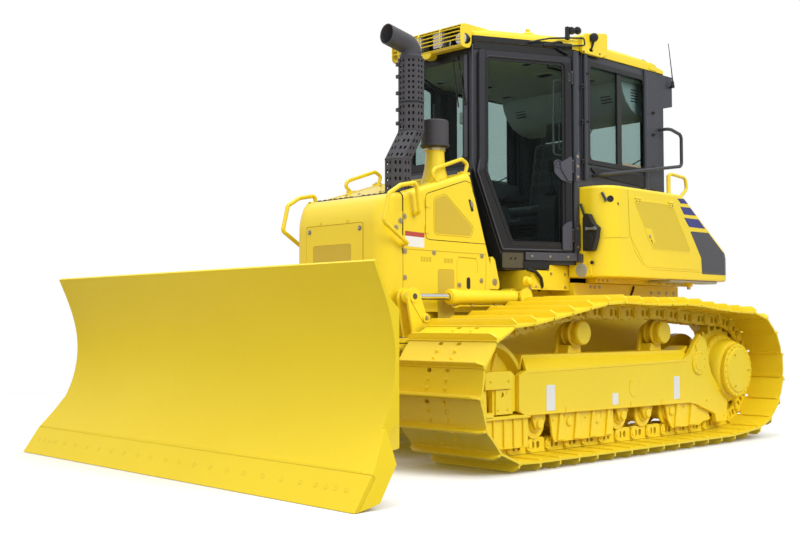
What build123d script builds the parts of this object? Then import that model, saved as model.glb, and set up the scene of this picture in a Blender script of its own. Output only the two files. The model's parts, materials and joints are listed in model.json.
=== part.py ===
from build123d import *
import os
import math

# Crawler dozer with a power angle and tilt blade, low ground pressure tracks.
# Millimetres.  +X is the machine's left side, -Y is forward (blade), +Z is up.
# The source is laid out with y = 0 under the front idlers; Y_MID moves every
# piece so that the origin is the middle of the machine's footprint on the ground.

Y_MID = 757.0

# ---- tracks ---------------------------------------------------------------
TRACK_X = 1000.0        # centre plane of a track
SHOE_W = 710.0          # width of a track shoe
SHOE_T = 14.0           # thickness of the shoe plate
GROUSER_H = 46.0        # height of the single grouser bar
GROUSER_T = 14.0
SHOES = 43              # shoes in one loop
LINK_H = 95.0           # height of the chain links under the plate
LINK_IN, LINK_OUT = 45.0, 85.0   # inner and outer face of a link rail, from TRACK_X
IDLER_Y, IDLER_Z, IDLER_R = 0.0, 452.0, 392.0        # radius at the plate's inner face
SPROCKET_Y, SPROCKET_Z, SPROCKET_R = 2655.0, 508.0, 423.0
# plate's inner face along the top run, front to rear
TOP_RUN = [(120, 851), (297, 886), (450, 912), (606, 940), (781, 973), (930, 989),
           (1150, 983), (1400, 977), (1650, 981), (1840, 985), (2000, 968),
           (2180, 951), (2400, 939)]
ROLLER_R, ROLLER_Z = 84.0, 240.0
ROLLER_Y = [395.0, 690.0, 985.0, 1280.0, 1575.0, 1870.0, 2165.0]
CARRIER_R = 88.0
CARRIER_YZ = [(890.0, 797.0), (1840.0, 796.0)]

# ---- hull -----------------------------------------------------------------
HULL_X = 420.0
HULL_Y0, HULL_Y1 = -150.0, 2860.0
HULL_Z0, HULL_Z1 = 360.0, 1050.0
DECK_X, DECK_Y0, DECK_Y1, DECK_Z0, DECK_Z1 = 640.0, 1392.0, 2750.0, 1060.0, 1150.0
PLATE_X, PLATE_Y0, PLATE_Y1 = 598.0, 965.0, 1388.0   # side plates under the cab
TRUNNION_Y, TRUNNION_Z, TRUNNION_R = 1050.0, 420.0, 40.0
ARM_X0, ARM_X1 = 500.0, 600.0
ARM_XM = 550.0
LIFT_P_Y, LIFT_P_Z = 887.0, 1039.0      # rear pin of the lift cylinders
LIFT_Q_Y, LIFT_Q_Z = -172.0, 1027.0     # front pin of the lift cylinders
PIN_R = 22.0

# ---- push frame and blade -------------------------------------------------
ARM_Z0, ARM_Z1 = 350.0, 500.0
PIVOT_Y = -1020.0                       # upright pin of the blade
TILT_Z = 430.0                          # fore and aft pin of the blade
ANGLE_A = (550.0, -225.0, 700.0)        # rear pin of an angle cylinder
ANGLE_E = (470.0, -1080.0, 700.0)       # front pin of an angle cylinder
TILT_A = (-360.0, -1160.0, 930.0)       # tilt cylinder, pin on the yoke
TILT_E = (400.0, -1160.0, 930.0)        # tilt cylinder, pin on the blade
BLADE_X = 1590.0
EDGE_X = 1675.0
SHEET_T = 20.0

# ---- hood and cab ---------------------------------------------------------
HOOD_X0, HOOD_X1 = 450.0, 497.0         # half width at the nose and at the cab
SKIN = 8.0
CAB_A = (352.0, 653.0)
CAB_B = (677.0, 1348.0)
CAB_C = (687.0, 2497.0)
CAB_Z0, CAB_Z1 = 1233.0, 2817.0
CAB_KNEE_Z = 1931.0
CAB_KNEE_Y, CAB_TOE_Y = 631.0, 859.0
CAB_WALL = 45.0
ROOF_Z = 2922.0
SILL_Z = 1274.0         # underside of the cab's sill behind its front mount
GAP = 5.0

nodes = {}


def put(name, shape):
    nodes[name] = shape


def box(x0, x1, y0, y1, z0, z1):
    return Pos((x0 + x1) / 2, (y0 + y1) / 2, (z0 + z1) / 2) * Box(x1 - x0, y1 - y0, z1 - z0)


def cyl_x(x0, x1, y, z, r):
    return Pos((x0 + x1) / 2, y, z) * Rot(0, 90, 0) * Cylinder(r, x1 - x0)


def cyl_y(y0, y1, x, z, r):
    return Pos(x, (y0 + y1) / 2, z) * Rot(90, 0, 0) * Cylinder(r, y1 - y0)


def cyl_z(z0, z1, x, y, r):
    return Pos(x, y, (z0 + z1) / 2) * Cylinder(r, z1 - z0)


def area(pts):
    return sum(pts[i - 1][0] * pts[i][1] - pts[i][0] * pts[i - 1][1] for i in range(len(pts))) / 2


def turned(pts, sign):
    """the outline in the wanted sense of rotation"""
    return list(pts) if area(pts) * sign > 0 else list(reversed(pts))


def prism_x(pts, x0, x1):
    """closed outline of (y, z) points, extruded along X"""
    pts = turned(pts, 1)
    wire = Polyline(*[(x0, p[0], p[1]) for p in pts], close=True)
    return extrude(make_face(wire), amount=x1 - x0, dir=(1, 0, 0))


def prism_y(pts, y0, y1):
    """closed outline of (x, z) points, extruded along Y"""
    pts = turned(pts, -1)
    wire = Polyline(*[(p[0], y0, p[1]) for p in pts], close=True)
    return extrude(make_face(wire), amount=y1 - y0, dir=(0, 1, 0))


def prism_z(pts, z0, z1):
    """closed outline of (x, y) points, extruded along Z"""
    pts = turned(pts, 1)
    wire = Polyline(*[(p[0], p[1], z0) for p in pts], close=True)
    return extrude(make_face(wire), amount=z1 - z0, dir=(0, 0, 1))


def rod_between(p, q, r):
    """round bar from p to q"""
    v = Vector(*q) - Vector(*p)
    pl = Plane(origin=p, z_dir=v)
    return extrude(pl * Circle(r), amount=v.length)


def flip(shape):
    return mirror(shape, about=Plane.YZ)


def solo(shape):
    """the one solid of a result"""
    s = shape.solids()
    s = sorted(s, key=lambda k: -k.volume)
    return s[0]


def rounded_tube(pts, r, bends):
    path = FilletPolyline(*pts, radius=bends)
    start = path @ 0
    tan = path % 0
    return sweep(Plane(origin=start, z_dir=tan) * Circle(r), path=path)


# ===========================================================================
# TRACKS
# ===========================================================================
def loop_points():
    """plate's inner face, closed, starting under the idler and running to the
    front, over the top and back along the ground"""
    pts = []
    for k in range(0, 19):                       # round the idler
        a = math.radians(270 - 10 * k)
        pts.append((IDLER_Y + IDLER_R * math.cos(a), IDLER_Z + IDLER_R * math.sin(a)))
    pts += [(float(y), float(z)) for y, z in TOP_RUN]
    for k in range(0, 19):                       # round the sprocket
        a = math.radians(92 - 10 * k)
        pts.append((SPROCKET_Y + SPROCKET_R * math.cos(a), SPROCKET_Z + SPROCKET_R * math.sin(a)))
    pts.append((2330.0, 60.0))
    return pts


def offset_loop(pts, d):
    """moves a closed outline outwards by d (inwards if negative)"""
    out = []
    n = len(pts)
    for i in range(n):
        p0, p1, p2 = pts[i - 1], pts[i], pts[(i + 1) % n]
        a = (p1[0] - p0[0], p1[1] - p0[1])
        b = (p2[0] - p1[0], p2[1] - p1[1])
        la, lb = math.hypot(*a), math.hypot(*b)
        na, nb = (-a[1] / la, a[0] / la), (-b[1] / lb, b[0] / lb)
        mx, my = na[0] + nb[0], na[1] + nb[1]
        m2 = mx * mx + my * my
        k = 2.0 / m2
        out.append((p1[0] + d * mx * k, p1[1] + d * my * k))
    return out


def walk(pts, step_at):
    """points and outward normals at the given distances along a closed outline"""
    n = len(pts)
    seg = []
    s = 0.0
    for i in range(n):
        p, q = pts[i], pts[(i + 1) % n]
        l = math.hypot(q[0] - p[0], q[1] - p[1])
        seg.append((s, l, p, q))
        s += l
    res = []
    for d in step_at(s):
        d = d % s
        for s0, l, p, q in seg:
            if s0 <= d < s0 + l:
                t = (d - s0) / l
                tx, ty = (q[0] - p[0]) / l, (q[1] - p[1]) / l
                res.append((d, (p[0] + tx * (d - s0), p[1] + ty * (d - s0)), (-ty, tx)))
                break
    return s, res


base = loop_points()
plate_out = offset_loop(base, SHOE_T)
total, teeth = walk(plate_out, lambda s: [s * (k + 0.35) / SHOES for k in range(SHOES)])


def toothed_outline():
    """outer face of the plates with one grouser bar on each shoe"""
    n = len(plate_out)
    marks = []
    s = 0.0
    for i in range(n):
        p, q = plate_out[i], plate_out[(i + 1) % n]
        marks.append((s, [p]))
        s += math.hypot(q[0] - p[0], q[1] - p[1])
    keep = []
    for d, (y, z), (ny, nz) in teeth:
        ty, tz = nz, -ny
        h = GROUSER_T / 2
        b0 = (y - ty * h, z - tz * h)
        b1 = (y + ty * h, z + tz * h)
        t0 = (b0[0] + ny * GROUSER_H, b0[1] + nz * GROUSER_H)
        t1 = (b1[0] + ny * GROUSER_H, b1[1] + nz * GROUSER_H)
        keep.append((d, [b0, t0, t1, b1]))
    marks = [m for m in marks if all(abs(m[0] - k[0]) > 12 and abs(abs(m[0] - k[0]) - total) > 12 for k in keep)]
    allm = sorted(marks + keep, key=lambda m: m[0])
    out = []
    for _, ps in allm:
        out += ps
    return out


def make_track():
    x0 = TRACK_X - SHOE_W / 2
    x1 = TRACK_X + SHOE_W / 2
    shoes = prism_x(toothed_outline(), x0, x1) - prism_x(base, x0 - 1, x1 + 1)
    rail = offset_loop(base, -LINK_H)
    top = offset_loop(base, 2.0)
    ring_out = prism_x(top, TRACK_X - LINK_OUT, TRACK_X + LINK_OUT)
    ring = ring_out - prism_x(rail, TRACK_X - LINK_OUT - 1, TRACK_X + LINK_OUT + 1)
    ring -= prism_x(base, TRACK_X - LINK_IN, TRACK_X + LINK_IN)
    return solo(shoes + ring)


track = make_track()
put("track_left", track)
put("track_right", flip(track))


def make_track_frame():
    # box beam on the outer side, saddle over the rollers
    beam = prism_x([(235, 300), (2230, 300), (2330, 380), (2330, 560), (2240, 600), (1100, 590),
                    (230, 572), (160, 560), (160, 400)], 915, 1150)
    ledge = prism_x([(235, 590), (260, 665), (2250, 665), (2330, 590)], 915, 1085)
    inner = prism_x([(235, 300), (2330, 300), (2330, 600), (235, 600)], 870, 915)
    body = beam + ledge + inner
    # stools of the carrier rollers
    for y, z in CARRIER_YZ:
        body += box(930, 985, y - 90, y + 60, 640, z)
        body += cyl_x(920, 1000, y, z, 45)
        body += cyl_x(915, 955, y, z, 80)
    # roller guards, outer side
    body += prism_x([(-40, 130), (-150, 300), (-150, 330), (275, 330), (275, 110)], 1104, 1140)
    body += prism_x([(498, 330), (540, 120), (1150, 118), (1170, 330)], 1104, 1130)
    body += prism_x([(1795, 330), (1880, 118), (2290, 118), (2320, 330)], 1104, 1130)
    # roller brackets: one plate over each roller on both sides
    for y in ROLLER_Y:
        body += prism_x([(y - 55, 330), (y - 35, 215), (y + 35, 215), (y + 55, 330)], 1088, 1104)
        body += prism_x([(y - 55, 330), (y - 35, 215), (y + 35, 215), (y + 55, 330)], 896, 912)
        body += cyl_x(896, 1104, y, ROLLER_Z, 24)
    # cross beams towards the hull
    body += box(HULL_X + 4, 900, 1300, 1470, 450, 590)
    body += box(HULL_X + 4, 900, 2180, 2300, 440, 590)
    # front forks that hold the idler's axle
    body += prism_x([(-70, 400), (-70, 510), (240, 560), (240, 330)], 1098, 1140)
    body += prism_x([(-70, 400), (-70, 510), (240, 560), (240, 330)], 870, 902)
    return body


frame_l = make_track_frame()
idler_hole = cyl_x(860, 1160, IDLER_Y, IDLER_Z, 34)
frame_l = frame_l - idler_hole - cyl_x(903, 1096, IDLER_Y, IDLER_Z, 332) - cyl_x(903, 1110, SPROCKET_Y, SPROCKET_Z, 378)


def roller(y, z, r, x0=TRACK_X - 83, x1=TRACK_X + 83):
    return cyl_x(x0, x1, y, z, r)


for y in ROLLER_Y:
    frame_l += cyl_x(TRACK_X - 84, TRACK_X + 84, y, ROLLER_Z, ROLLER_R - 1)
for y, z in CARRIER_YZ:
    frame_l += cyl_x(960, 1092, y, z, 62)
    frame_l += cyl_x(962, 980, y, z, CARRIER_R)
    frame_l += cyl_x(1020, 1040, y, z, CARRIER_R)
    frame_l += cyl_x(1062, 1092, y, z, 78)
frame_l = solo(frame_l)
put("track_frame_left", frame_l)
put("track_frame_right", flip(frame_l))

idler = cyl_x(TRACK_X - 40, TRACK_X + 40, IDLER_Y, IDLER_Z, IDLER_R - LINK_H + 22)
idler += cyl_x(TRACK_X - 84, TRACK_X + 84, IDLER_Y, IDLER_Z, IDLER_R - LINK_H - 4)
idler += cyl_x(TRACK_X - 92, TRACK_X + 92, IDLER_Y, IDLER_Z, 90)
idler += cyl_x(872, 1138, IDLER_Y, IDLER_Z, 33)
put("idler_left", solo(idler))
put("idler_right", flip(solo(idler)))

# final drive with the sprocket's toothed ring
TEETH = 23


def sprocket_ring():
    n = TEETH
    pts = []
    r0, r1 = SPROCKET_R - LINK_H - 26, SPROCKET_R - LINK_H + 26
    for k in range(n):
        a = 2 * math.pi * k / n
        w = 2 * math.pi / n
        for f, r in ((-0.36, r0), (-0.14, r1), (0.14, r1), (0.36, r0)):
            pts.append((SPROCKET_Y + r * math.cos(a + f * w), SPROCKET_Z + r * math.sin(a + f * w)))
    return prism_x(pts, TRACK_X - 36, TRACK_X + 36)


drive = sprocket_ring()
drive += cyl_x(HULL_X + 4, TRACK_X - 30, SPROCKET_Y, SPROCKET_Z, 170)
drive += cyl_x(TRACK_X - 100, TRACK_X + 120, SPROCKET_Y, SPROCKET_Z, 232)
drive += cyl_x(TRACK_X + 119, 1205, SPROCKET_Y, SPROCKET_Z, 208)
drive += cyl_x(1204, 1222, SPROCKET_Y, SPROCKET_Z, 192)
put("final_drive_left", solo(drive))
put("final_drive_right", flip(solo(drive)))

# ===========================================================================
# HULL
# ===========================================================================
hull = box(-HULL_X, HULL_X, HULL_Y0, HULL_Y1, HULL_Z0, HULL_Z1)
# bay round the engine, open to the top; the closed rear part is left solid
hull -= box(-330, 330, -110, 590, HULL_Z0 + 20, HULL_Z1 + 10)
hull += box(-HULL_X, HULL_X, PLATE_Y0, HULL_Y1, HULL_Z1 - 5, DECK_Z1)
hull += box(-PLATE_X, PLATE_X, PLATE_Y0, PLATE_Y1 + 10, 1095, CAB_Z0 - 4)
hull += box(-DECK_X, DECK_X, DECK_Y0, DECK_Y1, DECK_Z0, DECK_Z1)
for sx in (-1, 1):
    a, b = sorted((sx * HULL_X, sx * 492))
    hull += cyl_x(a, b, TRUNNION_Y, TRUNNION_Z, 95)
    a, b = sorted((sx * 480, sx * 618))
    hull += cyl_x(a, b, TRUNNION_Y, TRUNNION_Z, TRUNNION_R)
    a, b = sorted((sx * 608, sx * 622))
    hull += cyl_x(a, b, TRUNNION_Y, TRUNNION_Z, 62)
    a, b = sorted((sx * (HULL_X - 5), sx * 500))
    hull += cyl_x(a, b, LIFT_P_Y, LIFT_P_Z, 62)
    hull += prism_x([(LIFT_P_Y - 90, 900), (LIFT_P_Y - 60, LIFT_P_Z), (LIFT_P_Y + 60, LIFT_P_Z + 20),
                     (LIFT_P_Y + 110, 1060), (LIFT_P_Y + 110, 900)], *sorted((sx * (HULL_X - 5), sx * 470)))
    a, b = sorted((sx * 495, sx * 612))
    hull += cyl_x(a, b, LIFT_P_Y, LIFT_P_Z, PIN_R)
    a, b = sorted((sx * 604, sx * 622))
    hull += cyl_x(a, b, LIFT_P_Y, LIFT_P_Z, 60)
    hull += box(*sorted((sx * 564, sx * PLATE_X)), 1162, PLATE_Y1, CAB_Z0 - 6, SILL_Z - 4)
    # mounts of the cab
    for y in (1250, 2298):
        hull += cyl_z(DECK_Z1 - 2, CAB_Z0 - 2, sx * 470, y, 60)
hull += box(-300, 300, HULL_Y1 - 2, 2900, 380, 760)
for bx in (-250, 250):                   # threaded pattern for a rear implement
    for bz in (420, 720):
        hull -= cyl_y(2862, 2905, bx, bz, 13)
put("main_frame", solo(hull))

engine = box(-300, 300, -80, 560, 381, 1180)
engine += box(-220, 220, -60, 420, 1179, 1480)
put("engine_block", engine)

# drawbar: two plates with a vertical pin bore
bar = box(-110, 110, 2901, 3085, 560, 600)
bar += box(-110, 110, 2901, 3085, 440, 480)
bar += box(-110, 110, 2901, 2935, 400, 640)
bar += box(-110, -80, 2901, 3000, 440, 600)
bar += box(80, 110, 2901, 3000, 440, 600)
bar -= cyl_z(420, 620, 0, 3025, 27)
put("drawbar", solo(bar))

# ===========================================================================
# HOOD
# ===========================================================================
NOSE_TOP = [(-305, 1500), (-298, 1545), (-280, 1595), (-235, 1655), (-130, 1693)]


def hood_half(y):
    t = (y + 130.0) / (650.0 + 130.0)
    return HOOD_X0 + (HOOD_X1 - HOOD_X0) * t


def mask_body(d, y1, z0):
    """nose shell, set in by d"""
    prof = [(y1, z0), (-305 + d, z0)] + [(y + d * 0.9, z - d * 0.7) for y, z in NOSE_TOP[:-1]] + [(-130, 1693 - d), (y1, 1693 - d)]
    if y1 <= -130:
        prof = [(y1, z0), (-305 + d, z0)] + [(y + d * 0.9, z - d * 0.7) for y, z in NOSE_TOP[:-1]] + [(-130, 1693 - d)]
    side = prism_x(prof, -600, 600)
    w = HOOD_X0 - d
    r = 120 - d
    plan = Pos(0, -305 + d + 300, 0) * RectangleRounded(2 * w, 600, r)
    return side & (Pos(0, 0, z0 - 5) * extrude(plan, amount=900, dir=(0, 0, 1)))


mask = mask_body(0, -130, 930) - mask_body(SKIN, -129.9, 925)
mask = solo(mask)
# intake slot behind the front panel
mask -= Pos(0, -310, 1320) * extrude(Plane.XZ * RectangleRounded(400, 240, 25), amount=30, both=True)
mask = solo(mask)
grille_panel = Pos(0, -301, 1320) * extrude(Plane.XZ * RectangleRounded(396, 236, 23), amount=2, both=True)
mask = solo(mask + Pos(0, -299.5, 1320) * extrude(Plane.XZ * RectangleRounded(420, 260, 25), amount=3, both=True))
put("front_mask", mask)


def hood_body(d):
    """body behind the nose, set in by d; the rear end follows the cab's toe"""
    top0, top1 = 1694.0, 1874.0
    e = 60.0 if d else 0.0               # the inner body runs out past both ends
    prof = [(-129 - e, 935 - e), (635 + e, 935 - e), (662 + e, 1225), (452 + e, 1868 - d + 0.2995 * e), (-129 - e, top0 - d - 0.2995 * e)]
    side = prism_x(prof, -700, 700)
    plan = [(-(hood_half(-200) - d), -200), (-(hood_half(800) - d), 800), (hood_half(800) - d, 800), (hood_half(-200) - d, -200)]
    return side & prism_z(plan, 800, 2000)


hood_outer = hood_body(0)
hood_outer = fillet([e for e in hood_outer.edges() if abs(e.center().X) > 440 and e.center().Z > 1720 and e.length > 300], 45)
hood_in = hood_body(SKIN)
hood_in = fillet([e for e in hood_in.edges() if abs(e.center().X) > 430 and e.center().Z > 1710 and e.length > 300], 38)
skin = hood_outer - hood_in
# rear end stays closed by the cab's front wall, the nose end by the mask
skin -= box(-395, 395, -200, 0, 920, 1640)
ENGINE_HINGE = (468.5, 64.5)
DOOR = [(62, 1670), (70, 1692), (90, 1705), (420, 1812), (470, 1800), (640, 1392), (98, 1398), (72, 1408), (62, 1434)]


def door_prism(g):
    cy = sum(p[0] for p in DOOR) / len(DOOR)
    cz = sum(p[1] for p in DOOR) / len(DOOR)
    pts = []
    for i, (y, z) in enumerate(DOOR):
        pts.append((y, z))
    o = offset_loop(pts, g) if area(pts) < 0 else offset_loop(list(reversed(pts)), g)
    return o


door_cut = prism_x(door_prism(0), 380, 700)
door_fill = prism_x(door_prism(-GAP), 380, 700)
hood = skin - door_cut - flip(door_cut)
door_l = skin & door_fill
for z0, z1 in ((1440, 1490), (1610, 1660)):            # knuckles on the hinge axis
    door_l += cyl_z(z0, z1, ENGINE_HINGE[0], ENGINE_HINGE[1], 6) + box(458, ENGINE_HINGE[0] + 2, 68, 92, z0, z1)
put("engine_door_left", solo(door_l))
put("engine_door_right", flip(solo(door_l)))
# openings in the top for the stack and the intake
STACK_X = 300.0
STACK_Y0, STACK_Y1 = -25.0, 95.0
INTAKE_Y = 318.0
hood -= cyl_z(1500, 2000, STACK_X, STACK_Y0, 108)
hood -= cyl_z(1500, 2000, STACK_X, INTAKE_Y, 92)
hood = solo(hood)
# grab rails beside the cab
for sx in (-1, 1):
    rail = rounded_tube([(sx * 430, 214, 1790), (sx * 430, 150, 1836), (sx * 430, 186, 1874), (sx * 430, 440, 1962), (sx * 430, 500, 1935), (sx * 430, 470, 1862)], 13, 25)
    hood += rail
put("hood", solo(hood))

# ===========================================================================
# HOOD FURNITURE
# ===========================================================================
def octagon(cy, z, rr=92.0):
    pts = []
    for k in range(8):
        a = math.radians(22.5 + 45 * k)
        pts.append((STACK_X + rr * math.cos(a), cy + rr * math.sin(a), z))
    return make_face(Polyline(*pts, close=True))


Z_S = [1640.0, 1925.0, 2120.0, 2600.0]
low = extrude(octagon(STACK_Y0, Z_S[0]), amount=Z_S[1] - Z_S[0], dir=(0, 0, 1))
mid = loft([octagon(STACK_Y0, Z_S[1]), octagon(STACK_Y1, Z_S[2])])
up = extrude(octagon(STACK_Y1, Z_S[2]), amount=Z_S[3] - Z_S[2], dir=(0, 0, 1))
stack = low + mid + up
pipe_path = FilletPolyline((STACK_X, STACK_Y1, 2590), (STACK_X, STACK_Y1, 2690), (STACK_X - 50, STACK_Y1 - 170, 2752), radius=110)
pipe = sweep(Plane(origin=pipe_path @ 0, z_dir=pipe_path % 0) * Circle(64), path=pipe_path)
pipe_in = sweep(Plane(origin=pipe_path @ 0, z_dir=pipe_path % 0) * Circle(60), path=pipe_path)
stack = stack + pipe - pipe_in
stack = solo(stack)
put("exhaust_stack", stack)

pre = cyl_z(1700, 2050, STACK_X, INTAKE_Y, 84)
pre += cyl_z(2049, 2062, STACK_X, INTAKE_Y, 100)
pre += cyl_z(2060, 2240, STACK_X, INTAKE_Y, 117)
pre += cyl_z(2239, 2330, STACK_X, INTAKE_Y, 7)
put("air_precleaner", solo(pre))

for side, sx in (("left", 1), ("right", -1)):
    xr = sx * 505.0
    xw = sx * 462.0
    hr = rounded_tube([(sx * 454, -130, 1362), (xr, -135, 1362), (xr, -343, 1490), (xr, -300, 1665), (xr, -200, 1725),
                       (xr, -62, 1753), (xr, -30, 1560), (sx * 458.5, -30, 1560)], 14, 25)
    put("handrail_front_" + side, solo(hr))

# ===========================================================================
# CAB
# ===========================================================================
def hexa(d, z0, z1):
    def line(p, q, dd):
        v = (q[0] - p[0], q[1] - p[1])
        l = math.hypot(*v)
        n = (v[1] / l, -v[0] / l)       # right hand normal, outwards for this order
        return (p[0] - n[0] * dd, p[1] - n[1] * dd), v

    def cross(l1, l2):
        (p, v), (q, w) = l1, l2
        det = v[0] * -w[1] + w[0] * v[1]
        t = ((q[0] - p[0]) * -w[1] + w[0] * (q[1] - p[1])) / det
        return (p[0] + v[0] * t, p[1] + v[1] * t)
    A, B, C = CAB_A, CAB_B, CAB_C
    ring = [(-A[0], A[1]), A, B, C, (-C[0], C[1]), (-B[0], B[1])]
    ls = [line(ring[i], ring[(i + 1) % 6], d) for i in range(6)]
    pts = [cross(ls[i - 1], ls[i]) for i in range(6)]
    return prism_z(pts, z0, z1)


def toe_cut(d):
    """space in front of the sloping foot of the cab"""
    k = (CAB_TOE_Y - CAB_KNEE_Y) / (CAB_KNEE_Z - CAB_Z0)
    return prism_x([(0, CAB_KNEE_Z), (CAB_A[1] + d, CAB_KNEE_Z + 60), (CAB_KNEE_Y + d + 22, CAB_KNEE_Z),
                    (CAB_TOE_Y + d + k * 60, CAB_Z0 - 60 * 1), (0, CAB_Z0 - 60)], -900, 900)


def cab_outer(d):
    s = hexa(d, CAB_Z0 + d, CAB_Z1 - d) - toe_cut(d)
    for sx in (-1, 1):
        s -= box(*sorted((sx * (600 - d), sx * 1000)), 1372 - d, 3000, CAB_Z0 - 50, 1885 + d)
        if not d:
            s -= box(*sorted((sx * 560, sx * 1000)), 1157, 3000, CAB_Z0 - 50, SILL_Z)
    return s


outer = cab_outer(0)
inner = cab_outer(CAB_WALL)
cab = outer - inner
ab = (CAB_B[0] - CAB_A[0], CAB_B[1] - CAB_A[1])
AB_L = math.hypot(*ab)
AB = (ab[0] / AB_L, ab[1] / AB_L)
NRM = (AB[1], -AB[0])                  # outwards on the left side


def on_door(s, z, n=0.0):
    return (CAB_A[0] + AB[0] * s + NRM[0] * n, CAB_A[1] + AB[1] * s + NRM[1] * n, z)


DOORWAY = [(49, 2719), (711, 2719), (711, 1387), (218, 1387), (31, 1911), (49, 1993)]


def door_plate(pts, n0, n1):
    wire = Polyline(*[on_door(s, z, n0) for s, z in pts], close=True)
    return extrude(make_face(wire), amount=n1 - n0, dir=(NRM[0], NRM[1], 0))


way = door_plate(DOORWAY, -90, 60)
cab -= way + flip(way)
cab -= box(-265, 265, 450, 780, 1993, 2722)            # windscreen opening
cab -= box(-500, 500, 2400, 2600, 1993, 2528)          # rear window opening
for sx in (-1, 1):
    cab -= box(*sorted((sx * 560, sx * 760)), 1523, 2306, 2039, 2740)
cab += box(-684, 684, 2496, 2630, 2580, CAB_Z1)         # housing over the rear window
cab_shell = solo(cab)
put("cab_frame", cab_shell)


def pane(x0, x1, y0, y1, z0, z1):
    return box(x0, x1, y0, y1, z0, z1)


put("windscreen", box(-263, 263, 668, 674, 1995, 2720))
put("rear_window", box(-498, 498, 2467, 2473, 1995, 2526))
side_glass = box(651, 657, 1525, 2304, 2041, 2738)
side_glass += box(647, 661, 1901, 1934, 2041, 2738)
put("side_window_left", solo(side_glass))
put("side_window_right", flip(solo(side_glass)))

# doors: frame and glass in the plane of the doorway
DOOR_O = [(25, 2760), (733, 2760), (733, 1365), (194, 1365), (8, 1902), (25, 1993)]
DOOR_I = [(80, 2709), (685, 2709), (685, 1416), (270, 1416), (72, 1921), (80, 1993)]


def inset(pts, d):
    q = pts if area(pts) < 0 else list(reversed(pts))
    return offset_loop(q, -d)


door_fr = door_plate(DOOR_O, 4, 30) - door_plate(DOOR_I, -10, 60)
door_gl = door_plate(inset(DOOR_I, 1.0), 14, 20)
hx, hy, _ = on_door(744, 0, 30)
for z0, z1 in ((1442, 1519), (1936, 2013), (2570, 2647)):
    door_fr += cyl_z(z0, z1, hx, hy, 9)
    wire = Polyline(*[on_door(s, z, 22) for s, z in ((722, z0), (746, z0), (746, z1), (722, z1))], close=True)
    door_fr += extrude(make_face(wire), amount=10, dir=(NRM[0], NRM[1], 0))
put("cab_door_left", solo(door_fr))
put("cab_door_right", flip(solo(door_fr)))
put("door_glass_left", solo(door_gl))
put("door_glass_right", flip(solo(door_gl)))

# roof
roof = hexa(-12, CAB_Z1 + 1, 2894)
roof += hexa(40, 2893, ROOF_Z)
rear_cut = prism_x([(2105, ROOF_Z + 10), (2620, ROOF_Z + 10), (2620, 2848)], -950, 950)
roof -= rear_cut
for sx in (-1, 1):
    roof += prism_x([(1405, 2862), (1712, 2862), (1712, 2985), (1690, 2995), (1440, 2950), (1405, 2925)], *sorted((sx * 599, sx * 700)))
    roof += prism_x([(1405, 2825), (1430, 2802), (1640, 2802), (1712, 2830), (1712, 2985), (1690, 2995), (1440, 2950), (1405, 2925)], *sorted((sx * 690, sx * 720)))
put("cab_roof", solo(roof))
GUARD_X = 345.0
guard = prism_x([(527, 2790), (548, 2764), (618, 2768), (640, 2795), (640, 2924), (800, 2924), (800, 2931), (562, 2931), (527, 2900)], -GUARD_X, GUARD_X)
guard -= prism_x([(510, 2796), (552, 2779), (612, 2782), (622, 2800), (622, 2912), (562, 2912), (510, 2890)], 16 - GUARD_X, GUARD_X - 16)
put("light_guard", solo(guard))

# interior
floor = prism_z([(-385, 905), (385, 905), (535, 1290), (535, 2420), (-535, 2420), (-535, 1290)], CAB_Z0 + CAB_WALL + 1, CAB_Z0 + CAB_WALL + 12)
put("cab_floor", floor)
FZ = CAB_Z0 + CAB_WALL + 13
seat = box(-230, 230, 1478, 1968, 1640, 1760)
seat += Pos(0, 1978, 2000) * Rot(-10, 0, 0) * Box(460, 120, 620)
seat += box(-160, 160, 1548, 1908, FZ, 1641)
put("seat", solo(seat))
for side, sx in (("left", 1), ("right", -1)):
    con = box(*sorted((sx * 300, sx * 460)), 1398, 2048, FZ, 1830)
    put("console_" + side, con)
dash = box(-300, 300, 948, 1078, FZ, 1620)
dash += box(-310, 310, 908, 1098, 1619, 1700)
put("dash", solo(dash))

# ===========================================================================
# TANKS AND REAR
# ===========================================================================
TANK_X0, TANK_X1 = 606.0, 950.0
TANK_Y0, TANK_Y1 = 1380.0, 3034.0
TANK = [(TANK_Y0, 1184), (TANK_Y1, 1190), (TANK_Y1, 1352), (2950, 1428), (2350, 1822), (2290, 1834), (TANK_Y0, 1834)]
TANK_W = TANK_X1 - TANK_X0 + 400
plan_f = Pos(TANK_X1 - TANK_W / 2, TANK_Y0 + 1100, 1000) * RectangleRounded(TANK_W, 2200, 168)
plan_r = Pos(TANK_X1 - TANK_W / 2, TANK_Y1 - 1100, 1000) * RectangleRounded(TANK_W, 2200, 110)
plan = extrude(plan_f, amount=900, dir=(0, 0, 1)) & extrude(plan_r, amount=900, dir=(0, 0, 1))
TDOOR = [(1613, 1760), (1632, 1480), (1825, 1262), (2560, 1262), (2560, 1370), (2262, 1760)]
tank = prism_x(TANK, TANK_X0, TANK_X1) & plan
tank += box(TANK_X0, 716, 1560, 2750, 1152, 1200)      # mounting foot
tank -= prism_x(TDOOR, TANK_X1 - 14, TANK_X1 + 5)
put("tank_left", solo(tank))
put("tank_right", flip(solo(tank)))
tdoor = prism_x(inset(TDOOR, GAP), TANK_X1 - 8, TANK_X1)
for y0, y1 in ((1700, 1770), (2130, 2200)):
    tdoor += cyl_y(y0, y1, TANK_X1 + 7, 1757.5, 6) + box(TANK_X1 - 4, TANK_X1 + 9, y0, y1, 1732, 1755)
put("tank_door_left", solo(tdoor))
put("tank_door_right", flip(solo(tdoor)))

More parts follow.
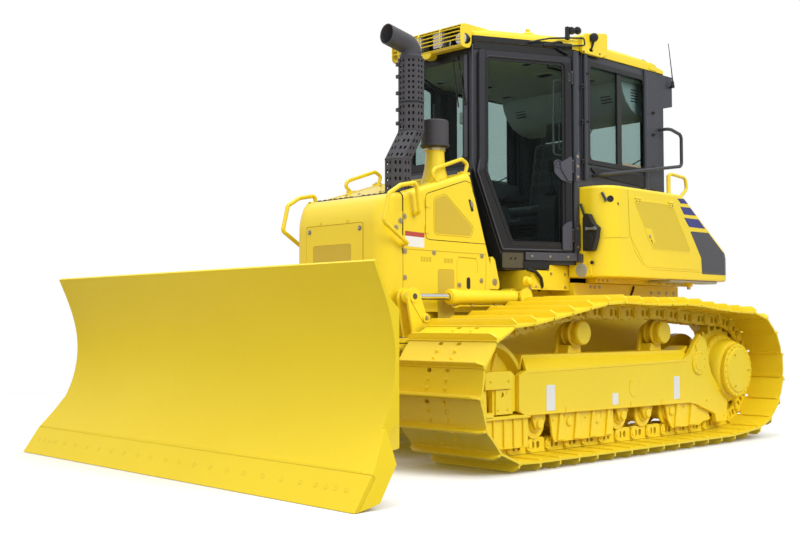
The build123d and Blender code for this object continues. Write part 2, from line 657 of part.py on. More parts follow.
rear = prism_x([(2510, 1156), (2980, 1156), (2980, 1790), (2940, 1830), (2510, 1830)], -596, 596)
rear -= box(-560, 560, 2860, 3000, 1190, 1790)
put("rear_body", solo(rear))
rg = box(-553, 553, 2990, 3025, 1165, 1800)
rg -= box(-500, 500, 2985, 3012, 1215, 1755)
for z0, z1 in ((1250, 1310), (1650, 1710)):
    rg += cyl_z(z0, z1, -550, 3033, 7) + box(-550, -520, 3024, 3034, z0, z1)
put("rear_grille", solo(rg))

for side, sx in (("left", 1), ("right", -1)):
    tr = rounded_tube([(sx * 860, 2285, 1835.5), (sx * 860, 2290, 2000), (sx * 860, 2520, 1985), (sx * 860, 2540, 1900), (sx * 860, 2402, 1796)], 13, 38)
    put("tank_rail_" + side, solo(tr))
    cr = rounded_tube([(sx * 690, 2440, 2374), (sx * 769, 2455, 2374), (sx * 769, 2620, 2343), (sx * 769, 2620, 2096), (sx * 769, 1590, 1936), (sx * 686, 1578, 1933)], 13, 40)
    put("cab_rail_" + side, solo(cr))

ant = rod_between((709, 2604, 2776), (702, 2558, 3080), 4)
ant += cyl_z(2740, 2779, 709, 2604, 13)
ant += box(686, 719, 2586, 2622, 2728, 2742)
put("antenna", solo(ant))

# ===========================================================================
# PUSH FRAME
# ===========================================================================
plan_half = [(ARM_X1, 1165), (ARM_X1, -470), (150, -925), (0, -925), (0, -800), (110, -800), (ARM_X0, -450), (ARM_X0, 1165)]
push = prism_z(plan_half, ARM_Z0, ARM_Z1)
push += flip(push)
push += cyl_z(ARM_Z0, ARM_Z1, 0, PIVOT_Y, 95) + box(-95, 95, PIVOT_Y, -850, ARM_Z0, ARM_Z1)
for sx in (-1, 1):
    base_pts = [(330, 480), (-60, 480), (-150, 640), (-232, LIFT_Q_Z - 10), (-215, LIFT_Q_Z + 42), (-172, LIFT_Q_Z + 58),
                (-128, LIFT_Q_Z + 40), (-110, LIFT_Q_Z - 10), (-60, 900), (40, 760), (160, 560)]
    push += prism_x(base_pts, *sorted((sx * 500, sx * 518)))
    push += prism_x(base_pts, *sorted((sx * 582, sx * 600)))
    push += prism_x([(300, 480), (-60, 480), (-140, 640), (-165, 800), (20, 740), (140, 560)], *sorted((sx * 510, sx * 590)))
    # lugs of the angle cylinder
    for z0, z1 in ((632, 660), (740, 768)):
        push += box(*sorted((sx * 515, sx * 585)), ANGLE_A[1], -130, z0, z1)
        push += cyl_z(z0, z1, sx * ANGLE_A[0], ANGLE_A[1], 35)
    push += cyl_z(625, 775, sx * ANGLE_A[0], ANGLE_A[1], 18)
    # pin heads of the lift rod, outside the fork
    push += cyl_x(*sorted((sx * 494, sx * 501)), LIFT_Q_Y, LIFT_Q_Z, PIN_R)
    push += cyl_x(*sorted((sx * 599, sx * 606)), LIFT_Q_Y, LIFT_Q_Z, PIN_R)
    push -= cyl_x(*sorted((sx * 490, sx * 610)), TRUNNION_Y, TRUNNION_Z, TRUNNION_R + 2)
push -= box(-700, 700, 1160, 1300, 300, 600)
push -= cyl_z(300, 600, 0, PIVOT_Y, 46)
put("push_frame", solo(push))

# yoke that angles on the upright pin and carries the blade on a level pin
yoke = cyl_z(ARM_Z1 + 5, ARM_Z1 + 60, 0, PIVOT_Y, 95) + box(-95, 95, -1200, PIVOT_Y, ARM_Z1 + 5, ARM_Z1 + 60)
yoke += cyl_z(ARM_Z0 - 60, ARM_Z0 - 5, 0, PIVOT_Y, 95) + box(-95, 95, -1200, PIVOT_Y, ARM_Z0 - 60, ARM_Z0 - 5)
yoke += cyl_z(ARM_Z0 - 60, ARM_Z1 + 60, 0, PIVOT_Y, 44)
yoke += box(-180, 180, -1200, -1130, ARM_Z0 - 60, 780)
yoke += box(-560, 560, -1200, -1168, 640, 760)
for sx in (-1, 1):
    for z0, z1 in ((632, 660), (740, 768)):
        yoke += box(*sorted((sx * (ANGLE_E[0] - 35), sx * (ANGLE_E[0] + 35))), -1190, ANGLE_E[1], z0, z1)
        yoke += cyl_z(z0, z1, sx * ANGLE_E[0], ANGLE_E[1], 35)
    yoke += cyl_z(625, 634, sx * ANGLE_E[0], ANGLE_E[1], 18)
    yoke += cyl_z(766, 775, sx * ANGLE_E[0], ANGLE_E[1], 18)
yoke += cyl_y(-1262, -1190, 0, TILT_Z, 60)
# bracket of the tilt cylinder
yoke += box(TILT_A[0] - 45, TILT_A[0] + 45, -1200, -1188, 740, TILT_A[2] + 45)
yoke += box(TILT_A[0] - 45, TILT_A[0] + 45, -1130, -1118, 780, TILT_A[2] + 45)
yoke += box(TILT_A[0] - 45, TILT_A[0] + 45, -1200, -1118, 755, 800)
yoke += cyl_y(-1200, -1118, TILT_A[0], TILT_A[2], 18)
put("blade_yoke", solo(yoke))

# ===========================================================================
# BLADE
# ===========================================================================
T0, T1, T2, T3, T4 = (-1422, 1157), (-1281, 745), (-1311, 484), (-1402, 300), (-1506, 162)


def sheet_face(x, d0, d1):
    def at(p, n, d):
        return (x, p[0] + n[0] * d, p[1] + n[1] * d)
    N = [(0.85, -0.53), (1.0, -0.03), (0.95, 0.31), (0.84, 0.54), (0.80, 0.60)]
    f = [at(p, n, d0) for p, n in zip((T0, T1, T2, T3, T4), N)]
    b = [at(p, n, d1) for p, n in zip((T0, T1, T2, T3, T4), N)]
    w = [ThreePointArc(f[0], f[1], f[2]), ThreePointArc(f[2], f[3], f[4]), Line(f[4], b[4]),
         ThreePointArc(b[4], b[3], b[2]), ThreePointArc(b[2], b[1], b[0]), Line(b[0], f[0])]
    return make_face(Wire(w))


N_TOP = (0.95, 0.30)
sheet = extrude(sheet_face(-BLADE_X, 0, SHEET_T), amount=2 * BLADE_X, dir=(1, 0, 0))
# box beams and stiffeners behind the sheet, all ahead of y = -1215
BACK_Y = -1218.0
ribs = None
back_prof = [(-1412, 1140), (-1385, 1150), (-1290, 1010), (BACK_Y, 980), (BACK_Y, 880), (-1276, 860),
             (-1276, 560), (BACK_Y, 540), (BACK_Y, 250), (-1330, 235), (-1400, 200), (-1430, 180), (-1500, 80), (-1540, 66), (-1492, 146),
             (-1400, 290), (-1330, 440), (-1296, 560), (-1272, 700), (-1278, 780), (-1300, 900), (-1340, 1010)]
upper = prism_x([(-1318, 940), (BACK_Y, 975), (BACK_Y, 885), (-1285, 860)], -1300, 1300)
lower = prism_x([(-1300, 520), (BACK_Y, 540), (BACK_Y, 250), (-1330, 235), (-1400, 270)], -1560, 1560)
lip = prism_x([(-1487, 150), (-1545, 66), (-1500, 60), (-1400, 190), (-1330, 240), (-1400, 290), (-1440, 235)], -1575, 1575)
blade = sheet + upper + lower + lip
for x in (-1250, -800, -320, 320, 800, 1250):
    blade += prism_x([(-1318, 980), (BACK_Y + 2, 960), (BACK_Y + 2, 260), (-1330, 250), (-1300, 500), (-1268, 720)], x - 10, x + 10)
for sx in (-1, 1):
    end = prism_x([(-1401, 1128), (-1335, 1000), (-1250, 930), (-1250, 380), (-1290, 356), (-1335, 300), (-1337, 203), (-1441, 67), (-1497, 67),
                   (-1480, 151), (-1386, 288), (-1313, 441), (-1279, 561), (-1266, 719), (-1273, 831), (-1300, 931), (-1345, 1031)],
                  *sorted((sx * 1567, sx * (BLADE_X - 1.5))))
    blade += end
# level pin's socket and the tilt cylinder's lug
blade -= cyl_y(-1268, BACK_Y + 30, 0, TILT_Z, 62)
blade += box(TILT_E[0] - 45, TILT_E[0] + 45, BACK_Y - 2, -1203, 850, TILT_E[2] + 45)
blade += box(TILT_E[0] - 45, TILT_E[0] + 45, -1128, -1116, 850, TILT_E[2] + 45)
blade += box(TILT_E[0] - 45, TILT_E[0] + 45, -1204, -1116, 838, 862)
EDGE = [(-1507, 162), (-1618, 1), (-1590, 1), (-1489, 148)]
blade -= prism_x([(-1560, 164.5), (-1640, 0), (-1587, 0), (-1486, 149.5), (-1506.4, 162.5)], -1700, 1700)
put("moldboard", solo(blade))
edge = prism_x(EDGE, -EDGE_X, EDGE_X)
for sx in (-1, 1):
    edge += prism_x([(-1507, 162), (-1618, 1), (-1540, 10), (-1457, 28), (-1337, 196), (-1343, 352), (-1400, 300), (-1480, 190)],
                    *sorted((sx * (BLADE_X + 1), sx * EDGE_X)))
put("cutting_edge", solo(edge))

# ===========================================================================
# CYLINDERS
# ===========================================================================
def cylinder_pair(p, q, axis, r_b, r_r, eye_w, body_len, rod_in, eye_r=46.0, pin=PIN_R):
    """barrel from pin p towards q and its rod up to the eye at q; the rod starts
    rod_in from p, which leaves its stroke free behind it"""
    P, Q = Vector(*p), Vector(*q)
    u = (Q - P).normalized()
    L = (Q - P).length
    ax = Vector(*axis)

    def eye(c):
        pl = Plane(origin=c - ax * (eye_w / 2), z_dir=ax)
        return extrude(pl * Circle(eye_r), amount=eye_w)

    def hole(c):
        pl = Plane(origin=c - ax * eye_w, z_dir=ax)
        return extrude(pl * Circle(pin + 1.0), amount=2 * eye_w)

    def bar(a, b, r):
        pl = Plane(origin=P + u * a, z_dir=u)
        return extrude(pl * Circle(r), amount=b - a)
    shoulder = max(eye_r + 8, 54)
    barrel = eye(P) + bar(10, shoulder + 5, eye_w * 0.42) + bar(shoulder, body_len, r_b) + bar(body_len - 60, body_len, r_b + 6)
    barrel -= hole(P)
    barrel -= bar(shoulder + 30, body_len + 5, r_r + 1.0)
    rod = eye(Q) + bar(rod_in, L - 30, r_r)
    rod -= hole(Q)
    return solo(barrel), solo(rod)


for side, sx in (("left", 1), ("right", -1)):
    b, r = cylinder_pair((sx * ARM_XM, LIFT_P_Y, LIFT_P_Z), (sx * ARM_XM, LIFT_Q_Y, LIFT_Q_Z), (1, 0, 0), 46, 22, 52, 700, 332, pin=PIN_R)
    put("lift_barrel_" + side, b)
    put("lift_rod_" + side, r)
    b, r = cylinder_pair((sx * ANGLE_A[0], ANGLE_A[1], ANGLE_A[2]), (sx * ANGLE_E[0], ANGLE_E[1], ANGLE_E[2]), (0, 0, 1), 44, 22, 68, 540, 293, eye_r=34, pin=18)
    put("angle_barrel_" + side, b)
    put("angle_rod_" + side, r)
b, r = cylinder_pair(TILT_A, TILT_E, (0, 1, 0), 34, 20, 50, 520, 165, eye_r=38, pin=18)
put("tilt_barrel", b)
put("tilt_rod", r)

# ===========================================================================
os.makedirs("parts", exist_ok=True)
lo = [1e9, 1e9, 1e9]
hi = [-1e9, -1e9, -1e9]
for name, shape in nodes.items():
    moved = Pos(0, -Y_MID, 0) * shape
    bb = moved.bounding_box()
    for i, (a, c) in enumerate(zip((bb.min.X, bb.min.Y, bb.min.Z), (bb.max.X, bb.max.Y, bb.max.Z))):
        lo[i] = min(lo[i], a)
        hi[i] = max(hi[i], c)
    export_step(moved, "parts/" + name + ".step")
print("nodes", len(nodes))
print("box", [round(v, 2) for v in lo], [round(v, 2) for v in hi])
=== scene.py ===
import bpy
import bmesh
import json
import math
import numpy as np
from mathutils import Vector, Matrix
from mathutils.geometry import tessellate_polygon


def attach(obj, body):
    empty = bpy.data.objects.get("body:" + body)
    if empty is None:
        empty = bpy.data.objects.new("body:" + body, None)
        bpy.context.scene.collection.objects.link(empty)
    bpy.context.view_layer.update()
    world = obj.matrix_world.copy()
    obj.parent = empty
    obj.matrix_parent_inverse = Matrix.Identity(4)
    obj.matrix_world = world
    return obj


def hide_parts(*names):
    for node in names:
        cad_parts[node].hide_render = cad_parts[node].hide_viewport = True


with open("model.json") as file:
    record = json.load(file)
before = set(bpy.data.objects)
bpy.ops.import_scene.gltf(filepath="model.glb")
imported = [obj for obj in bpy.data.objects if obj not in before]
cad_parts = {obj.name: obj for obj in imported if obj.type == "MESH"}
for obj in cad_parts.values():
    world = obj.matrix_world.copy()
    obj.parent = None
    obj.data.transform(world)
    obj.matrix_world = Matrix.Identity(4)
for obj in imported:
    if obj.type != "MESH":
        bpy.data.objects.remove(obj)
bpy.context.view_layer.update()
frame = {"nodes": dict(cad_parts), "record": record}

# ---------------------------------------------------------------------------
# Layout: millimetres, +X the machine's left side, -Y forward, y = 0 under the
# front idlers.  YM moves it to the frame's origin.
# ---------------------------------------------------------------------------
YM = 757.0


class Geo:
    """collects simple meshes into one"""

    def __init__(self):
        self.v, self.f, self.m, self.n = [], [], [], 0

    def add(self, vf, m=0, at=None):
        v, f = vf
        v = np.array(v, float).reshape(-1, 3)
        if at is not None:
            a = np.array(at)
            v = v @ a[:3, :3].T + a[:3, 3]
        self.v.append(v)
        b = self.n
        self.f.extend([tuple(i + b for i in q) for q in f])
        self.m.extend([m] * len(f))
        self.n += len(v)
        return self

    def both(self, vf, m=0):
        """the shape and its mirror image on the other side"""
        self.add(vf, m)
        return self.add(mirrored(vf), m)


def mirrored(vf):
    v, f = vf
    v = np.array(v, float).reshape(-1, 3) * np.array([-1.0, 1, 1])
    return v, [tuple(reversed(q)) for q in f]


def make(name, geo, mats, body, replaces=(), sharp=32.0, side=1, weighted=True):
    v = np.concatenate(geo.v)
    f = geo.f
    if side < 0:
        v = v * np.array([-1.0, 1, 1])
        f = [tuple(reversed(q)) for q in f]
    v = (v - np.array([0, YM, 0])) * 0.001
    me = bpy.data.meshes.new(name)
    me.from_pydata(v.tolist(), [], f)
    for m in mats:
        me.materials.append(m)
    me.polygons.foreach_set("material_index", geo.m)
    me.polygons.foreach_set("use_smooth", [True] * len(f))
    me.update()
    me.set_sharp_from_angle(angle=math.radians(sharp))
    ob = bpy.data.objects.new(name, me)
    bpy.context.scene.collection.objects.link(ob)
    if weighted:
        w = ob.modifiers.new("normals", "WEIGHTED_NORMAL")
        w.keep_sharp = True
    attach(ob, body)
    if replaces:
        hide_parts(*([replaces] if isinstance(replaces, str) else replaces))
    return ob


# ---- primitives ------------------------------------------------------------
def volume(v, f):
    t = 0.0
    for q in f:
        a = v[q[0]]
        for i in range(1, len(q) - 1):
            t += float(np.dot(a, np.cross(v[q[i]], v[q[i + 1]])))
    return t


def outwards(v, f):
    v = np.array(v, float)
    c = v.mean(0)
    if volume(v - c, f) < 0:
        f = [tuple(reversed(q)) for q in f]
    return v, f


def bevelled(vf, width, seg=2, angle=24.0):
    v, f = vf
    bm = bmesh.new()
    bv = [bm.verts.new(p) for p in v]
    for q in f:
        try:
            bm.faces.new([bv[i] for i in q])
        except ValueError:
            pass
    bmesh.ops.recalc_face_normals(bm, faces=bm.faces)
    lim = math.radians(angle)
    edges = [e for e in bm.edges if len(e.link_faces) == 2 and e.calc_face_angle(0) > lim]
    bmesh.ops.bevel(bm, geom=edges, offset=width, offset_type="OFFSET", segments=seg, profile=0.5,
                    affect="EDGES", clamp_overlap=True)
    bm.verts.index_update()
    out = [tuple(x.co) for x in bm.verts], [tuple(x.index for x in q.verts) for q in bm.faces]
    bm.free()
    return out


def place(axis, p, t):
    return (t, p[0], p[1]) if axis == "x" else ((p[0], t, p[1]) if axis == "y" else (p[0], p[1], t))


def prism(pts, a, b, axis="x", bev=0.0, seg=2):
    n = len(pts)
    v = [place(axis, p, a) for p in pts] + [place(axis, p, b) for p in pts]
    f = [tuple(range(n)), tuple(range(2 * n - 1, n - 1, -1))]
    f += [(i, i + n, (i + 1) % n + n, (i + 1) % n) for i in range(n)]
    v, f = outwards(v, f)
    return bevelled((v, f), bev, seg) if bev else (v, f)


def block(x0, x1, y0, y1, z0, z1, bev=2.0, seg=2):
    return prism([(x0, y0), (x1, y0), (x1, y1), (x0, y1)], z0, z1, "z", bev, seg)


def holed(outer, holes, a, b, axis="x", bev=0.0):
    """flat plate with holes"""
    loops = [list(outer)] + [list(h) for h in holes]
    flat = [p for l in loops for p in l]
    tri = tessellate_polygon([[Vector((p[0], p[1], 0)) for p in l] for l in loops])
    n = len(flat)
    v = [place(axis, p, a) for p in flat] + [place(axis, p, b) for p in flat]
    f = []
    for t in tri:
        p, q, r = (flat[i] for i in t)
        s = (q[0] - p[0]) * (r[1] - p[1]) - (q[1] - p[1]) * (r[0] - p[0])
        if abs(s) < 1e-9:
            continue
        t = tuple(t) if s > 0 else tuple(reversed(t))
        f.append(t)
        f.append(tuple(i + n for i in reversed(t)))
    k = 0
    for li, l in enumerate(loops):
        m = len(l)
        ar = sum(l[i - 1][0] * l[i][1] - l[i][0] * l[i - 1][1] for i in range(m))
        flip = (ar > 0) == (li == 0)
        for i in range(m):
            p, q = k + i, k + (i + 1) % m
            f.append((p, p + n, q + n, q) if flip else (p, q, q + n, p + n))
        k += m
    v = np.array(v, float)
    if volume(v - v.mean(0), f) < 0:
        f = [tuple(reversed(q)) for q in f]
    return v, f


def ring_pts(cy, cz, r, n=24, a0=0.0):
    return [(cy + r * math.cos(a0 + 2 * math.pi * i / n), cz + r * math.sin(a0 + 2 * math.pi * i / n)) for i in range(n)]


def slot_pts(cy, cz, w, h, r, n=4):
    """rectangle w by h with corner radius r"""
    out = []
    for sx, sy, a in ((1, 1, 0), (-1, 1, 90), (-1, -1, 180), (1, -1, 270)):
        for k in range(n + 1):
            t = math.radians(a + 90.0 * k / n)
            out.append((cy + sx * (w / 2 - r) + r * math.cos(t), cz + sy * (h / 2 - r) + r * math.sin(t)))
    return out


def basis(d):
    d = Vector(d).normalized()
    u = d.orthogonal().normalized()
    if abs(d.z) < 0.9:
        u = Vector((0, 0, 1)).cross(d).normalized()
    w = d.cross(u)
    return d, u, w


def lathe(prof, c, d, n=32):
    """prof: (distance along d, radius) from one end to the other"""
    d, u, w = basis(d)
    c = Vector(c)
    v, f = [], []
    rings = []
    for h, r in prof:
        if r < 1e-6:
            rings.append([len(v)])
            v.append(tuple(c + d * h))
        else:
            rings.append(list(range(len(v), len(v) + n)))
            for i in range(n):
                a = 2 * math.pi * i / n
                v.append(tuple(c + d * h + (u * math.cos(a) + w * math.sin(a)) * r))
    for a, b in zip(rings, rings[1:]):
        for i in range(n):
            j = (i + 1) % n
            if len(a) == 1 and len(b) == 1:
                continue
            if len(a) == 1:
                f.append((a[0], b[i], b[j]))
            elif len(b) == 1:
                f.append((a[i], a[j], b[0])[::-1])
            else:
                f.append((a[i], b[i], b[j], a[j]))
    if len(rings[0]) > 1:
        f.append(tuple(rings[0]))
    if len(rings[-1]) > 1:
        f.append(tuple(reversed(rings[-1])))
    return outwards(v, f)


def rod(p, q, r, n=16, ch=0.0):
    p, q = Vector(p), Vector(q)
    l = (q - p).length
    if ch:
        return lathe([(0, r - ch), (ch, r), (l - ch, r), (l, r - ch)], p, q - p, n)
    return lathe([(0, r), (l, r)], p, q - p, n)


def hexbolt(p, d, r=11.0, h=9.0, washer=True):
    """bolt head standing on a face at p"""
    r *= 0.8
    d0, u, w = basis(d)
    g = lathe([(0, r), (h - 1.5, r), (h, r * 0.86)], p, d, 6)
    if not washer:
        return g
    k = lathe([(0, r * 1.45), (1.8, r * 1.45), (2.4, r * 1.35)], p, d, 14)
    return joined([g, k])


def joined(parts):
    v, f, n = [], [], 0
    for a, b in parts:
        a = np.array(a, float).reshape(-1, 3)
        v.append(a)
        f += [tuple(i + n for i in q) for q in b]
        n += len(a)
    return np.concatenate(v), f


def rounded_path(pts, r, k=5):
    pts = [Vector(p) for p in pts]
    out = [pts[0]]
    for i in range(1, len(pts) - 1):
        p0, p1, p2 = pts[i - 1], pts[i], pts[i + 1]
        a, b = (p0 - p1), (p2 - p1)
        la, lb = a.length, b.length
        a.normalize(); b.normalize()
        ang = a.angle(b)
        if ang > math.radians(178):
            out.append(p1)
            continue
        t = min(r / math.tan(ang / 2), la * 0.49, lb * 0.49)
        rr = t * math.tan(ang / 2)
        s, e = p1 + a * t, p1 + b * t
        bis = (a + b).normalized()
        c = p1 + bis * (rr / math.sin(ang / 2))
        va, ve = s - c, e - c
        tot = va.angle(ve)
        ax = va.cross(ve).normalized()
        for j in range(k + 1):
            out.append(c + Matrix.Rotation(tot * j / k, 3, ax) @ va)
    out.append(pts[-1])
    return out


def tube(pts, r, bend=30.0, n=12, k=5, flat=None):
    """round bar along a path with rounded corners; flat=(a, b) gives an oval section"""
    path = rounded_path(pts, bend, k) if bend else [Vector(p) for p in pts]
    m = len(path)
    t0 = (path[1] - path[0]).normalized()
    _, u, w = basis(t0)
    v, f = [], []
    prev = t0
    for i, p in enumerate(path):
        t = (path[min(i + 1, m - 1)] - path[max(i - 1, 0)]).normalized()
        ax = prev.cross(t)
        if ax.length > 1e-8:
            q = Matrix.Rotation(prev.angle(t), 3, ax.normalized())
            u, w = q @ u, q @ w
        prev = t
        for j in range(n):
            a = 2 * math.pi * j / n
            ra, rb = (r, r) if flat is None else flat
            v.append(tuple(p + u * math.cos(a) * ra + w * math.sin(a) * rb))
    for i in range(m - 1):
        for j in range(n):
            k2 = (j + 1) % n
            f.append((i * n + j, (i + 1) * n + j, (i + 1) * n + k2, i * n + k2))
    f.append(tuple(range(n)))
    f.append(tuple(reversed(range((m - 1) * n, m * n))))
    return outwards(v, f)


def solid_sheet(front, back):
    """closed shell between two grids of points of the same shape"""
    R, C = len(front), len(front[0])
    v = [p for row in front for p in row] + [p for row in back for p in row]
    n = R * C
    f = []
    for i in range(R - 1):
        for j in range(C - 1):
            a, b, c, d = i * C + j, i * C + j + 1, (i + 1) * C + j + 1, (i + 1) * C + j
            f.append((a, b, c, d))
            f.append((a + n, d + n, c + n, b + n))
    for i in range(R - 1):
        for j in (0, C - 1):
            a, d = i * C + j, (i + 1) * C + j
            f.append((a, d, d + n, a + n) if j == 0 else (a, a + n, d + n, d))
    for j in range(C - 1):
        for i in (0, R - 1):
            a, b = i * C + j, i * C + j + 1
            f.append((a, a + n, b + n, b) if i == 0 else (a, b, b + n, a + n))
    return outwards(v, f)


# ---------------------------------------------------------------------------
# Materials
# ---------------------------------------------------------------------------
def nodes_of(name):
    m = bpy.data.materials.new(name)
    m.use_nodes = True
    nt = m.node_tree
    return m, nt, nt.nodes["Principled BSDF"]


def link(nt, a, b):
    nt.links.new(a, b)


def noise_node(nt, scale, detail=4.0, rough=0.55, coords=None):
    t = nt.nodes.new("ShaderNodeTexNoise")
    t.inputs["Scale"].default_value = scale
    t.inputs["Detail"].default_value = detail
    t.inputs["Roughness"].default_value = rough
    if coords is not None:
        link(nt, coords, t.inputs["Vector"])
    return t


def mapped(nt, src, lo, hi, a, b):
    r = nt.nodes.new("ShaderNodeMapRange")
    r.inputs["From Min"].default_value = lo
    r.inputs["From Max"].default_value = hi
    r.inputs["To Min"].default_value = a
    r.inputs["To Max"].default_value = b
    link(nt, src, r.inputs["Value"])
    return r.outputs["Result"]


def mixed(nt, fac, a, b):
    x = nt.nodes.new("ShaderNodeMix")
    x.data_type = "RGBA"
    if hasattr(fac, "links"):
        link(nt, fac, x.inputs["Factor"])
    else:
        x.inputs["Factor"].default_value = fac
    for i, c in ((6, a), (7, b)):
        if hasattr(c, "links"):
            link(nt, c, x.inputs[i])
        else:
            x.inputs[i].default_value = (*c, 1)
    return x.outputs[2]


def bumped(nt, b, height, dist, strength=1.0):
    n = nt.nodes.new("ShaderNodeBump")
    n.inputs["Distance"].default_value = dist
    n.inputs["Strength"].default_value = strength
    link(nt, height, n.inputs["Height"])
    link(nt, n.outputs["Normal"], b.inputs["Normal"])


def position(nt):
    g = nt.nodes.new("ShaderNodeTexCoord")
    return g.outputs["Object"]


def paint(name, col, dark, rough=0.34, coat=0.25, peel=0.00006, coat_rough=0.12, vary=0.5):
    """sprayed paint: faint tone change, fine orange peel"""
    m, nt, b = nodes_of(name)
    p = position(nt)
    n1 = noise_node(nt, 1.7, 3.0, 0.5, p)
    n2 = noise_node(nt, 23.0, 4.0, 0.6, p)
    k = nt.nodes.new("ShaderNodeMath")
    k.operation = "MULTIPLY_ADD"
    link(nt, n2.outputs["Fac"], k.inputs[0])
    k.inputs[1].default_value = 0.35
    link(nt, n1.outputs["Fac"], k.inputs[2])
    fac = mapped(nt, k.outputs[0], 0.45, 0.9, 0.0, vary)
    link(nt, mixed(nt, fac, col, dark), b.inputs["Base Color"])
    link(nt, mapped(nt, n2.outputs["Fac"], 0.3, 0.7, rough - 0.04, rough + 0.05), b.inputs["Roughness"])
    n3 = noise_node(nt, 420.0, 2.0, 0.5, p)
    bumped(nt, b, n3.outputs["Fac"], peel, 0.6)
    b.inputs["Coat Weight"].default_value = coat
    b.inputs["Coat Roughness"].default_value = coat_rough
    return m


YELLOW = (0.845, 0.640, 0.016)
YELLOW_D = (0.805, 0.600, 0.014)
M_BODY = paint("body_yellow", YELLOW, YELLOW_D, 0.34, 0.22)
# darker yellow for the dished rings round the plough bolts: painted shade
M_BOLT_RING_SHADE = paint("bolt_ring_painted_shade", (0.60, 0.44, 0.018), (0.50, 0.36, 0.016), 0.5, 0.0)
M_FRAME = paint("frame_yellow", (0.890, 0.672, 0.019), (0.84, 0.622, 0.017), 0.42, 0.12, 0.00015, 0.25, 0.7)
M_BLADE = paint("blade_yellow", (0.870, 0.645, 0.018), (0.830, 0.605, 0.016), 0.46, 0.0, 0.00008, 0.2, 0.6)
[n for n in M_BLADE.node_tree.nodes if n.type == "BSDF_PRINCIPLED"][0].inputs["Specular IOR Level"].default_value = 0.28
M_CAB = paint("cab_charcoal", (0.036, 0.039, 0.050), (0.030, 0.032, 0.041), 0.42, 0.15, 0.0001, 0.3)
M_CABD = paint("door_black", (0.017, 0.018, 0.024), (0.013, 0.014, 0.019), 0.36, 0.25, 0.0001, 0.25)
M_CABV = paint("cab_slate", (0.062, 0.062, 0.082), (0.050, 0.050, 0.068), 0.36, 0.2, 0.00008, 0.22)
M_STACK = paint("stack_charcoal", (0.060, 0.058, 0.066), (0.048, 0.046, 0.053), 0.62, 0.0, 0.0002, 0.5)
M_BLACK = paint("satin_black", (0.016, 0.016, 0.018), (0.012, 0.012, 0.014), 0.45, 0.1, 0.00012, 0.3)
M_BLUE = paint("stripe_blue", (0.018, 0.022, 0.19), (0.015, 0.018, 0.16), 0.3, 0.4)
M_PANEL = paint("panel_grey", (0.052, 0.052, 0.062), (0.045, 0.045, 0.055), 0.34, 0.35)
M_WHITE = paint("blank_white", (0.78, 0.79, 0.80), (0.74, 0.75, 0.76), 0.38, 0.2)
M_RED = paint("label_red", (0.46, 0.06, 0.045), (0.42, 0.055, 0.04), 0.38, 0.2)


def bare_metal(name, col, rough, streak=False):
    m, nt, b = nodes_of(name)
    p = position(nt)
    n = noise_node(nt, 60.0, 4.0, 0.6, p)
    link(nt, mixed(nt, n.outputs["Fac"], col, tuple(c * 0.86 for c in col)), b.inputs["Base Color"])
    link(nt, mapped(nt, n.outputs["Fac"], 0.3, 0.7, rough * 0.8, rough * 1.25), b.inputs["Roughness"])
    b.inputs["Metallic"].default_value = 1.0
    n2 = noise_node(nt, 500.0, 2.0, 0.5, p)
    bumped(nt, b, n2.outputs["Fac"], 0.00003, 0.5)
    return m


M_CHROME = bare_metal("rod_chrome_metal", (0.80, 0.80, 0.82), 0.09)
M_ZINC = bare_metal("zinc_metal", (0.62, 0.53, 0.34), 0.42)
M_STEEL = bare_metal("worn_steel", (0.42, 0.40, 0.37), 0.42)
M_CAST = bare_metal("cast_grey", (0.20, 0.20, 0.21), 0.6)


def plastic(name, col, rough=0.5, grain=0.00025, scale=900.0):
    m, nt, b = nodes_of(name)
    p = position(nt)
    n = noise_node(nt, 8.0, 4.0, 0.6, p)
    link(nt, mixed(nt, n.outputs["Fac"], col, tuple(c * 0.82 for c in col)), b.inputs["Base Color"])
    v = nt.nodes.new("ShaderNodeTexVoronoi")
    v.inputs["Scale"].default_value = scale
    link(nt, p, v.inputs["Vector"])
    bumped(nt, b, v.outputs["Distance"], grain, 0.5)
    link(nt, mapped(nt, n.outputs["Fac"], 0.3, 0.7, rough - 0.05, rough + 0.06), b.inputs["Roughness"])
    return m


M_TRIM = plastic("trim_moulding", (0.030, 0.031, 0.034))
M_LINER = plastic("headliner_grey", (0.76, 0.82, 0.82), 0.7, 0.0003, 500.0)
M_RUBBER = plastic("rubber_black", (0.014, 0.014, 0.014), 0.62, 0.0002, 1200.0)
M_FLOOR = plastic("mat_rubber", (0.02, 0.02, 0.021), 0.75, 0.0006, 180.0)


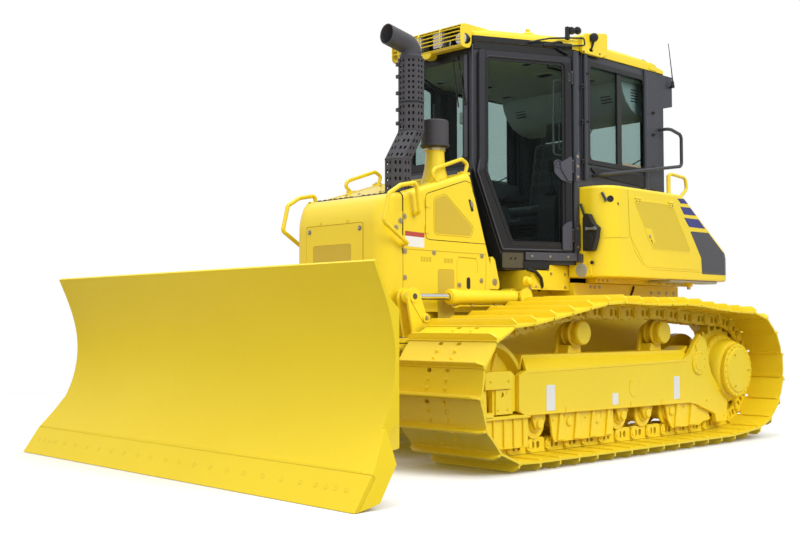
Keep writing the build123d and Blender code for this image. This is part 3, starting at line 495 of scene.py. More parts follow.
def glass(name, tint=(0.72, 0.79, 0.775), ior=1.45):
    """clear tinted pane: thin sheet that lets light through and mirrors a little"""
    m, nt, b = nodes_of(name)
    p = position(nt)
    n = noise_node(nt, 1.2, 2.0, 0.5, p)
    tr = nt.nodes.new("ShaderNodeBsdfTransparent")
    link(nt, mixed(nt, n.outputs["Fac"], tint, tuple(c * 0.93 for c in tint)), tr.inputs["Color"])
    gl = nt.nodes.new("ShaderNodeBsdfGlossy")
    gl.inputs["Color"].default_value = (0.9, 0.93, 0.93, 1)
    gl.inputs["Roughness"].default_value = 0.02
    fr = nt.nodes.new("ShaderNodeLayerWeight")
    fr.inputs["Blend"].default_value = 0.5
    pw = nt.nodes.new("ShaderNodeMath")
    pw.operation = "POWER"
    link(nt, fr.outputs["Facing"], pw.inputs[0])
    pw.inputs[1].default_value = 4.5
    ma = nt.nodes.new("ShaderNodeMath")
    ma.operation = "MULTIPLY_ADD"
    link(nt, pw.outputs[0], ma.inputs[0])
    ma.inputs[1].default_value = 0.3
    ma.inputs[2].default_value = (ior - 1.0) * 0.014
    mx = nt.nodes.new("ShaderNodeMixShader")
    link(nt, ma.outputs[0], mx.inputs["Fac"])
    link(nt, tr.outputs[0], mx.inputs[1])
    link(nt, gl.outputs[0], mx.inputs[2])
    out = [x for x in nt.nodes if x.type == "OUTPUT_MATERIAL"][0]
    link(nt, mx.outputs[0], out.inputs["Surface"])
    nt.nodes.remove(b)
    return m


M_GLASS = glass("tinted_glass")
M_LENS = glass("lamp_lens", (0.86, 0.88, 0.90), 1.5)


def lamp_reflector(name):
    m, nt, b = nodes_of(name)
    p = position(nt)
    w = nt.nodes.new("ShaderNodeTexWave")
    w.inputs["Scale"].default_value = 40.0
    link(nt, p, w.inputs["Vector"])
    link(nt, mixed(nt, w.outputs["Fac"], (0.92, 0.92, 0.93), (0.70, 0.70, 0.72)), b.inputs["Base Color"])
    b.inputs["Metallic"].default_value = 1.0
    b.inputs["Roughness"].default_value = 0.16
    bumped(nt, b, w.outputs["Fac"], 0.001, 0.6)
    return m


M_MIRROR = lamp_reflector("lamp_reflector")
M_LENS2 = lamp_reflector("lamp_face")



def fabric(name, col):
    m, nt, b = nodes_of(name)
    p = position(nt)
    w1 = nt.nodes.new("ShaderNodeTexWave")
    w1.inputs["Scale"].default_value = 260.0
    w1.bands_direction = "X"
    w2 = nt.nodes.new("ShaderNodeTexWave")
    w2.inputs["Scale"].default_value = 260.0
    w2.bands_direction = "Z"
    link(nt, p, w1.inputs["Vector"])
    link(nt, p, w2.inputs["Vector"])
    a = nt.nodes.new("ShaderNodeMath")
    a.operation = "MAXIMUM"
    link(nt, w1.outputs["Fac"], a.inputs[0])
    link(nt, w2.outputs["Fac"], a.inputs[1])
    link(nt, mixed(nt, a.outputs[0], tuple(c * 0.6 for c in col), col), b.inputs["Base Color"])
    b.inputs["Roughness"].default_value = 0.85
    b.inputs["Sheen Weight"].default_value = 0.3
    bumped(nt, b, a.outputs[0], 0.0006, 0.6)
    return m


M_FABRIC = fabric("seat_weave", (0.045, 0.046, 0.052))


def punched(name, col, back, pitch=7.0, hole=0.30):
    """painted perforated sheet: rows of small round holes drawn in colour; the darker back colour in the holes is
    painted shade seen through them
    """
    m, nt, b = nodes_of(name)
    p = position(nt)
    s = nt.nodes.new("ShaderNodeVectorMath")
    s.operation = "SCALE"
    s.inputs["Scale"].default_value = 1000.0 / pitch
    link(nt, p, s.inputs[0])
    sep = nt.nodes.new("ShaderNodeSeparateXYZ")
    link(nt, s.outputs[0], sep.inputs[0])
    add = nt.nodes.new("ShaderNodeMath")
    add.operation = "ADD"
    link(nt, sep.outputs[0], add.inputs[0])
    link(nt, sep.outputs[1], add.inputs[1])
    d = []
    for o in (add.outputs[0], sep.outputs[2]):
        fr = nt.nodes.new("ShaderNodeMath")
        fr.operation = "FRACT"
        link(nt, o, fr.inputs[0])
        su = nt.nodes.new("ShaderNodeMath")
        su.operation = "SUBTRACT"
        link(nt, fr.outputs[0], su.inputs[0])
        su.inputs[1].default_value = 0.5
        pw = nt.nodes.new("ShaderNodeMath")
        pw.operation = "MULTIPLY"
        link(nt, su.outputs[0], pw.inputs[0])
        link(nt, su.outputs[0], pw.inputs[1])
        d.append(pw.outputs[0])
    sm = nt.nodes.new("ShaderNodeMath")
    sm.operation = "ADD"
    link(nt, d[0], sm.inputs[0])
    link(nt, d[1], sm.inputs[1])
    fac = mapped(nt, sm.outputs[0], hole * hole * 0.75, hole * hole * 1.3, 0.0, 1.0)
    # holes take the darker back colour: painted shade seen through the openings
    link(nt, mixed(nt, fac, back, col), b.inputs["Base Color"])
    b.inputs["Roughness"].default_value = 0.5
    bumped(nt, b, fac, 0.001, 0.8)
    return m


M_MESH = punched("punched_ochre", (0.66, 0.48, 0.040), (0.52, 0.37, 0.035), 7.0, 0.33)
M_MESH_T = punched("punched_tank", (0.735, 0.550, 0.030), (0.60, 0.44, 0.03), 7.0, 0.30)
M_PANELG = paint("guard_grey", (0.42, 0.41, 0.40), (0.34, 0.33, 0.32), 0.5, 0.05)
M_PALE = paint("reflector_pale", (0.36, 0.37, 0.34), (0.28, 0.30, 0.28), 0.3, 0.5)
M_MESH_Y = punched("punched_yellow", (0.88, 0.60, 0.015), (0.55, 0.36, 0.02), 6.0, 0.28)

# ---------------------------------------------------------------------------
# Camera, floor and light
# ---------------------------------------------------------------------------
cam = bpy.data.cameras.new("camera")
cam.lens = 49.37
cam.sensor_width = 36.0
cam.clip_end = 300
cam.shift_x = -0.0017
cam.shift_y = -0.0004
cam.dof.use_dof = False
cam_ob = bpy.data.objects.new("camera", cam)
bpy.context.scene.collection.objects.link(cam_ob)
cam_ob.location = (5.4252, -5.6933, 0.860)
cam_ob.rotation_euler = (math.radians(92.88), math.radians(0.0), math.radians(46.05))
bpy.context.scene.camera = cam_ob
bpy.context.scene.view_settings.view_transform = "Standard"
bpy.context.scene.view_settings.look = "None"

floor_me = bpy.data.meshes.new("floor")
fl_r = [0.0, 3.0, 5.0, 7.0, 9.0, 12.0]
fl_v = [(0.0, 0.0, -0.002)]
fl_f = []
for fi, fr in enumerate(fl_r[1:]):
    for k in range(64):
        fl_v.append((fr * math.cos(2 * math.pi * k / 64), fr * math.sin(2 * math.pi * k / 64), -0.002))
for k in range(64):
    fl_f.append((0, 1 + k, 1 + (k + 1) % 64))
for fi in range(len(fl_r) - 2):
    for k in range(64):
        a, b = 1 + fi * 64 + k, 1 + fi * 64 + (k + 1) % 64
        fl_f.append((a, a + 64, b + 64, b))
floor_me.from_pydata(fl_v, [], fl_f)
floor_ob = bpy.data.objects.new("floor", floor_me)
bpy.context.scene.collection.objects.link(floor_ob)
mf, ntf, bf = nodes_of("floor_pale")
bf.inputs["Roughness"].default_value = 0.95
bf.inputs["Specular IOR Level"].default_value = 0.0
pf = position(ntf)
nf = noise_node(ntf, 0.6, 2.0, 0.5, pf)
link(ntf, mixed(ntf, nf.outputs["Fac"], (0.93, 0.93, 0.93), (0.91, 0.91, 0.91)), bf.inputs["Base Color"])
ln = ntf.nodes.new("ShaderNodeVectorMath")
ln.operation = "LENGTH"
link(ntf, pf, ln.inputs[0])
link(ntf, mapped(ntf, ln.outputs["Value"], 4.2, 8.5, 1.0, 0.0), bf.inputs["Alpha"])
floor_me.materials.append(mf)
floor_ob.visible_diffuse = False

# white studio: bright overhead, dimmer towards the ground; plain white to the lens
world = bpy.data.worlds.new("studio")
bpy.context.scene.world = world
world.use_nodes = True
wn = world.node_tree
bg = wn.nodes["Background"]
bg.inputs["Strength"].default_value = 1.0
wc = wn.nodes.new("ShaderNodeTexCoord")
ws = wn.nodes.new("ShaderNodeSeparateXYZ")
wn.links.new(wc.outputs["Generated"], ws.inputs[0])
wr = wn.nodes.new("ShaderNodeValToRGB")
wr.color_ramp.elements[0].position = 0.0
wr.color_ramp.elements[0].color = (0.16, 0.155, 0.15, 1)
wr.color_ramp.elements[1].position = 1.0
wr.color_ramp.elements[1].color = (1.05, 1.05, 1.05, 1)
e = wr.color_ramp.elements.new(0.46)
e.color = (0.30, 0.30, 0.30, 1)
e = wr.color_ramp.elements.new(0.56)
e.color = (0.72, 0.72, 0.72, 1)
wm = wn.nodes.new("ShaderNodeMapRange")
wm.inputs["From Min"].default_value = -1.0
wm.inputs["From Max"].default_value = 1.0
wn.links.new(ws.outputs["Z"], wm.inputs["Value"])
wn.links.new(wm.outputs["Result"], wr.inputs["Fac"])
lp = wn.nodes.new("ShaderNodeLightPath")
wx = wn.nodes.new("ShaderNodeMix")
wx.data_type = "RGBA"
wn.links.new(lp.outputs["Is Camera Ray"], wx.inputs["Factor"])
wn.links.new(wr.outputs["Color"], wx.inputs[6])
wx.inputs[7].default_value = (1, 1, 1, 1)
wn.links.new(wx.outputs[2], bg.inputs["Color"])


def area_light(name, loc, target, size, power, size_y=None):
    l = bpy.data.lights.new(name, "AREA")
    l.energy = power
    l.size = size
    if size_y:
        l.shape = "RECTANGLE"
        l.size_y = size_y
    o = bpy.data.objects.new(name, l)
    bpy.context.scene.collection.objects.link(o)
    o.location = loc
    d = Vector(target) - Vector(loc)
    o.rotation_euler = d.to_track_quat("-Z", "Y").to_euler()
    o.visible_camera = False
    return o


key = area_light("key", (8.0, 0.5, 6.0), (0.3, 0.0, 1.2), 4.5, 452.0)
key.visible_glossy = False
area_light("top", (0.5, -0.5, 8.0), (0.0, 0.0, 1.0), 6.0, 220.0)
fill = area_light("front_fill", (1.5, -9.0, 3.2), (0.0, 0.0, 1.2), 5.0, 192.0)
fill.visible_glossy = False

# CAD nodes: material by slot
SLOT_MAT = {"body_paint": M_BODY, "frame_paint": M_FRAME, "cab_paint": M_CAB, "cab_glass": M_GLASS, "rod_chrome": M_CHROME,
            "cast_metal": M_CAST, "seat_fabric": M_FABRIC, "trim_plastic": M_TRIM}
for sub in frame["record"]["subparts"]:
    ob = frame["nodes"][sub["node"]]
    ob.data.materials.clear()
    ob.data.materials.append(SLOT_MAT[sub["material_slot"]])


def finish_cad(name, mat):
    ob = frame["nodes"][name]
    ob.data.materials.clear()
    ob.data.materials.append(mat)


finish_cad("exhaust_stack", M_STACK)
finish_cad("moldboard", M_BLADE)
finish_cad("cutting_edge", M_BLADE)

# ---------------------------------------------------------------------------
# Tracks
# ---------------------------------------------------------------------------
TRACK_X, SHOE_W, SHOE_T, SHOES, LINK_H = 1000.0, 710.0, 14.0, 43, 95.0
IDLER_Y, IDLER_Z, IDLER_R = 0.0, 452.0, 392.0
SPROCKET_Y, SPROCKET_Z, SPROCKET_R = 2655.0, 508.0, 423.0
TOP_RUN = [(120, 851), (297, 886), (450, 912), (606, 940), (781, 973), (930, 989), (1150, 983), (1400, 977), (1650, 981),
           (1840, 985), (2000, 968), (2180, 951), (2400, 939)]
ROLLER_Z = 240.0
ROLLER_Y = [395.0, 690.0, 985.0, 1280.0, 1575.0, 1870.0, 2165.0]
CARRIER_YZ = [(890.0, 797.0), (1840.0, 796.0)]


def loop_points():
    pts = []
    for k in range(0, 19):
        a = math.radians(270 - 10 * k)
        pts.append((IDLER_Y + IDLER_R * math.cos(a), IDLER_Z + IDLER_R * math.sin(a)))
    pts += [(float(y), float(z)) for y, z in TOP_RUN]
    for k in range(0, 19):
        a = math.radians(92 - 10 * k)
        pts.append((SPROCKET_Y + SPROCKET_R * math.cos(a), SPROCKET_Z + SPROCKET_R * math.sin(a)))
    pts.append((2330.0, 60.0))
    return pts


def offset_loop(pts, d):
    out = []
    n = len(pts)
    for i in range(n):
        p0, p1, p2 = pts[i - 1], pts[i], pts[(i + 1) % n]
        a = (p1[0] - p0[0], p1[1] - p0[1])
        b = (p2[0] - p1[0], p2[1] - p1[1])
        la, lb = math.hypot(*a), math.hypot(*b)
        na, nb = (-a[1] / la, a[0] / la), (-b[1] / lb, b[0] / lb)
        mx, my = na[0] + nb[0], na[1] + nb[1]
        k = 2.0 / (mx * mx + my * my)
        out.append((p1[0] + d * mx * k, p1[1] + d * my * k))
    return out


def teeth_on(pts):
    n = len(pts)
    seg, s = [], 0.0
    for i in range(n):
        p, q = pts[i], pts[(i + 1) % n]
        l = math.hypot(q[0] - p[0], q[1] - p[1])
        seg.append((s, l, p, q))
        s += l
    res = []
    for k in range(SHOES):
        d = (s * (k + 0.35) / SHOES) % s
        for s0, l, p, q in seg:
            if s0 <= d < s0 + l:
                t = ((q[0] - p[0]) / l, (q[1] - p[1]) / l)
                res.append(((p[0] + t[0] * (d - s0), p[1] + t[1] * (d - s0)), (-t[1], t[0])))
                break
    return res


LOOP = loop_points()
TEETH_AT = teeth_on(offset_loop(LOOP, SHOE_T))


def shoe_parts():
    """one shoe: x across, s along the chain, h outwards from the plate's inner face"""
    slots = [slot_pts(sx * 72, 152, 34, 22, 6, 2) for sx in (-1, 1)]
    outer = [(-355, -14), (355, -14), (355, 120), (347, 172), (-347, 172), (-355, 120)]
    out = [(holed(outer, slots, 0.5, 13.5, "z"), 0)]
    # raised step along the leading edge and the overlap lip at the trailing edge
    out.append((prism([(-14, 2), (-14, 14), (-9, 17), (14, 17), (20, 13), (20, 2)], -354, 354, "x", 1.2, 1), 0))
    out.append((prism([(150, -6), (150, 1), (171, 1), (171, -6)], -330, -110, "x", 1.5, 1), 0))
    out.append((prism([(150, -6), (150, 1), (171, 1), (171, -6)], 110, 330, "x", 1.5, 1), 0))
    g = [(-353, 12), (353, 12), (353, 36), (318, 60), (-318, 60), (-353, 36)]
    out.append((prism(g, -6.5, 6.5, "y", 1.6, 2), 0))
    out.append((prism([(-10, 12), (-6, 22), (6, 22), (12, 12)], -352, 352, "x", 0, 1), 0))
    for x in (-72, 72):
        for s in (48, 98):
            out.append((hexbolt((x, s, 13.5), (0, 0, 1), 12.5, 10.0), 0))
            out.append((lathe([(0, 5.5), (6, 5.5), (7, 4)], (x, s, 23), (0, 0, 1), 8), 0))
    # chain links under the plate: two rails with oval windows, pin and bushing
    win1, win2 = slot_pts(48, -48, 30, 46, 13, 3), slot_pts(98, -48, 30, 46, 13, 3)
    link_o = [(-18, -2), (-22, -40), (-14, -84), (6, -94), (60, -94), (73, -86), (86, -94), (140, -94), (158, -84), (166, -45), (160, -2)]
    for sx in (-1, 1):
        a, b = sorted((sx * 47, sx * 69))
        out.append((holed(link_o, [win1, win2], a, b, "x"), 0))
        a, b = sorted((sx * 69, sx * 83))
        out.append((prism([(118, -12), (118, -88), (150, -88), (168, -66), (168, -26), (150, -12)], a, b, "x", 3, 1), 0))
        out.append((rod((sx * 60, 146, -50), (sx * 88, 146, -50), 17, 12, 2), 0))
        a, b = sorted((sx * 40, sx * 47))
        out.append((prism([(-22, -14), (-22, -86), (22, -86), (22, -14)], a, b, "x", 3, 1), 0))
    out.append((rod((-46, 0, -50), (46, 0, -50), 27, 14), 0))
    return out


SHOE = shoe_parts()


def track():
    g = Geo()
    n = len(TEETH_AT)
    base = []
    for (y, z), (ny, nz) in TEETH_AT:
        base.append((y - ny * SHOE_T, z - nz * SHOE_T, ny, nz))
    for i in range(n):
        y0, z0, n0, m0 = base[i]
        y1, z1, n1, m1 = base[(i + 1) % n]
        l = math.hypot(y1 - y0, z1 - z0)
        t = ((y1 - y0) / l, (z1 - z0) / l)
        w = (-t[1], t[0])
        if w[0] * n0 + w[1] * m0 < 0:
            w = (-w[0], -w[1])
        M = [[1, 0, 0, TRACK_X], [0, t[0], w[0], y0], [0, t[1], w[1], z0]]
        for vf, m in SHOE:
            g.add(vf, m, M)
    return g


GT = track()
make("track_shoes_left", GT, [M_FRAME], "chassis", "track_left", weighted=False)
make("track_shoes_right", GT, [M_FRAME], "chassis", "track_right", side=-1, weighted=False)

# ---------------------------------------------------------------------------
# Track frame with rollers
# ---------------------------------------------------------------------------
def bolt_row(g, pts, d, r=11.0, h=9.0, m=0):
    for p in pts:
        g.add(hexbolt(p, d, r, h), m)


def roller_track(y, z):
    """double flanged track roller with its end collars"""
    return lathe([(-98, 30), (-98, 52), (-90, 58), (-84, 58), (-82, 92), (-72, 95), (-70, 78), (-46, 76), (-44, 62), (44, 62), (46, 76),
                  (70, 78), (72, 95), (82, 92), (84, 58), (90, 58), (98, 52), (98, 30)], (TRACK_X, y, z), (1, 0, 0), 28)


def track_frame():
    g = Geo()
    # box beam, its rear end drawn round the final drive
    beam = [(232, 300), (2080, 287), (2180, 268), (2420, 190), (2440, 128), (2594, 128), (2603, 305), (2520, 355), (2450, 415), (2380, 490),
            (2345, 560), (2335, 640), (2310, 735), (2222, 785), (2150, 722), (2080, 640), (1990, 604), (1100, 590), (232, 574), (168, 548), (168, 332)]
    g.add(prism(beam, 1112, 1150, "x", 7, 2))
    g.add(prism([(236, 302), (2200, 302), (2300, 330), (2300, 560), (2200, 598), (1100, 588), (236, 572)], 916, 1113, "x", 4, 1))
    g.add(prism([(232, 574), (262, 668), (2060, 668), (2150, 700), (2150, 600), (1100, 588)], 930, 1093, "x", 8, 2))
    # sloping top cover
    front = [[(1150 - 2, y, 573 + (y - 240) * 0.0155) for y in (240, 700, 1200, 1700, 2060)],
             [(1104, y, 640) for y in (262, 700, 1200, 1700, 2100)],
             [(1070, y, 668) for y in (270, 700, 1200, 1700, 2120)]]
    back = [[(x - 14, y, z - 16) for x, y, z in row] for row in front]
    g.add(solid_sheet(front, back))
    # weld seams and pads
    g.add(tube([(1150, 250, 560), (1151, 2040, 590)], 3.5, 0, 6))
    g.add(tube([(1150, 250, 306), (1151, 2060, 294)], 3.5, 0, 6))
    for y in (620, 1330, 1700):
        g.add(prism([(y, 300), (y + 6, 300), (y + 6, 335), (y, 335)], 1149, 1155, "x", 1, 1))
    # bolted round cover ahead of the final drive, and the rear clamp
    g.add(lathe([(0, 88), (10, 88), (14, 82), (14, 60), (18, 56), (18, 0)], (1148, 2195, 575), (1, 0, 0), 28))
    for k in range(8):
        a = math.radians(22 + 45 * k)
        g.add(hexbolt((1160, 2195 + 72 * math.cos(a), 575 + 72 * math.sin(a)), (1, 0, 0), 8, 7))
    g.add(prism([(2150, 700), (2205, 752), (2262, 740), (2290, 668), (2240, 620), (2170, 640)], 1148, 1160, "x", 4, 1))
    bolt_row(g, [(1150, 2475, 372), (1150, 2540, 180), (1150, 2300, 300)], (1, 0, 0), 10, 8)
    # idler yoke: slide box, guide plates and grease hole
    g.add(prism([(-147, 470), (-147, 566), (-128, 577), (84, 577), (100, 560), (100, 470)], 1104, 1160, "x", 6, 2))
    g.add(prism([(-60, 318), (-60, 470), (100, 470), (118, 400), (128, 318)], 1104, 1136, "x", 5, 2))
    g.add(holed([(-40, 322), (-40, 466), (86, 466), (100, 400), (108, 322)], [ring_pts(18, 437, 15, 14)], 1136, 1146, "x"))
    g.add(lathe([(0, 15), (2, 15), (2, 0)], (1134, 18, 437), (1, 0, 0), 14), 1)
    g.add(prism([(-150, 330), (-150, 470), (-118, 470), (-108, 330)], 1100, 1140, "x", 6, 2))
    g.add(prism([(-156, 300), (-156, 336), (-60, 336), (-60, 300)], 1096, 1150, "x", 5, 2))
    g.add(prism([(112, 330), (112, 566), (150, 560), (168, 540), (168, 330)], 1100, 1122, "x", 4, 1))
    g.add(prism([(-70, 400), (-70, 510), (240, 560), (240, 330)], 868, 902, "x", 4, 1))
    bolt_row(g, [(1146, 60, 450), (1146, 66, 350), (1146, -20, 350)], (1, 0, 0), 8, 6)
    bolt_row(g, [(1160, -100, 520), (1160, 60, 520)], (1, 0, 0), 9, 7)
    # front lower guard with ribs
    g.add(prism([(-150, 312), (-150, 288), (-36, 134), (30, 112), (276, 110), (278, 312)], 1108, 1128, "x", 5, 2))
    for y in (-52, 42, 132, 220):
        g.add(prism([(y, 150 if y < 0 else 124), (y + 12, 140 if y < 0 else 122), (y + 12, 300), (y, 300)], 1127, 1140, "x", 3, 1))
    g.add(prism([(-156, 290), (-156, 312), (278, 308), (278, 288)], 1108, 1150, "x", 4, 1))
    # roller guards with triangular gussets
    g.add(prism([(498, 300), (520, 165), (545, 118), (1150, 118), (1168, 160), (1172, 300)], 1106, 1122, "x", 5, 2))
    for y in (560, 730, 900, 1070):
        g.add(prism([(y, 128), (y + 74, 128), (y + 50, 292), (y + 24, 292)], 1121, 1136, "x", 5, 2))
    bolt_row(g, [(1122, y, 258) for y in (528, 690, 858, 1028, 1140)], (1, 0, 0), 9, 8)
    g.add(prism([(1795, 300), (1830, 180), (1880, 118), (2240, 118), (2300, 140), (2400, 150), (2330, 300)], 1106, 1122, "x", 5, 2))
    for y in (1900, 2090):
        g.add(prism([(y, 128), (y + 88, 128), (y + 60, 292), (y + 28, 292)], 1121, 1138, "x", 5, 2))
    bolt_row(g, [(1122, y, 258) for y in (1850, 2030, 2220)], (1, 0, 0), 9, 8)
    # rollers in their brackets
    for y in ROLLER_Y:
        g.add(roller_track(y, ROLLER_Z))
        for x0, x1 in ((1099, 1120), (880, 901)):
            g.add(prism([(y - 62, 306), (y - 62, 268), (y - 40, 222), (y - 22, 205), (y + 22, 205), (y + 40, 222), (y + 62, 268), (y + 62, 306)], x0, x1, "x", 5, 2))
        g.add(lathe([(0, 30), (12, 30), (16, 24), (16, 0)], (1119, y, ROLLER_Z), (1, 0, 0), 18))
        g.add(rod((880, y, ROLLER_Z), (1120, y, ROLLER_Z), 26, 16))
        bolt_row(g, [(1120, y - 46, 276), (1120, y + 46, 276)], (1, 0, 0), 8, 8)
    # carrier rollers on their stools
    for y, z in CARRIER_YZ:
        g.add(prism([(y - 110, 655), (y - 78, 800), (y - 40, 840), (y + 40, 840), (y + 62, 800), (y + 72, 655)], 922, 948, "x", 6, 2))
        g.add(prism([(y - 92, 655), (y - 72, 720), (y + 50, 720), (y + 62, 655)], 946, 1030, "x", 8, 2))
        g.add(prism([(y - 16, 655), (y - 10, 770), (y + 10, 770), (y + 16, 655)], 930, 1020, "x", 4, 1))
        g.add(lathe([(0, 62), (20, 66), (24, 60), (40, 60), (42, 88), (52, 92), (60, 88), (62, 66), (82, 64), (90, 66), (96, 90), (106, 94), (112, 90),
                     (114, 70), (122, 76), (150, 80), (158, 79), (168, 72), (172, 40), (173, 0)], (930, y, z), (1, 0, 0), 36))
        bolt_row(g, [(950, y - 60, 690), (950, y - 60, 790)], (-1, 0, 0), 8, 6)
    # cross beams towards the hull
    g.add(block(424, 925, 1300, 1470, 450, 590, 8))
    g.add(block(424, 925, 2180, 2300, 440, 590, 8))
    g.add(block(700, 925, 1285, 1485, 430, 610, 8))
    # blank plates
    for y0, z0, w, h in ((470, 400, 84, 158), (1154, 361, 66, 76), (1900, 405, 74, 160)):
        g.add(prism(slot_pts(y0, z0, w, h, 4, 2), 1150, 1151.6, "x"), 2)
    # access cover outline on the beam
    g.add(lathe([(0, 66), (3, 66), (4, 62), (4, 0)], (1150, 1380, 428), (1, 0, 0), 28))
    bolt_row(g, [(1152, 1330, 470), (1152, 1430, 470)], (1, 0, 0), 7, 5)
    return g


GF = track_frame()
for side, sx in (("left", 1), ("right", -1)):
    make("track_frame_detail_" + side, GF, [M_FRAME, M_BLACK, M_WHITE], "chassis", "track_frame_" + side, side=sx)

gi = Geo()
gi.add(lathe([(-92, 60), (-92, 92), (-70, 100), (-34, 128), (-26, 240), (-60, 258), (-82, 268), (-84, 292), (-44, 294), (-40, 318), (40, 318), (44, 294),
              (84, 292), (82, 268), (60, 258), (26, 240), (34, 128), (70, 100), (92, 92), (92, 60)], (TRACK_X, IDLER_Y, IDLER_Z), (1, 0, 0), 64))
gi.add(rod((872, 0, IDLER_Z), (1138, 0, IDLER_Z), 33, 20, 3))
gi.add(lathe([(0, 58), (14, 58), (18, 50), (18, 0)], (1092, 0, IDLER_Z), (1, 0, 0), 24))
for k in range(6):
    a = math.radians(60 * k + 10)
    gi.add(prism([(IDLER_Y + 128 * math.cos(a) - 9 * math.sin(a), IDLER_Z + 128 * math.sin(a) + 9 * math.cos(a)),
                  (IDLER_Y + 246 * math.cos(a) - 9 * math.sin(a), IDLER_Z + 246 * math.sin(a) + 9 * math.cos(a)),
                  (IDLER_Y + 246 * math.cos(a) + 9 * math.sin(a), IDLER_Z + 246 * math.sin(a) - 9 * math.cos(a)),
                  (IDLER_Y + 128 * math.cos(a) + 9 * math.sin(a), IDLER_Z + 128 * math.sin(a) - 9 * math.cos(a))], TRACK_X - 50, TRACK_X + 50, "x", 3, 1))


def final_drive():
    g = Geo()
    n = 23
    pts = []
    r0, r1 = SPROCKET_R - LINK_H - 26, SPROCKET_R - LINK_H + 26
    for k in range(n):
        a = 2 * math.pi * k / n
        w = 2 * math.pi / n
        for f, r in ((-0.40, r0 + 4), (-0.34, r0), (-0.26, r0 + 6), (-0.13, r1 - 5), (-0.08, r1), (0.08, r1), (0.13, r1 - 5), (0.26, r0 + 6), (0.34, r0), (0.40, r0 + 4)):
            pts.append((SPROCKET_Y + r * math.cos(a + f * w), SPROCKET_Z + r * math.sin(a + f * w)))
    g.add(holed(pts, [ring_pts(SPROCKET_Y, SPROCKET_Z, 215, 32)], TRACK_X - 34, TRACK_X + 34, "x"))
    c = (TRACK_X, SPROCKET_Y, SPROCKET_Z)
    g.add(lathe([(-576, 172), (-500, 172), (-480, 190), (-440, 190), (-430, 236), (-418, 262), (-330, 274), (-270, 272), (-258, 262), (-250, 180), (-120, 180), (-100, 214), (-60, 236), (30, 238),
                 (34, 262), (40, 266), (74, 266), (80, 260), (84, 236), (112, 232), (150, 226), (168, 214), (176, 190), (186, 186), (188, 198), (206, 200), (211, 196),
                 (212, 168), (217, 166), (221, 160), (222, 110), (223, 0)], c, (1, 0, 0), 56))
    for k in range(24):
        a = 2 * math.pi * k / 24
        g.add(hexbolt((TRACK_X + 79, SPROCKET_Y + 250 * math.cos(a), SPROCKET_Z + 250 * math.sin(a)), (1, 0, 0), 10, 8))
    for k in range(24):
        a = 2 * math.pi * k / 24
        g.add(hexbolt((TRACK_X + 210, SPROCKET_Y + 183 * math.cos(a), SPROCKET_Z + 183 * math.sin(a)), (1, 0, 0), 11, 8))
    for a in (0, 120, 240):
        b = math.radians(a)
        g.add(lathe([(0, 15), (5, 15), (6, 12), (6, 0)], (TRACK_X + 221, SPROCKET_Y + 132 * math.cos(b), SPROCKET_Z + 132 * math.sin(b)), (1, 0, 0), 12))
        g.add(lathe([(0, 6), (1, 6), (1, 0)], (TRACK_X + 227, SPROCKET_Y + 132 * math.cos(b), SPROCKET_Z + 132 * math.sin(b)), (1, 0, 0), 6), 1)
    return g


GD = final_drive()
for side, sx in (("left", 1), ("right", -1)):
    make("idler_wheel_" + side, gi, [M_FRAME], "chassis", "idler_" + side, side=sx)
    make("final_drive_detail_" + side, GD, [M_FRAME, M_BLACK], "chassis", "final_drive_" + side, side=sx)

# ---------------------------------------------------------------------------
# Nose and hood
# ---------------------------------------------------------------------------
M_SEAM = paint("seam_shadow", (0.52, 0.37, 0.016), (0.46, 0.32, 0.014), 0.7, 0.0)
M_OCHRE = M_MESH


def hx(y):
    return 450.0 + 47.0 * (y + 130.0) / 780.0


def hood_z(y):
    return 1694.0 + (y + 129.0) * 0.2995


def interp(x, xs, ys):
    return float(np.interp(x, xs, ys))


def mask_grid(d):
    prof_z = [930, 1500, 1522, 1545, 1570, 1595, 1618, 1638, 1655, 1668, 1679, 1687, 1691, 1693]
    prof_f = [0, 0, 3, 7, 14, 24, 36, 50, 68, 86, 108, 134, 155, 174.5]
    rows = [930, 1050, 1180, 1300, 1400, 1460, 1500, 1522, 1545, 1570, 1595, 1618, 1638, 1655, 1668, 1679, 1687, 1691, 1693]
    grid = []
    for z in rows:
        df = interp(z, prof_z, prof_f) + d
        k = max(0.0, z - 1648.0)
        ds = 45.0 - math.sqrt(max(45.0 ** 2 - k * k, 0.0)) + d
        row = []
        W, R = 450.0, 120.0
        pts = [(W, -130.0), (W, -150.0), (W, -170.0)]
        for i in range(0, 10):
            a = math.radians(90.0 * i / 9)
            pts.append((W - R + R * math.cos(a), -185.0 - R * math.sin(a)))
        for x in (250, 165, 80, 0):
            pts.append((float(x), -305.0))
        pts += [(-x, y) for x, y in reversed(pts[:-1])]
        for x, y in pts:
            cx = max(-W + R, min(W - R, x))
            vx, vy = x - cx, min(0.0, y + 185.0)
            l = math.hypot(vx, vy)
            if l < 1e-6:
                nx, ny = 0.0, -1.0
            else:
                nx, ny = vx / l, vy / l
            if abs(x) >= W - 1e-6:
                nx, ny = (1.0 if x > 0 else -1.0), 0.0
            px = x - nx * ds
            py = y + abs(ny) * df
            crown = 0.0
            row.append((px, min(py, -130.0), z - (d * 0.9 if z > 1640 else 0) + crown))
        grid.append(row)
    return grid


gm = Geo()
gm.add(solid_sheet(mask_grid(0.0), mask_grid(8.0)))
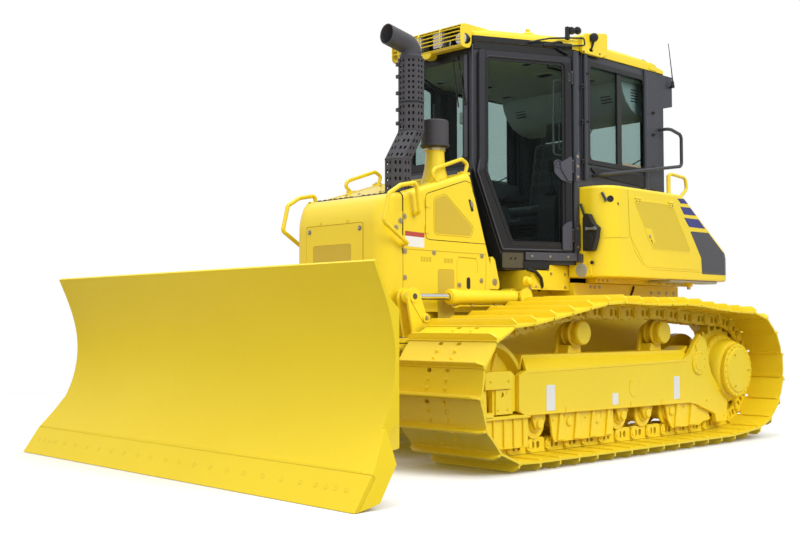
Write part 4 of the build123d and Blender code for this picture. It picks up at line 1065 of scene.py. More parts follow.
# access panel with its mesh window, bolts and seams
fy = -305.0
gm.add(holed(slot_pts(-10, 1228, 560, 540, 18, 3), [slot_pts(-30, 1240, 382, 262, 16, 3)], fy - 3.2, fy + 1, "y"))
gm.add(prism(slot_pts(-30, 1240, 384, 264, 16, 3), fy - 1.2, fy + 1, "y"), 1)
for pts in ([(-292, fy - 0.6, 960), (-292, fy - 0.6, 1502), (272, fy - 0.6, 1502), (272, fy - 0.6, 960)],):
    gm.add(tube(pts, 2.6, 14, 6, 3), 2)
for x, z in ((-258, 1465), (243, 1465), (-258, 1010), (243, 1010)):
    gm.add(hexbolt((x, fy - 3, z), (0, -1, 0), 11, 8), 3)
    gm.add(lathe([(0, 19), (1.6, 19), (2.4, 17), (2.4, 0)], (x, fy - 3, z), (0, -1, 0), 18), 3)
# two small weld nuts above the panel
for x in (-150, 120):
    gm.add(lathe([(0, 11), (2, 11), (3, 8), (3, 0)], (x, -304.5, 1520), (0, -1, 0), 12), 0)
# tow point plate low on the nose
gm.add(prism(slot_pts(0, 975, 700, 60, 14, 3), fy - 6, fy + 1, "y", 2, 1))
make("nose_shell", gm, [M_BODY, M_OCHRE, M_SEAM, M_ZINC], "chassis", "front_mask", sharp=38)

# strips and seals on the joint between nose and hood
gs = Geo()
seal = []
for i in range(0, 9):
    a = math.radians(90.0 * i / 8)
    seal.append((405.0 + 47.0 * math.cos(a), -129.5, 1649 + 47.0 * math.sin(a)))
path = [(452.0, -129.5, 1300)] + seal + [(0, -129.5, 1696.4)]
path = path + [(-x, y, z) for x, y, z in reversed(path[:-1])]
gs.add(tube(path, 3.4, 0, 8))
for k in range(7):
    x = 60 + 55 * k
    for s in (-1, 1):
        gs.add(prism([(x * s - 14, -118), (x * s + 14, -118), (x * s + 14, -104), (x * s - 14, -104)], 1701 - 0.5, 1706, "z", 1.5, 1))
make("nose_seal", gs, [M_RUBBER], "chassis", sharp=40)


def side_poly(pts, off0, off1, m, g, side=1, bev=0.0):
    """flat piece standing on the hood's side; pts are (y, z)"""
    n = len(pts)
    v = [(side * (hx(y) + off0), y, z) for y, z in pts] + [(side * (hx(y) + off1), y, z) for y, z in pts]
    f = [tuple(range(n)), tuple(range(2 * n - 1, n - 1, -1))] + [(i, i + n, (i + 1) % n + n, (i + 1) % n) for i in range(n)]
    v, f = outwards(v, f)
    if bev:
        v, f = bevelled((v, f), bev, 1)
    g.add((v, f), m)


def side_seam(pts, side, g, m=2, r=2.4, bend=16):
    g.add(tube([(side * (hx(y) - 0.4), y, z) for y, z in pts], r, bend, 6, 3), m)


def rounded_poly(pts, r, n=4):
    """outline with its corners rounded"""
    out = []
    k = len(pts)
    rs = r if isinstance(r, (list, tuple)) else [r] * k
    for i in range(k):
        p0, p1, p2 = Vector(pts[i - 1]), Vector(pts[i]), Vector(pts[(i + 1) % k])
        a, b = (p0 - p1), (p2 - p1)
        la, lb = a.length, b.length
        a.normalize(); b.normalize()
        ang = a.angle(b)
        t = min(rs[i] / math.tan(ang / 2), la * 0.48, lb * 0.48)
        rr = t * math.tan(ang / 2)
        bis = (a + b).normalized()
        c = p1 + bis * (rr / math.sin(ang / 2))
        s, e = p1 + a * t - c, p1 + b * t - c
        a0, a1 = math.atan2(s.y, s.x), math.atan2(e.y, e.x)
        dlt = (a1 - a0 + math.pi) % (2 * math.pi) - math.pi
        for j in range(n + 1):
            q = a0 + dlt * j / n
            out.append((c.x + rr * math.cos(q), c.y + rr * math.sin(q)))
    return out


for side, sx in (("left", 1), ("right", -1)):
    g = Geo()
    # lower bolted panel: seams, bolts, vents, mesh slot, sub panel and oval hole; the oval hole is a flat black sheet
    # on the skin, painted shade
    side_seam([(-126, 1000), (-126, 1332), (612, 1326), (606, 1000)], sx, g)
    for y, z in ((-109, 1316), (138, 1317), (572, 1313), (-110, 1150), (567, 1146), (363, 1112), (-110, 1000), (560, 1000)):
        g.add(hexbolt((sx * (hx(y) + 0.2), y, z), (sx, 0, 0), 10.5, 8), 3)
        g.add(lathe([(0, 18), (1.4, 18), (2.2, 16), (2.2, 0)], (sx * hx(y), y, z), (sx, 0, 0), 16), 3)
    for y0, y1, z0, z1 in ((26, 120, 1256, 1288), (226, 310, 1254, 1284)):
        for k in range(7):
            ya = y0 + (y1 - y0) * k / 7
            side_poly([(ya, z0), (ya + 6, z0), (ya + 6, z1), (ya, z1)], -1.0, 0.5, 2, g, sx)
    side_poly(rounded_poly([(172, 860), (316, 860), (316, 1211), (172, 1209)], 16, 3), -1, 0.9, 1, g, sx)
    side_seam([(172, 880), (172, 1211), (316, 1213), (316, 880)], sx, g, 2, 1.6, 16)
    side_seam([(342, 1010), (342, 1295), (528, 1291), (530, 1200)], sx, g, 2, 1.8, 30)
    # oval hole drawn as a flat black sheet: painted shade of the opening
    side_poly(slot_pts(446, 1127, 34, 80, 17, 5), -1, 1.0, 4, g, sx)
    side_poly([(352, 1296), (520, 1292), (520, 1297), (352, 1301)], -1, 1.0, 2, g, sx)
    # blank plate with a plain red band
    side_poly([(-108, 1350), (52, 1344), (54, 1440), (-108, 1446)], -1, 1.2, 5, g, sx)
    side_poly([(-108, 1416), (53, 1410), (54, 1440.5), (-108, 1446.5)], -0.5, 1.5, 6, g, sx)
    # tapered lug at the cab's foot with its bolt
    g.add(prism(rounded_poly([(640, 1090), (745, 1090), (745, 1135), (700, 1290), (672, 1318), (655, 1300)], [12, 20, 30, 14, 12, 20], 3),
                *sorted((sx * 470, sx * 499)), "x", 5, 2))
    g.add(lathe([(0, 14), (2.6, 14), (3.4, 12), (3.4, 0)], (sx * 498.5, 694, 1140), (sx, 0, 0), 6), 3)
    g.add(lathe([(0, 25), (1.2, 25), (1.6, 23), (1.6, 0)], (sx * 498.5, 694, 1140), (sx, 0, 0), 20), 3)
    # base plate of the front handrail
    side_poly(rounded_poly([(-205, 1430), (-92, 1536), (-98, 1575), (-140, 1570), (-215, 1480)], 18, 3), -6, 3.5, 0, g, sx)
    for y, z in ((-117, 1537), (-150, 1507), (-186, 1462)):
        g.add(hexbolt((sx * (hx(y) + 3), y, z), (sx, 0, 0), 12, 11), 3)
        g.add(lathe([(0, 19), (2, 19), (2.6, 17), (2.6, 0)], (sx * (hx(y) + 3), y, z), (sx, 0, 0), 16), 3)
    side_poly(rounded_poly([(-165, 1335), (-100, 1335), (-95, 1385), (-150, 1392)], 14, 3), -6, 4, 0, g, sx)
    # seam under the engine door
    side_seam([(-130, 1338), (-130, 1640)], sx, g, 2, 2.0, 0)
    make("hood_side_details_" + side, g, [M_BODY, M_OCHRE, M_SEAM, M_ZINC, M_BLACK, M_WHITE, M_RED], "chassis", sharp=38)
    # engine door trim
    g = Geo()
    tri = rounded_poly([(146, 1446), (146, 1668), (236, 1700), (486, 1500), (462, 1441)], [26, 26, 40, 30, 26], 4)
    side_poly(tri, -0.5, 1.3, 1, g, sx)
    side_poly(rounded_poly([(446, 1690), (470, 1684), (497, 1612), (474, 1606)], 5, 2), -0.5, 1.0, 4, g, sx)
    side_poly(rounded_poly([(462, 1680), (486, 1672), (497, 1640), (476, 1636)], 5, 2), 0.5, 4.0, 3, g, sx, 1.0)
    tri2 = rounded_poly([(137, 1437), (137, 1676), (234, 1711), (498, 1503), (470, 1432)], [32, 32, 46, 36, 32], 4)
    lo = [(sx * (hx(y) + 0.6), y, z) for y, z in tri2]
    g.add(tube(lo + [lo[0]], 1.6, 0, 6), 2)
    make("engine_door_trim_" + side, g, [M_BODY, M_OCHRE, M_SEAM, M_ZINC, M_BLACK], "engine_door_" + side, sharp=38)

# top of the hood: pads, bolts and a seam line
g = Geo()
for sx in (-1, 1):
    for y in (214, 468):
        z = hood_z(y)
        g.add(prism(slot_pts(sx * 424, y, 62, 74, 12, 3), z - 16, z + 3, "z", 2, 1))
        for dy in (-24, 24):
            g.add(hexbolt((sx * 424, y + dy, z + 3), (0, -0.28, 1), 9, 8), 1)
for x, y in ((-250, 10), (-120, 10), (90, 10), (-250, 330), (-40, 330), (130, 180)):
    z = hood_z(y)
    g.add(hexbolt((x, y, z), (0, -0.28, 1), 9, 7), 1)
g.add(tube([(-330, -60, hood_z(-60) + 0.3), (-330, 420, hood_z(420) + 0.3), (150, 420, hood_z(420) + 0.3), (150, -60, hood_z(-60) + 0.3)], 2.2, 30, 6, 3), 2)
make("hood_top_details", g, [M_BODY, M_ZINC, M_SEAM], "chassis", sharp=38)

# black cowl between the hood's slanted rear end and the cab's foot
g = Geo()
prof = [(466, 1860), (648, 1300), (655, 1225), (632, 960), (700, 960), (840, 1240), (815, 1290), (635, 1880), (640, 1920), (500, 1905)]
g.add(prism(prof, -345, 345, "x", 6, 2))
for sx in (-1, 1):
    g.add(tube([(sx * 470, 458, 1845), (sx * 484, 668, 1222), (sx * 484, 645, 980)], 9, 25, 10), 1)
make("hood_rear_cowl", g, [M_BLACK, M_RUBBER], "chassis", sharp=35)

# ---------------------------------------------------------------------------
# Exhaust stack with its perforated guard, and the intake
# ---------------------------------------------------------------------------
SX, SY0, SY1, IY = 300.0, -25.0, 95.0, 318.0


def oct_at(cy, z, r=92.0):
    return [(SX + r * math.cos(math.radians(22.5 + 45 * k)), cy + r * math.sin(math.radians(22.5 + 45 * k)), z) for k in range(8)]


def perforated(g, c0, z0, c1, z1, rows, holes=True):
    """eight flat faces with two columns of square holes, 3 mm sheet"""
    lo, hi = oct_at(c0, z0), oct_at(c1, z1)
    li, hi2 = oct_at(c0, z0, 88.0), oct_at(c1, z1, 88.0)
    for k in range(8):
        a, b, c, d = (Vector(p) for p in (lo[k], lo[(k + 1) % 8], hi[(k + 1) % 8], hi[k]))
        e, f_, g_, h = (Vector(p) for p in (li[k], li[(k + 1) % 8], hi2[(k + 1) % 8], hi2[k]))

        def at(q, s, t):
            return tuple(q[0].lerp(q[1], s).lerp(q[3].lerp(q[2], s), t))
        outer = [(0, 0), (1, 0), (1, 1), (0, 1)]
        hs = []
        if holes:
            for r in range(rows):
                tc = (r + 0.5) / rows
                dt = 0.22 / rows
                for sc in (0.30, 0.70):
                    hs.append([(sc - 0.095, tc - dt), (sc + 0.095, tc - dt), (sc + 0.095, tc + dt), (sc - 0.095, tc + dt)])
        v, f = holed(outer, hs, 0.0, 1.0, "z")
        pts = [at((a, b, c, d), p[0], p[1]) if p[2] < 0.5 else at((e, f_, g_, h), p[0], p[1]) for p in v]
        g.add(outwards_near(pts, f, (SX, (c0 + c1) / 2, (z0 + z1) / 2)))


def outwards_near(v, f, c):
    v = np.array(v, float)
    if volume(v - np.array(c), f) < 0:
        f = [tuple(reversed(q)) for q in f]
    return v, f


g = Geo()
perforated(g, SY0, 1660, SY0, 1922, 5)
perforated(g, SY0, 1925, SY1, 2118, 4)
perforated(g, SY1, 2121, SY1, 2300, 4)
perforated(g, SY1, 2314, SY1, 2600, 8)
for cy, z in ((SY1, 2307),):
    g.add(prism([(x, y) for x, y, _ in oct_at(cy, z, 86)], z - 8, z + 8, "z"), 1)
for cy0, z0, cy1, z1 in ((SY0, 1650, SY0, 1925), (SY1, 2120, SY1, 2605)):
    g.add(rod((SX, cy0, z0), (SX, cy1, z1), 66, 28), 1)
g.add(rod((SX, SY0, 1920), (SX, SY1, 2125), 62, 28), 1)
for cy, z in ((SY0, 1662), (SY0, 1921), (SY1, 2122), (SY1, 2598)):
    o = [(x, y) for x, y, _ in oct_at(cy, z, 94)]
    i = [(x, y) for x, y, _ in oct_at(cy, z, 66)]
    g.add(holed(o, [i], z - 2.5, z + 2.5, "z"))
for z in (2170, 2260, 2370, 2480, 2560):
    g.add(prism([(SY1 + 20, z - 12), (SY1 + 46, z - 12), (SY1 + 46, z + 12), (SY1 + 20, z + 12)], SX - 100, SX - 84, "x", 2, 1))
    g.add(prism([(SX - 46, z - 12), (SX - 20, z - 12), (SX - 20, z + 12), (SX - 46, z + 12)], SY1 - 100, SY1 - 84, "y", 2, 1))
# curved tail pipe, open at its slanted mouth
cl = rounded_path([(SX, SY1, 2590), (SX, SY1, 2690), (SX - 50, SY1 - 170, 2752)], 110, 12)


def pipe_shell(path, ro, ri, n=32):
    m = len(path)
    rings_o, rings_i = [], []
    for i, p in enumerate(path):
        t = (path[min(i + 1, m - 1)] - path[max(i - 1, 0)]).normalized()
        u = Vector((1, 0, 0))
        u = (u - t * u.dot(t)).normalized()
        w = t.cross(u)
        for rings, r in ((rings_o, ro), (rings_i, ri)):
            ring = []
            for j in range(n):
                a = 2 * math.pi * j / n
                q = p + u * math.cos(a) * r + w * math.sin(a) * r
                if i == m - 1:                       # mouth cut by an upright plane
                    dq = (path[-1].y - 6 - q.y) / t.y
                    q = q + t * max(-60.0, min(60.0, dq * 0.75))
                ring.append(tuple(q))
            rings.append(ring)
    v = [p for r in rings_o for p in r] + [p for r in rings_i for p in r]
    k = m * n
    f = []
    for i in range(m - 1):
        for j in range(n):
            j2 = (j + 1) % n
            f.append((i * n + j, (i + 1) * n + j, (i + 1) * n + j2, i * n + j2))
            f.append((k + i * n + j, k + i * n + j2, k + (i + 1) * n + j2, k + (i + 1) * n + j))
    for j in range(n):
        j2 = (j + 1) % n
        e = (m - 1) * n
        f.append((e + j, k + e + j, k + e + j2, e + j2))
        f.append((j, j2, k + j2, k + j))
    return outwards(v, f)


g.add(pipe_shell(cl, 67, 61), 0)
g.add(lathe([(0, 60), (3, 60), (4, 0)], (SX, SY1, 2598), (0, 0, 1), 24), 1)
g.add(lathe([(0, 72), (6, 76), (22, 76), (28, 70)], (SX, SY1, 2598), (0, 0, 1), 32), 0)
make("exhaust_guard", g, [M_STACK, M_BLACK], "chassis", "exhaust_stack", sharp=40)

g = Geo()
c = (SX, IY, 0)
g.add(lathe([(1735, 106), (1760, 106), (1800, 100), (1850, 82), (1905, 70), (1990, 64), (2010, 64), (2014, 71), (2036, 71), (2040, 62), (2044, 58)], c, (0, 0, 1), 36), 0)
g.add(lathe([(2040, 56), (2042, 92), (2046, 99), (2058, 100), (2062, 94)], c, (0, 0, 1), 36), 1)
g.add(lathe([(2058, 90), (2062, 93), (2212, 93), (2219, 91), (2223, 86), (2224, 40), (2225, 0)], c, (0, 0, 1), 40), 1)
g.add(lathe([(2016, 72), (2020, 74), (2030, 74), (2034, 72)], c, (0, 0, 1), 32), 2)
g.add(hexbolt((SX + 80, IY - 6, 2025), (1, 0, 0), 8, 12), 2)
make("intake_precleaner", g, [M_BODY, M_STACK, M_ZINC], "chassis", "air_precleaner", sharp=36)
# ---------------------------------------------------------------------------
# Blade, push frame and cylinders
# ---------------------------------------------------------------------------
def arc3(p0, p1, p2, n):
    """points on the circle through three points of a plane"""
    (ax, ay), (bx, by), (cx, cy) = p0, p1, p2
    d = 2 * (ax * (by - cy) + bx * (cy - ay) + cx * (ay - by))
    ux = ((ax * ax + ay * ay) * (by - cy) + (bx * bx + by * by) * (cy - ay) + (cx * cx + cy * cy) * (ay - by)) / d
    uy = ((ax * ax + ay * ay) * (cx - bx) + (bx * bx + by * by) * (ax - cx) + (cx * cx + cy * cy) * (bx - ax)) / d
    r = math.hypot(ax - ux, ay - uy)
    t0, t1, t2 = (math.atan2(q[1] - uy, q[0] - ux) for q in (p0, p1, p2))
    d1 = (t1 - t0 + math.pi) % (2 * math.pi) - math.pi
    d2 = (t2 - t1 + math.pi) % (2 * math.pi) - math.pi
    out = []
    for i in range(n + 1):
        s = i / n
        t = t0 + (d1 + d2) * s
        out.append((ux + r * math.cos(t), uy + r * math.sin(t)))
    return out


BT = [(-1422, 1157), (-1281, 745), (-1311, 484), (-1402, 300), (-1506, 162)]


def spline(pts, n):
    """smooth curve through the points, natural ends"""
    t = [0.0]
    for a, b in zip(pts, pts[1:]):
        t.append(t[-1] + math.hypot(b[0] - a[0], b[1] - a[1]))
    k = len(pts)
    cols = []
    for c in (0, 1):
        y = [q[c] for q in pts]
        h = [t[i + 1] - t[i] for i in range(k - 1)]
        al = [0.0] + [3 * (y[i + 1] - y[i]) / h[i] - 3 * (y[i] - y[i - 1]) / h[i - 1] for i in range(1, k - 1)]
        l, mu, z = [1.0], [0.0], [0.0]
        for i in range(1, k - 1):
            l.append(2 * (t[i + 1] - t[i - 1]) - h[i - 1] * mu[i - 1])
            mu.append(h[i] / l[i])
            z.append((al[i] - h[i - 1] * z[i - 1]) / l[i])
        m = [0.0] * k
        bb, dd = [0.0] * (k - 1), [0.0] * (k - 1)
        for j in range(k - 2, -1, -1):
            m[j] = z[j] - mu[j] * m[j + 1] if j > 0 else 0.0
            bb[j] = (y[j + 1] - y[j]) / h[j] - h[j] * (m[j + 1] + 2 * m[j]) / 3
            dd[j] = (m[j + 1] - m[j]) / (3 * h[j])
        out = []
        for i in range(n + 1):
            s = t[-1] * i / n
            j = 0
            while j < k - 2 and s > t[j + 1]:
                j += 1
            u = s - t[j]
            out.append(y[j] + bb[j] * u + m[j] * u * u + dd[j] * u ** 3)
        cols.append(out)
    return list(zip(*cols))


curve = spline(BT, 44)


def front_y(z):
    return interp(z, [q[1] for q in reversed(curve)], [q[0] for q in reversed(curve)])


BX = 1590.0
g = Geo()
rows_f, rows_b = [], []
for i, (y, z) in enumerate(curve):
    a, b = curve[max(i - 1, 0)], curve[min(i + 1, len(curve) - 1)]
    t = Vector((b[0] - a[0], b[1] - a[1])).normalized()
    ny, nz = -t.y, t.x
    if ny < 0:
        ny, nz = -ny, -nz
    th = 20.0
    rows_f.append([(x, y, z) for x in (-BX, -1200, -800, -400, 0, 400, 800, 1200, BX)])
    rows_b.append([(x, y + ny * th, z + nz * th) for x in (-BX, -1200, -800, -400, 0, 400, 800, 1200, BX)])
g.add(solid_sheet(rows_f, rows_b))
# weld bead along the cutting edge
g.add(prism([(-1507, 163.0), (-1503, 165), (-1490, 178), (-1500, 176)], -BX, BX, "x", 0.6, 1))
# end plates that stand a little proud of the curve
outl = [(y - 0.6, z) for y, z in curve]
back = [(-1337, 203), (-1335, 300), (-1290, 356), (-1250, 380), (-1250, 930), (-1335, 1002), (-1401, 1130)]
endp = outl + back
for sx in (1, -1):
    g.add(prism(endp, *sorted((sx * (BX - 22), sx * (BX - 1.5))), "x", 2.0, 1))
# back: box beams, ribs, top stiffener
g.add(prism(rounded_poly([(-1300, 946), (-1220, 975), (-1220, 886), (-1276, 862)], 8, 2), -1300, 1300, "x", 3, 1), 1)
g.add(prism(rounded_poly([(-1276, 520), (-1220, 540), (-1220, 252), (-1330, 237), (-1378, 268)], 10, 2), -1560, 1560, "x", 4, 1), 1)
for x in (-1250, -800, -320, 320, 800, 1250):
    g.add(prism(rounded_poly([(-1296, 985), (-1221, 960), (-1221, 262), (-1330, 252), (-1288, 500), (-1256, 720)], 12, 2), x - 10, x + 10, "x", 2, 1), 1)
g.add(prism(rounded_poly([(-1487, 150), (-1545, 68), (-1500, 62), (-1400, 190), (-1330, 240), (-1400, 290), (-1440, 235)], 6, 2), -1572, 1572, "x", 2, 1), 1)
# socket of the level pin, tilt cylinder's lugs
g.add(lathe([(0, 92), (6, 96), (46, 96), (48, 92), (48, 64), (0, 64)], (0, -1266, 430), (0, 1, 0), 36), 1)
for y0, y1 in ((-1220, -1203), (-1128, -1116)):
    g.add(prism(rounded_poly([(355, 850), (445, 850), (445, 930), (420, 975), (380, 975), (355, 930)], [4, 4, 20, 20, 20, 20], 3), y0, y1, "y", 2, 1), 1)
g.add(block(352, 448, -1206, -1116, 838, 862, 4, 1), 1)
# lifting eyes on the back
for x in (-1000, 1000):
    g.add(lathe([(0, 30), (14, 30), (14, 14), (0, 14)], (x - 7, -1300, 1040), (1, 0, 0), 20), 1)
make("moldboard_shell", g, [M_BLADE, M_FRAME], "blade", "moldboard", sharp=30)

# cutting edge in one bolted length with end bits
g = Geo()
EY = [(-1507, 162), (-1618, 1), (-1590, 1), (-1489, 148)]


BOLT_X = [-1562, -1485, -1410, -1336, -1207, -1059, -910, -761, -609, -459, -308, -162, 0, 139, 288, 442, 598, 747, 910, 1064, 1212, 1331, 1408, 1479, 1555]


def on_edge(x, s, d=0.0):
    """s from 0 at the top of the edge to 1 at its tip, d in front of it"""
    y, z = -1507 + (-1618 + 1507) * s, 162 + (1 - 162) * s
    nn = Vector((-161.0, 111.0)).normalized()
    return (x, y + nn.x * d, z + nn.y * d), (0, nn.x, nn.y)


g.add(prism(EY, -1675, 1675, "x", 1.6, 2))
end_y = [(y, z) for y, z in curve if 172 < z < 350]
bit = [(-1488, 148), (-1588, 3), (-1540, 10), (-1457, 28), (-1337, 196), (-1345, 353)] + [(front_y(353), 353)] + [(y - 0.3, z) for y, z in end_y] + [(front_y(164) - 0.6, 164)]


def bit_x(z):
    """outer face leans in above the edge"""
    return 1675.0 - max(0.0, z - 162.0) * 0.40


for sx in (1, -1):
    v, f = prism(bit, BX - 1, 1675, "x", 2.0, 2)
    v = [(BX - 1 + (x - BX + 1) * (bit_x(z) - BX + 1) / (1675 - BX + 1), y, z) for x, y, z in v]
    b = (v, f)
    g.add(b if sx > 0 else mirrored(b))
for i in range(25):
    x = BOLT_X[i]
    p, nrm = on_edge(x, 0.46, -1.0)
    # countersunk plough bolt: shallow dished ring with a low head; the ring's darker yellow is painted shade round the
    # head
    g.add(lathe([(0, 13), (1.6, 13), (2.0, 12), (1.3, 11), (1.3, 10.2)], p, nrm, 22), 1)
    g.add(lathe([(0.4, 11.2), (1.35, 11.0), (1.35, 9.6), (2.2, 8.5), (2.2, 0)], p, nrm, 20), 0)
make("edge_segments", g, [M_BLADE, M_BOLT_RING_SHADE], "blade", "cutting_edge", sharp=30)


# ---- push frame -------------------------------------------------------------
g = Geo()
AX0, AX1, AZ0, AZ1 = 500.0, 600.0, 350.0, 500.0
for sx in (1, -1):
    arm = [(600, 1165), (600, -470), (150, -925), (0, -925), (0, -800), (110, -800), (500, -450), (500, 1165)]
    pts = [(sx * x, y) for x, y in arm]
    g.add(prism(pts, AZ0, AZ1, "z", 7, 2))
    # trunnion boss and cap
    for x in (493, 600):
        g.add(lathe([(0, 88), (7, 92), (7, 44), (0, 44)] if False else [(0, 84), (2, 88), (7, 88), (7, 46), (0, 46)], (sx * x if sx > 0 else sx * (x + 0), 1050, 420), (sx, 0, 0), 40))
    for k in range(6):
        t = math.radians(60 * k + 30)
        g.add(hexbolt((sx * 607, 1050 + 68 * math.cos(t), 420 + 68 * math.sin(t)), (sx, 0, 0), 8, 7), 1)
    # fork plates of the lift rods
    base = [(330, 482), (-60, 482), (-150, 640), (-232, 1017), (-215, 1069), (-172, 1085), (-128, 1067), (-110, 1017), (-60, 900), (40, 760), (160, 560)]
    rp = rounded_poly(base, [8, 8, 60, 20, 24, 26, 24, 30, 40, 60, 60], 5)
    for a, b in ((500, 518), (582, 600)):
        g.add(prism(rp, *sorted((sx * a, sx * b)), "x", 2.5, 2))
    web = rounded_poly([(300, 482), (-60, 482), (-140, 640), (-165, 800), (20, 740), (140, 560)], 20, 3)
    g.add(prism(web, *sorted((sx * 516, sx * 584)), "x", 2, 1))
    # pins with keeper plates, plain boss and the lower bolt
    for a, n in ((601, 1), (499, -1)):
        g.add(lathe([(0, 40), (4, 40), (5, 37), (5, 0)], (sx * (a - n * 1.0), -172, 1027), (sx * n, 0, 0), 28))
        g.add(lathe([(4, 19), (7, 19), (8, 16), (8, 5), (6, 4), (6, 0)], (sx * (a - n * 1.0), -172, 1027), (sx * n, 0, 0), 20), 2)
    g.add(lathe([(0, 30), (6, 30), (8, 28), (8, 0)], (sx * 600, -72, 893), (sx, 0, 0), 24))
    g.add(hexbolt((sx * 608, -72, 893), (sx, 0, 0), 14, 9), 1)
    g.add(tube([(sx * 600.5, -95, 862), (sx * 600.5, -205, 1000)], 2.2, 0, 6), 3)
    # lugs and pin of the angle cylinder
    for z0, z1 in ((632, 660), (740, 768)):
        o = [(sx * 515, -225), (sx * 517, -190), (sx * 515, -120), (sx * 585, -120), (sx * 583, -190), (sx * 585, -225)]
        arc = [(sx * (550 + 35 * math.cos(math.radians(t))), -225 + 35 * math.sin(math.radians(t))) for t in range(0, -181, -20)]
        g.add(prism([(sx * 515, -120), (sx * 585, -120)] + arc, z0, z1, "z", 2, 1))
    g.add(lathe([(0, 16), (2, 18), (148, 18), (150, 16)], (sx * 550, -225, 625), (0, 0, 1), 24), 2)
    g.add(block(*sorted((sx * 528, sx * 572)), -238, -212, 768, 775, 2, 1), 1)
    # grease line along the arm
    g.add(tube([(sx * 602, 900, 470), (sx * 606, 700, 480), (sx * 606, 200, 476), (sx * 602, 60, 482)], 5, 30, 8), 4)
    for y in (720, 420, 180):
        g.add(prism(slot_pts(y, 479, 22, 20, 5, 2), *sorted((sx * 600, sx * 611)), "x", 1.5, 1), 1)
g.add(lathe([(0, 90), (4, 95), (146, 95), (150, 90), (150, 48), (0, 48)], (0, -1020, 350), (0, 0, 1), 44))
g.add(prism([(-95, -1000), (95, -1000), (95, -850), (-95, -850)], 352, 498, "z", 3, 1))
g.add(prism([(-120, -800), (120, -800), (200, -720), (-200, -720)], 370, 480, "z", 4, 1))
make("push_frame_detail", g, [M_FRAME, M_ZINC, M_CAST, M_SEAM, M_RUBBER], "push_frame", "push_frame", sharp=32)

# ---- yoke -----------------------------------------------------------------------
g = Geo()
for z0, z1 in ((505, 560), (290, 345)):
    g.add(lathe([(0, 91), (4, 95), (51, 95), (55, 91)], (0, -1020, z0), (0, 0, 1), 44))
    g.add(block(-95, 95, -1200, -1020, z0, z1, 4, 1))
g.add(lathe([(0, 40), (3, 44), (267, 44), (270, 40)], (0, -1020, 290), (0, 0, 1), 32), 2)
for k in range(6):
    t = math.radians(60 * k)
    g.add(hexbolt((68 * math.cos(t), -1020 + 68 * math.sin(t), 560), (0, 0, 1), 9, 8), 1)
g.add(block(-180, 180, -1200, -1130, 290, 780, 10, 2))
g.add(prism(rounded_poly([(-560, 640), (560, 640), (560, 760), (-560, 760)], 30, 4), -1200, -1168, "y", 4, 2))
for sx in (1, -1):
    for z0, z1 in ((632, 660), (740, 768)):
        arc = [(sx * (470 + 35 * math.cos(math.radians(t))), -1080 + 35 * math.sin(math.radians(t))) for t in range(0, 181, 20)]
        g.add(prism([(sx * 435, -1190), (sx * 505, -1190)][::1] + arc, z0, z1, "z", 2, 1))
    for z in (625, 766):
        g.add(lathe([(0, 17), (1, 18), (8, 18), (9, 17)], (sx * 470, -1080, z), (0, 0, 1), 24), 2)
    g.add(prism(rounded_poly([(180, 780), (180, 560), (420, 640), (420, 700)], 14, 3) if sx > 0 else [(-x, z) for x, z in rounded_poly([(180, 780), (180, 560), (420, 640), (420, 700)], 14, 3)], -1180, -1166, "y", 2, 1))
g.add(lathe([(0, 56), (4, 60), (72, 60), (74, 58)], (0, -1262, 430), (0, 1, 0), 36), 2)
for y0, y1 in ((-1200, -1188), (-1130, -1118)):
    zb = 740 if y0 < -1190 else 780
    g.add(prism(rounded_poly([(-405, zb), (-315, zb), (-315, 935), (-340, 975), (-380, 975), (-405, 935)], [4, 4, 20, 20, 20, 20], 3), y0, y1, "y", 2, 1))
g.add(block(-405, -315, -1200, -1118, 755, 800, 4, 1))
g.add(lathe([(0, 16), (2, 18), (80, 18), (82, 16)], (-360, -1200, 930), (0, 1, 0), 24), 2)
make("yoke_detail", g, [M_FRAME, M_ZINC, M_CAST], "blade_yoke", "blade_yoke", sharp=32)


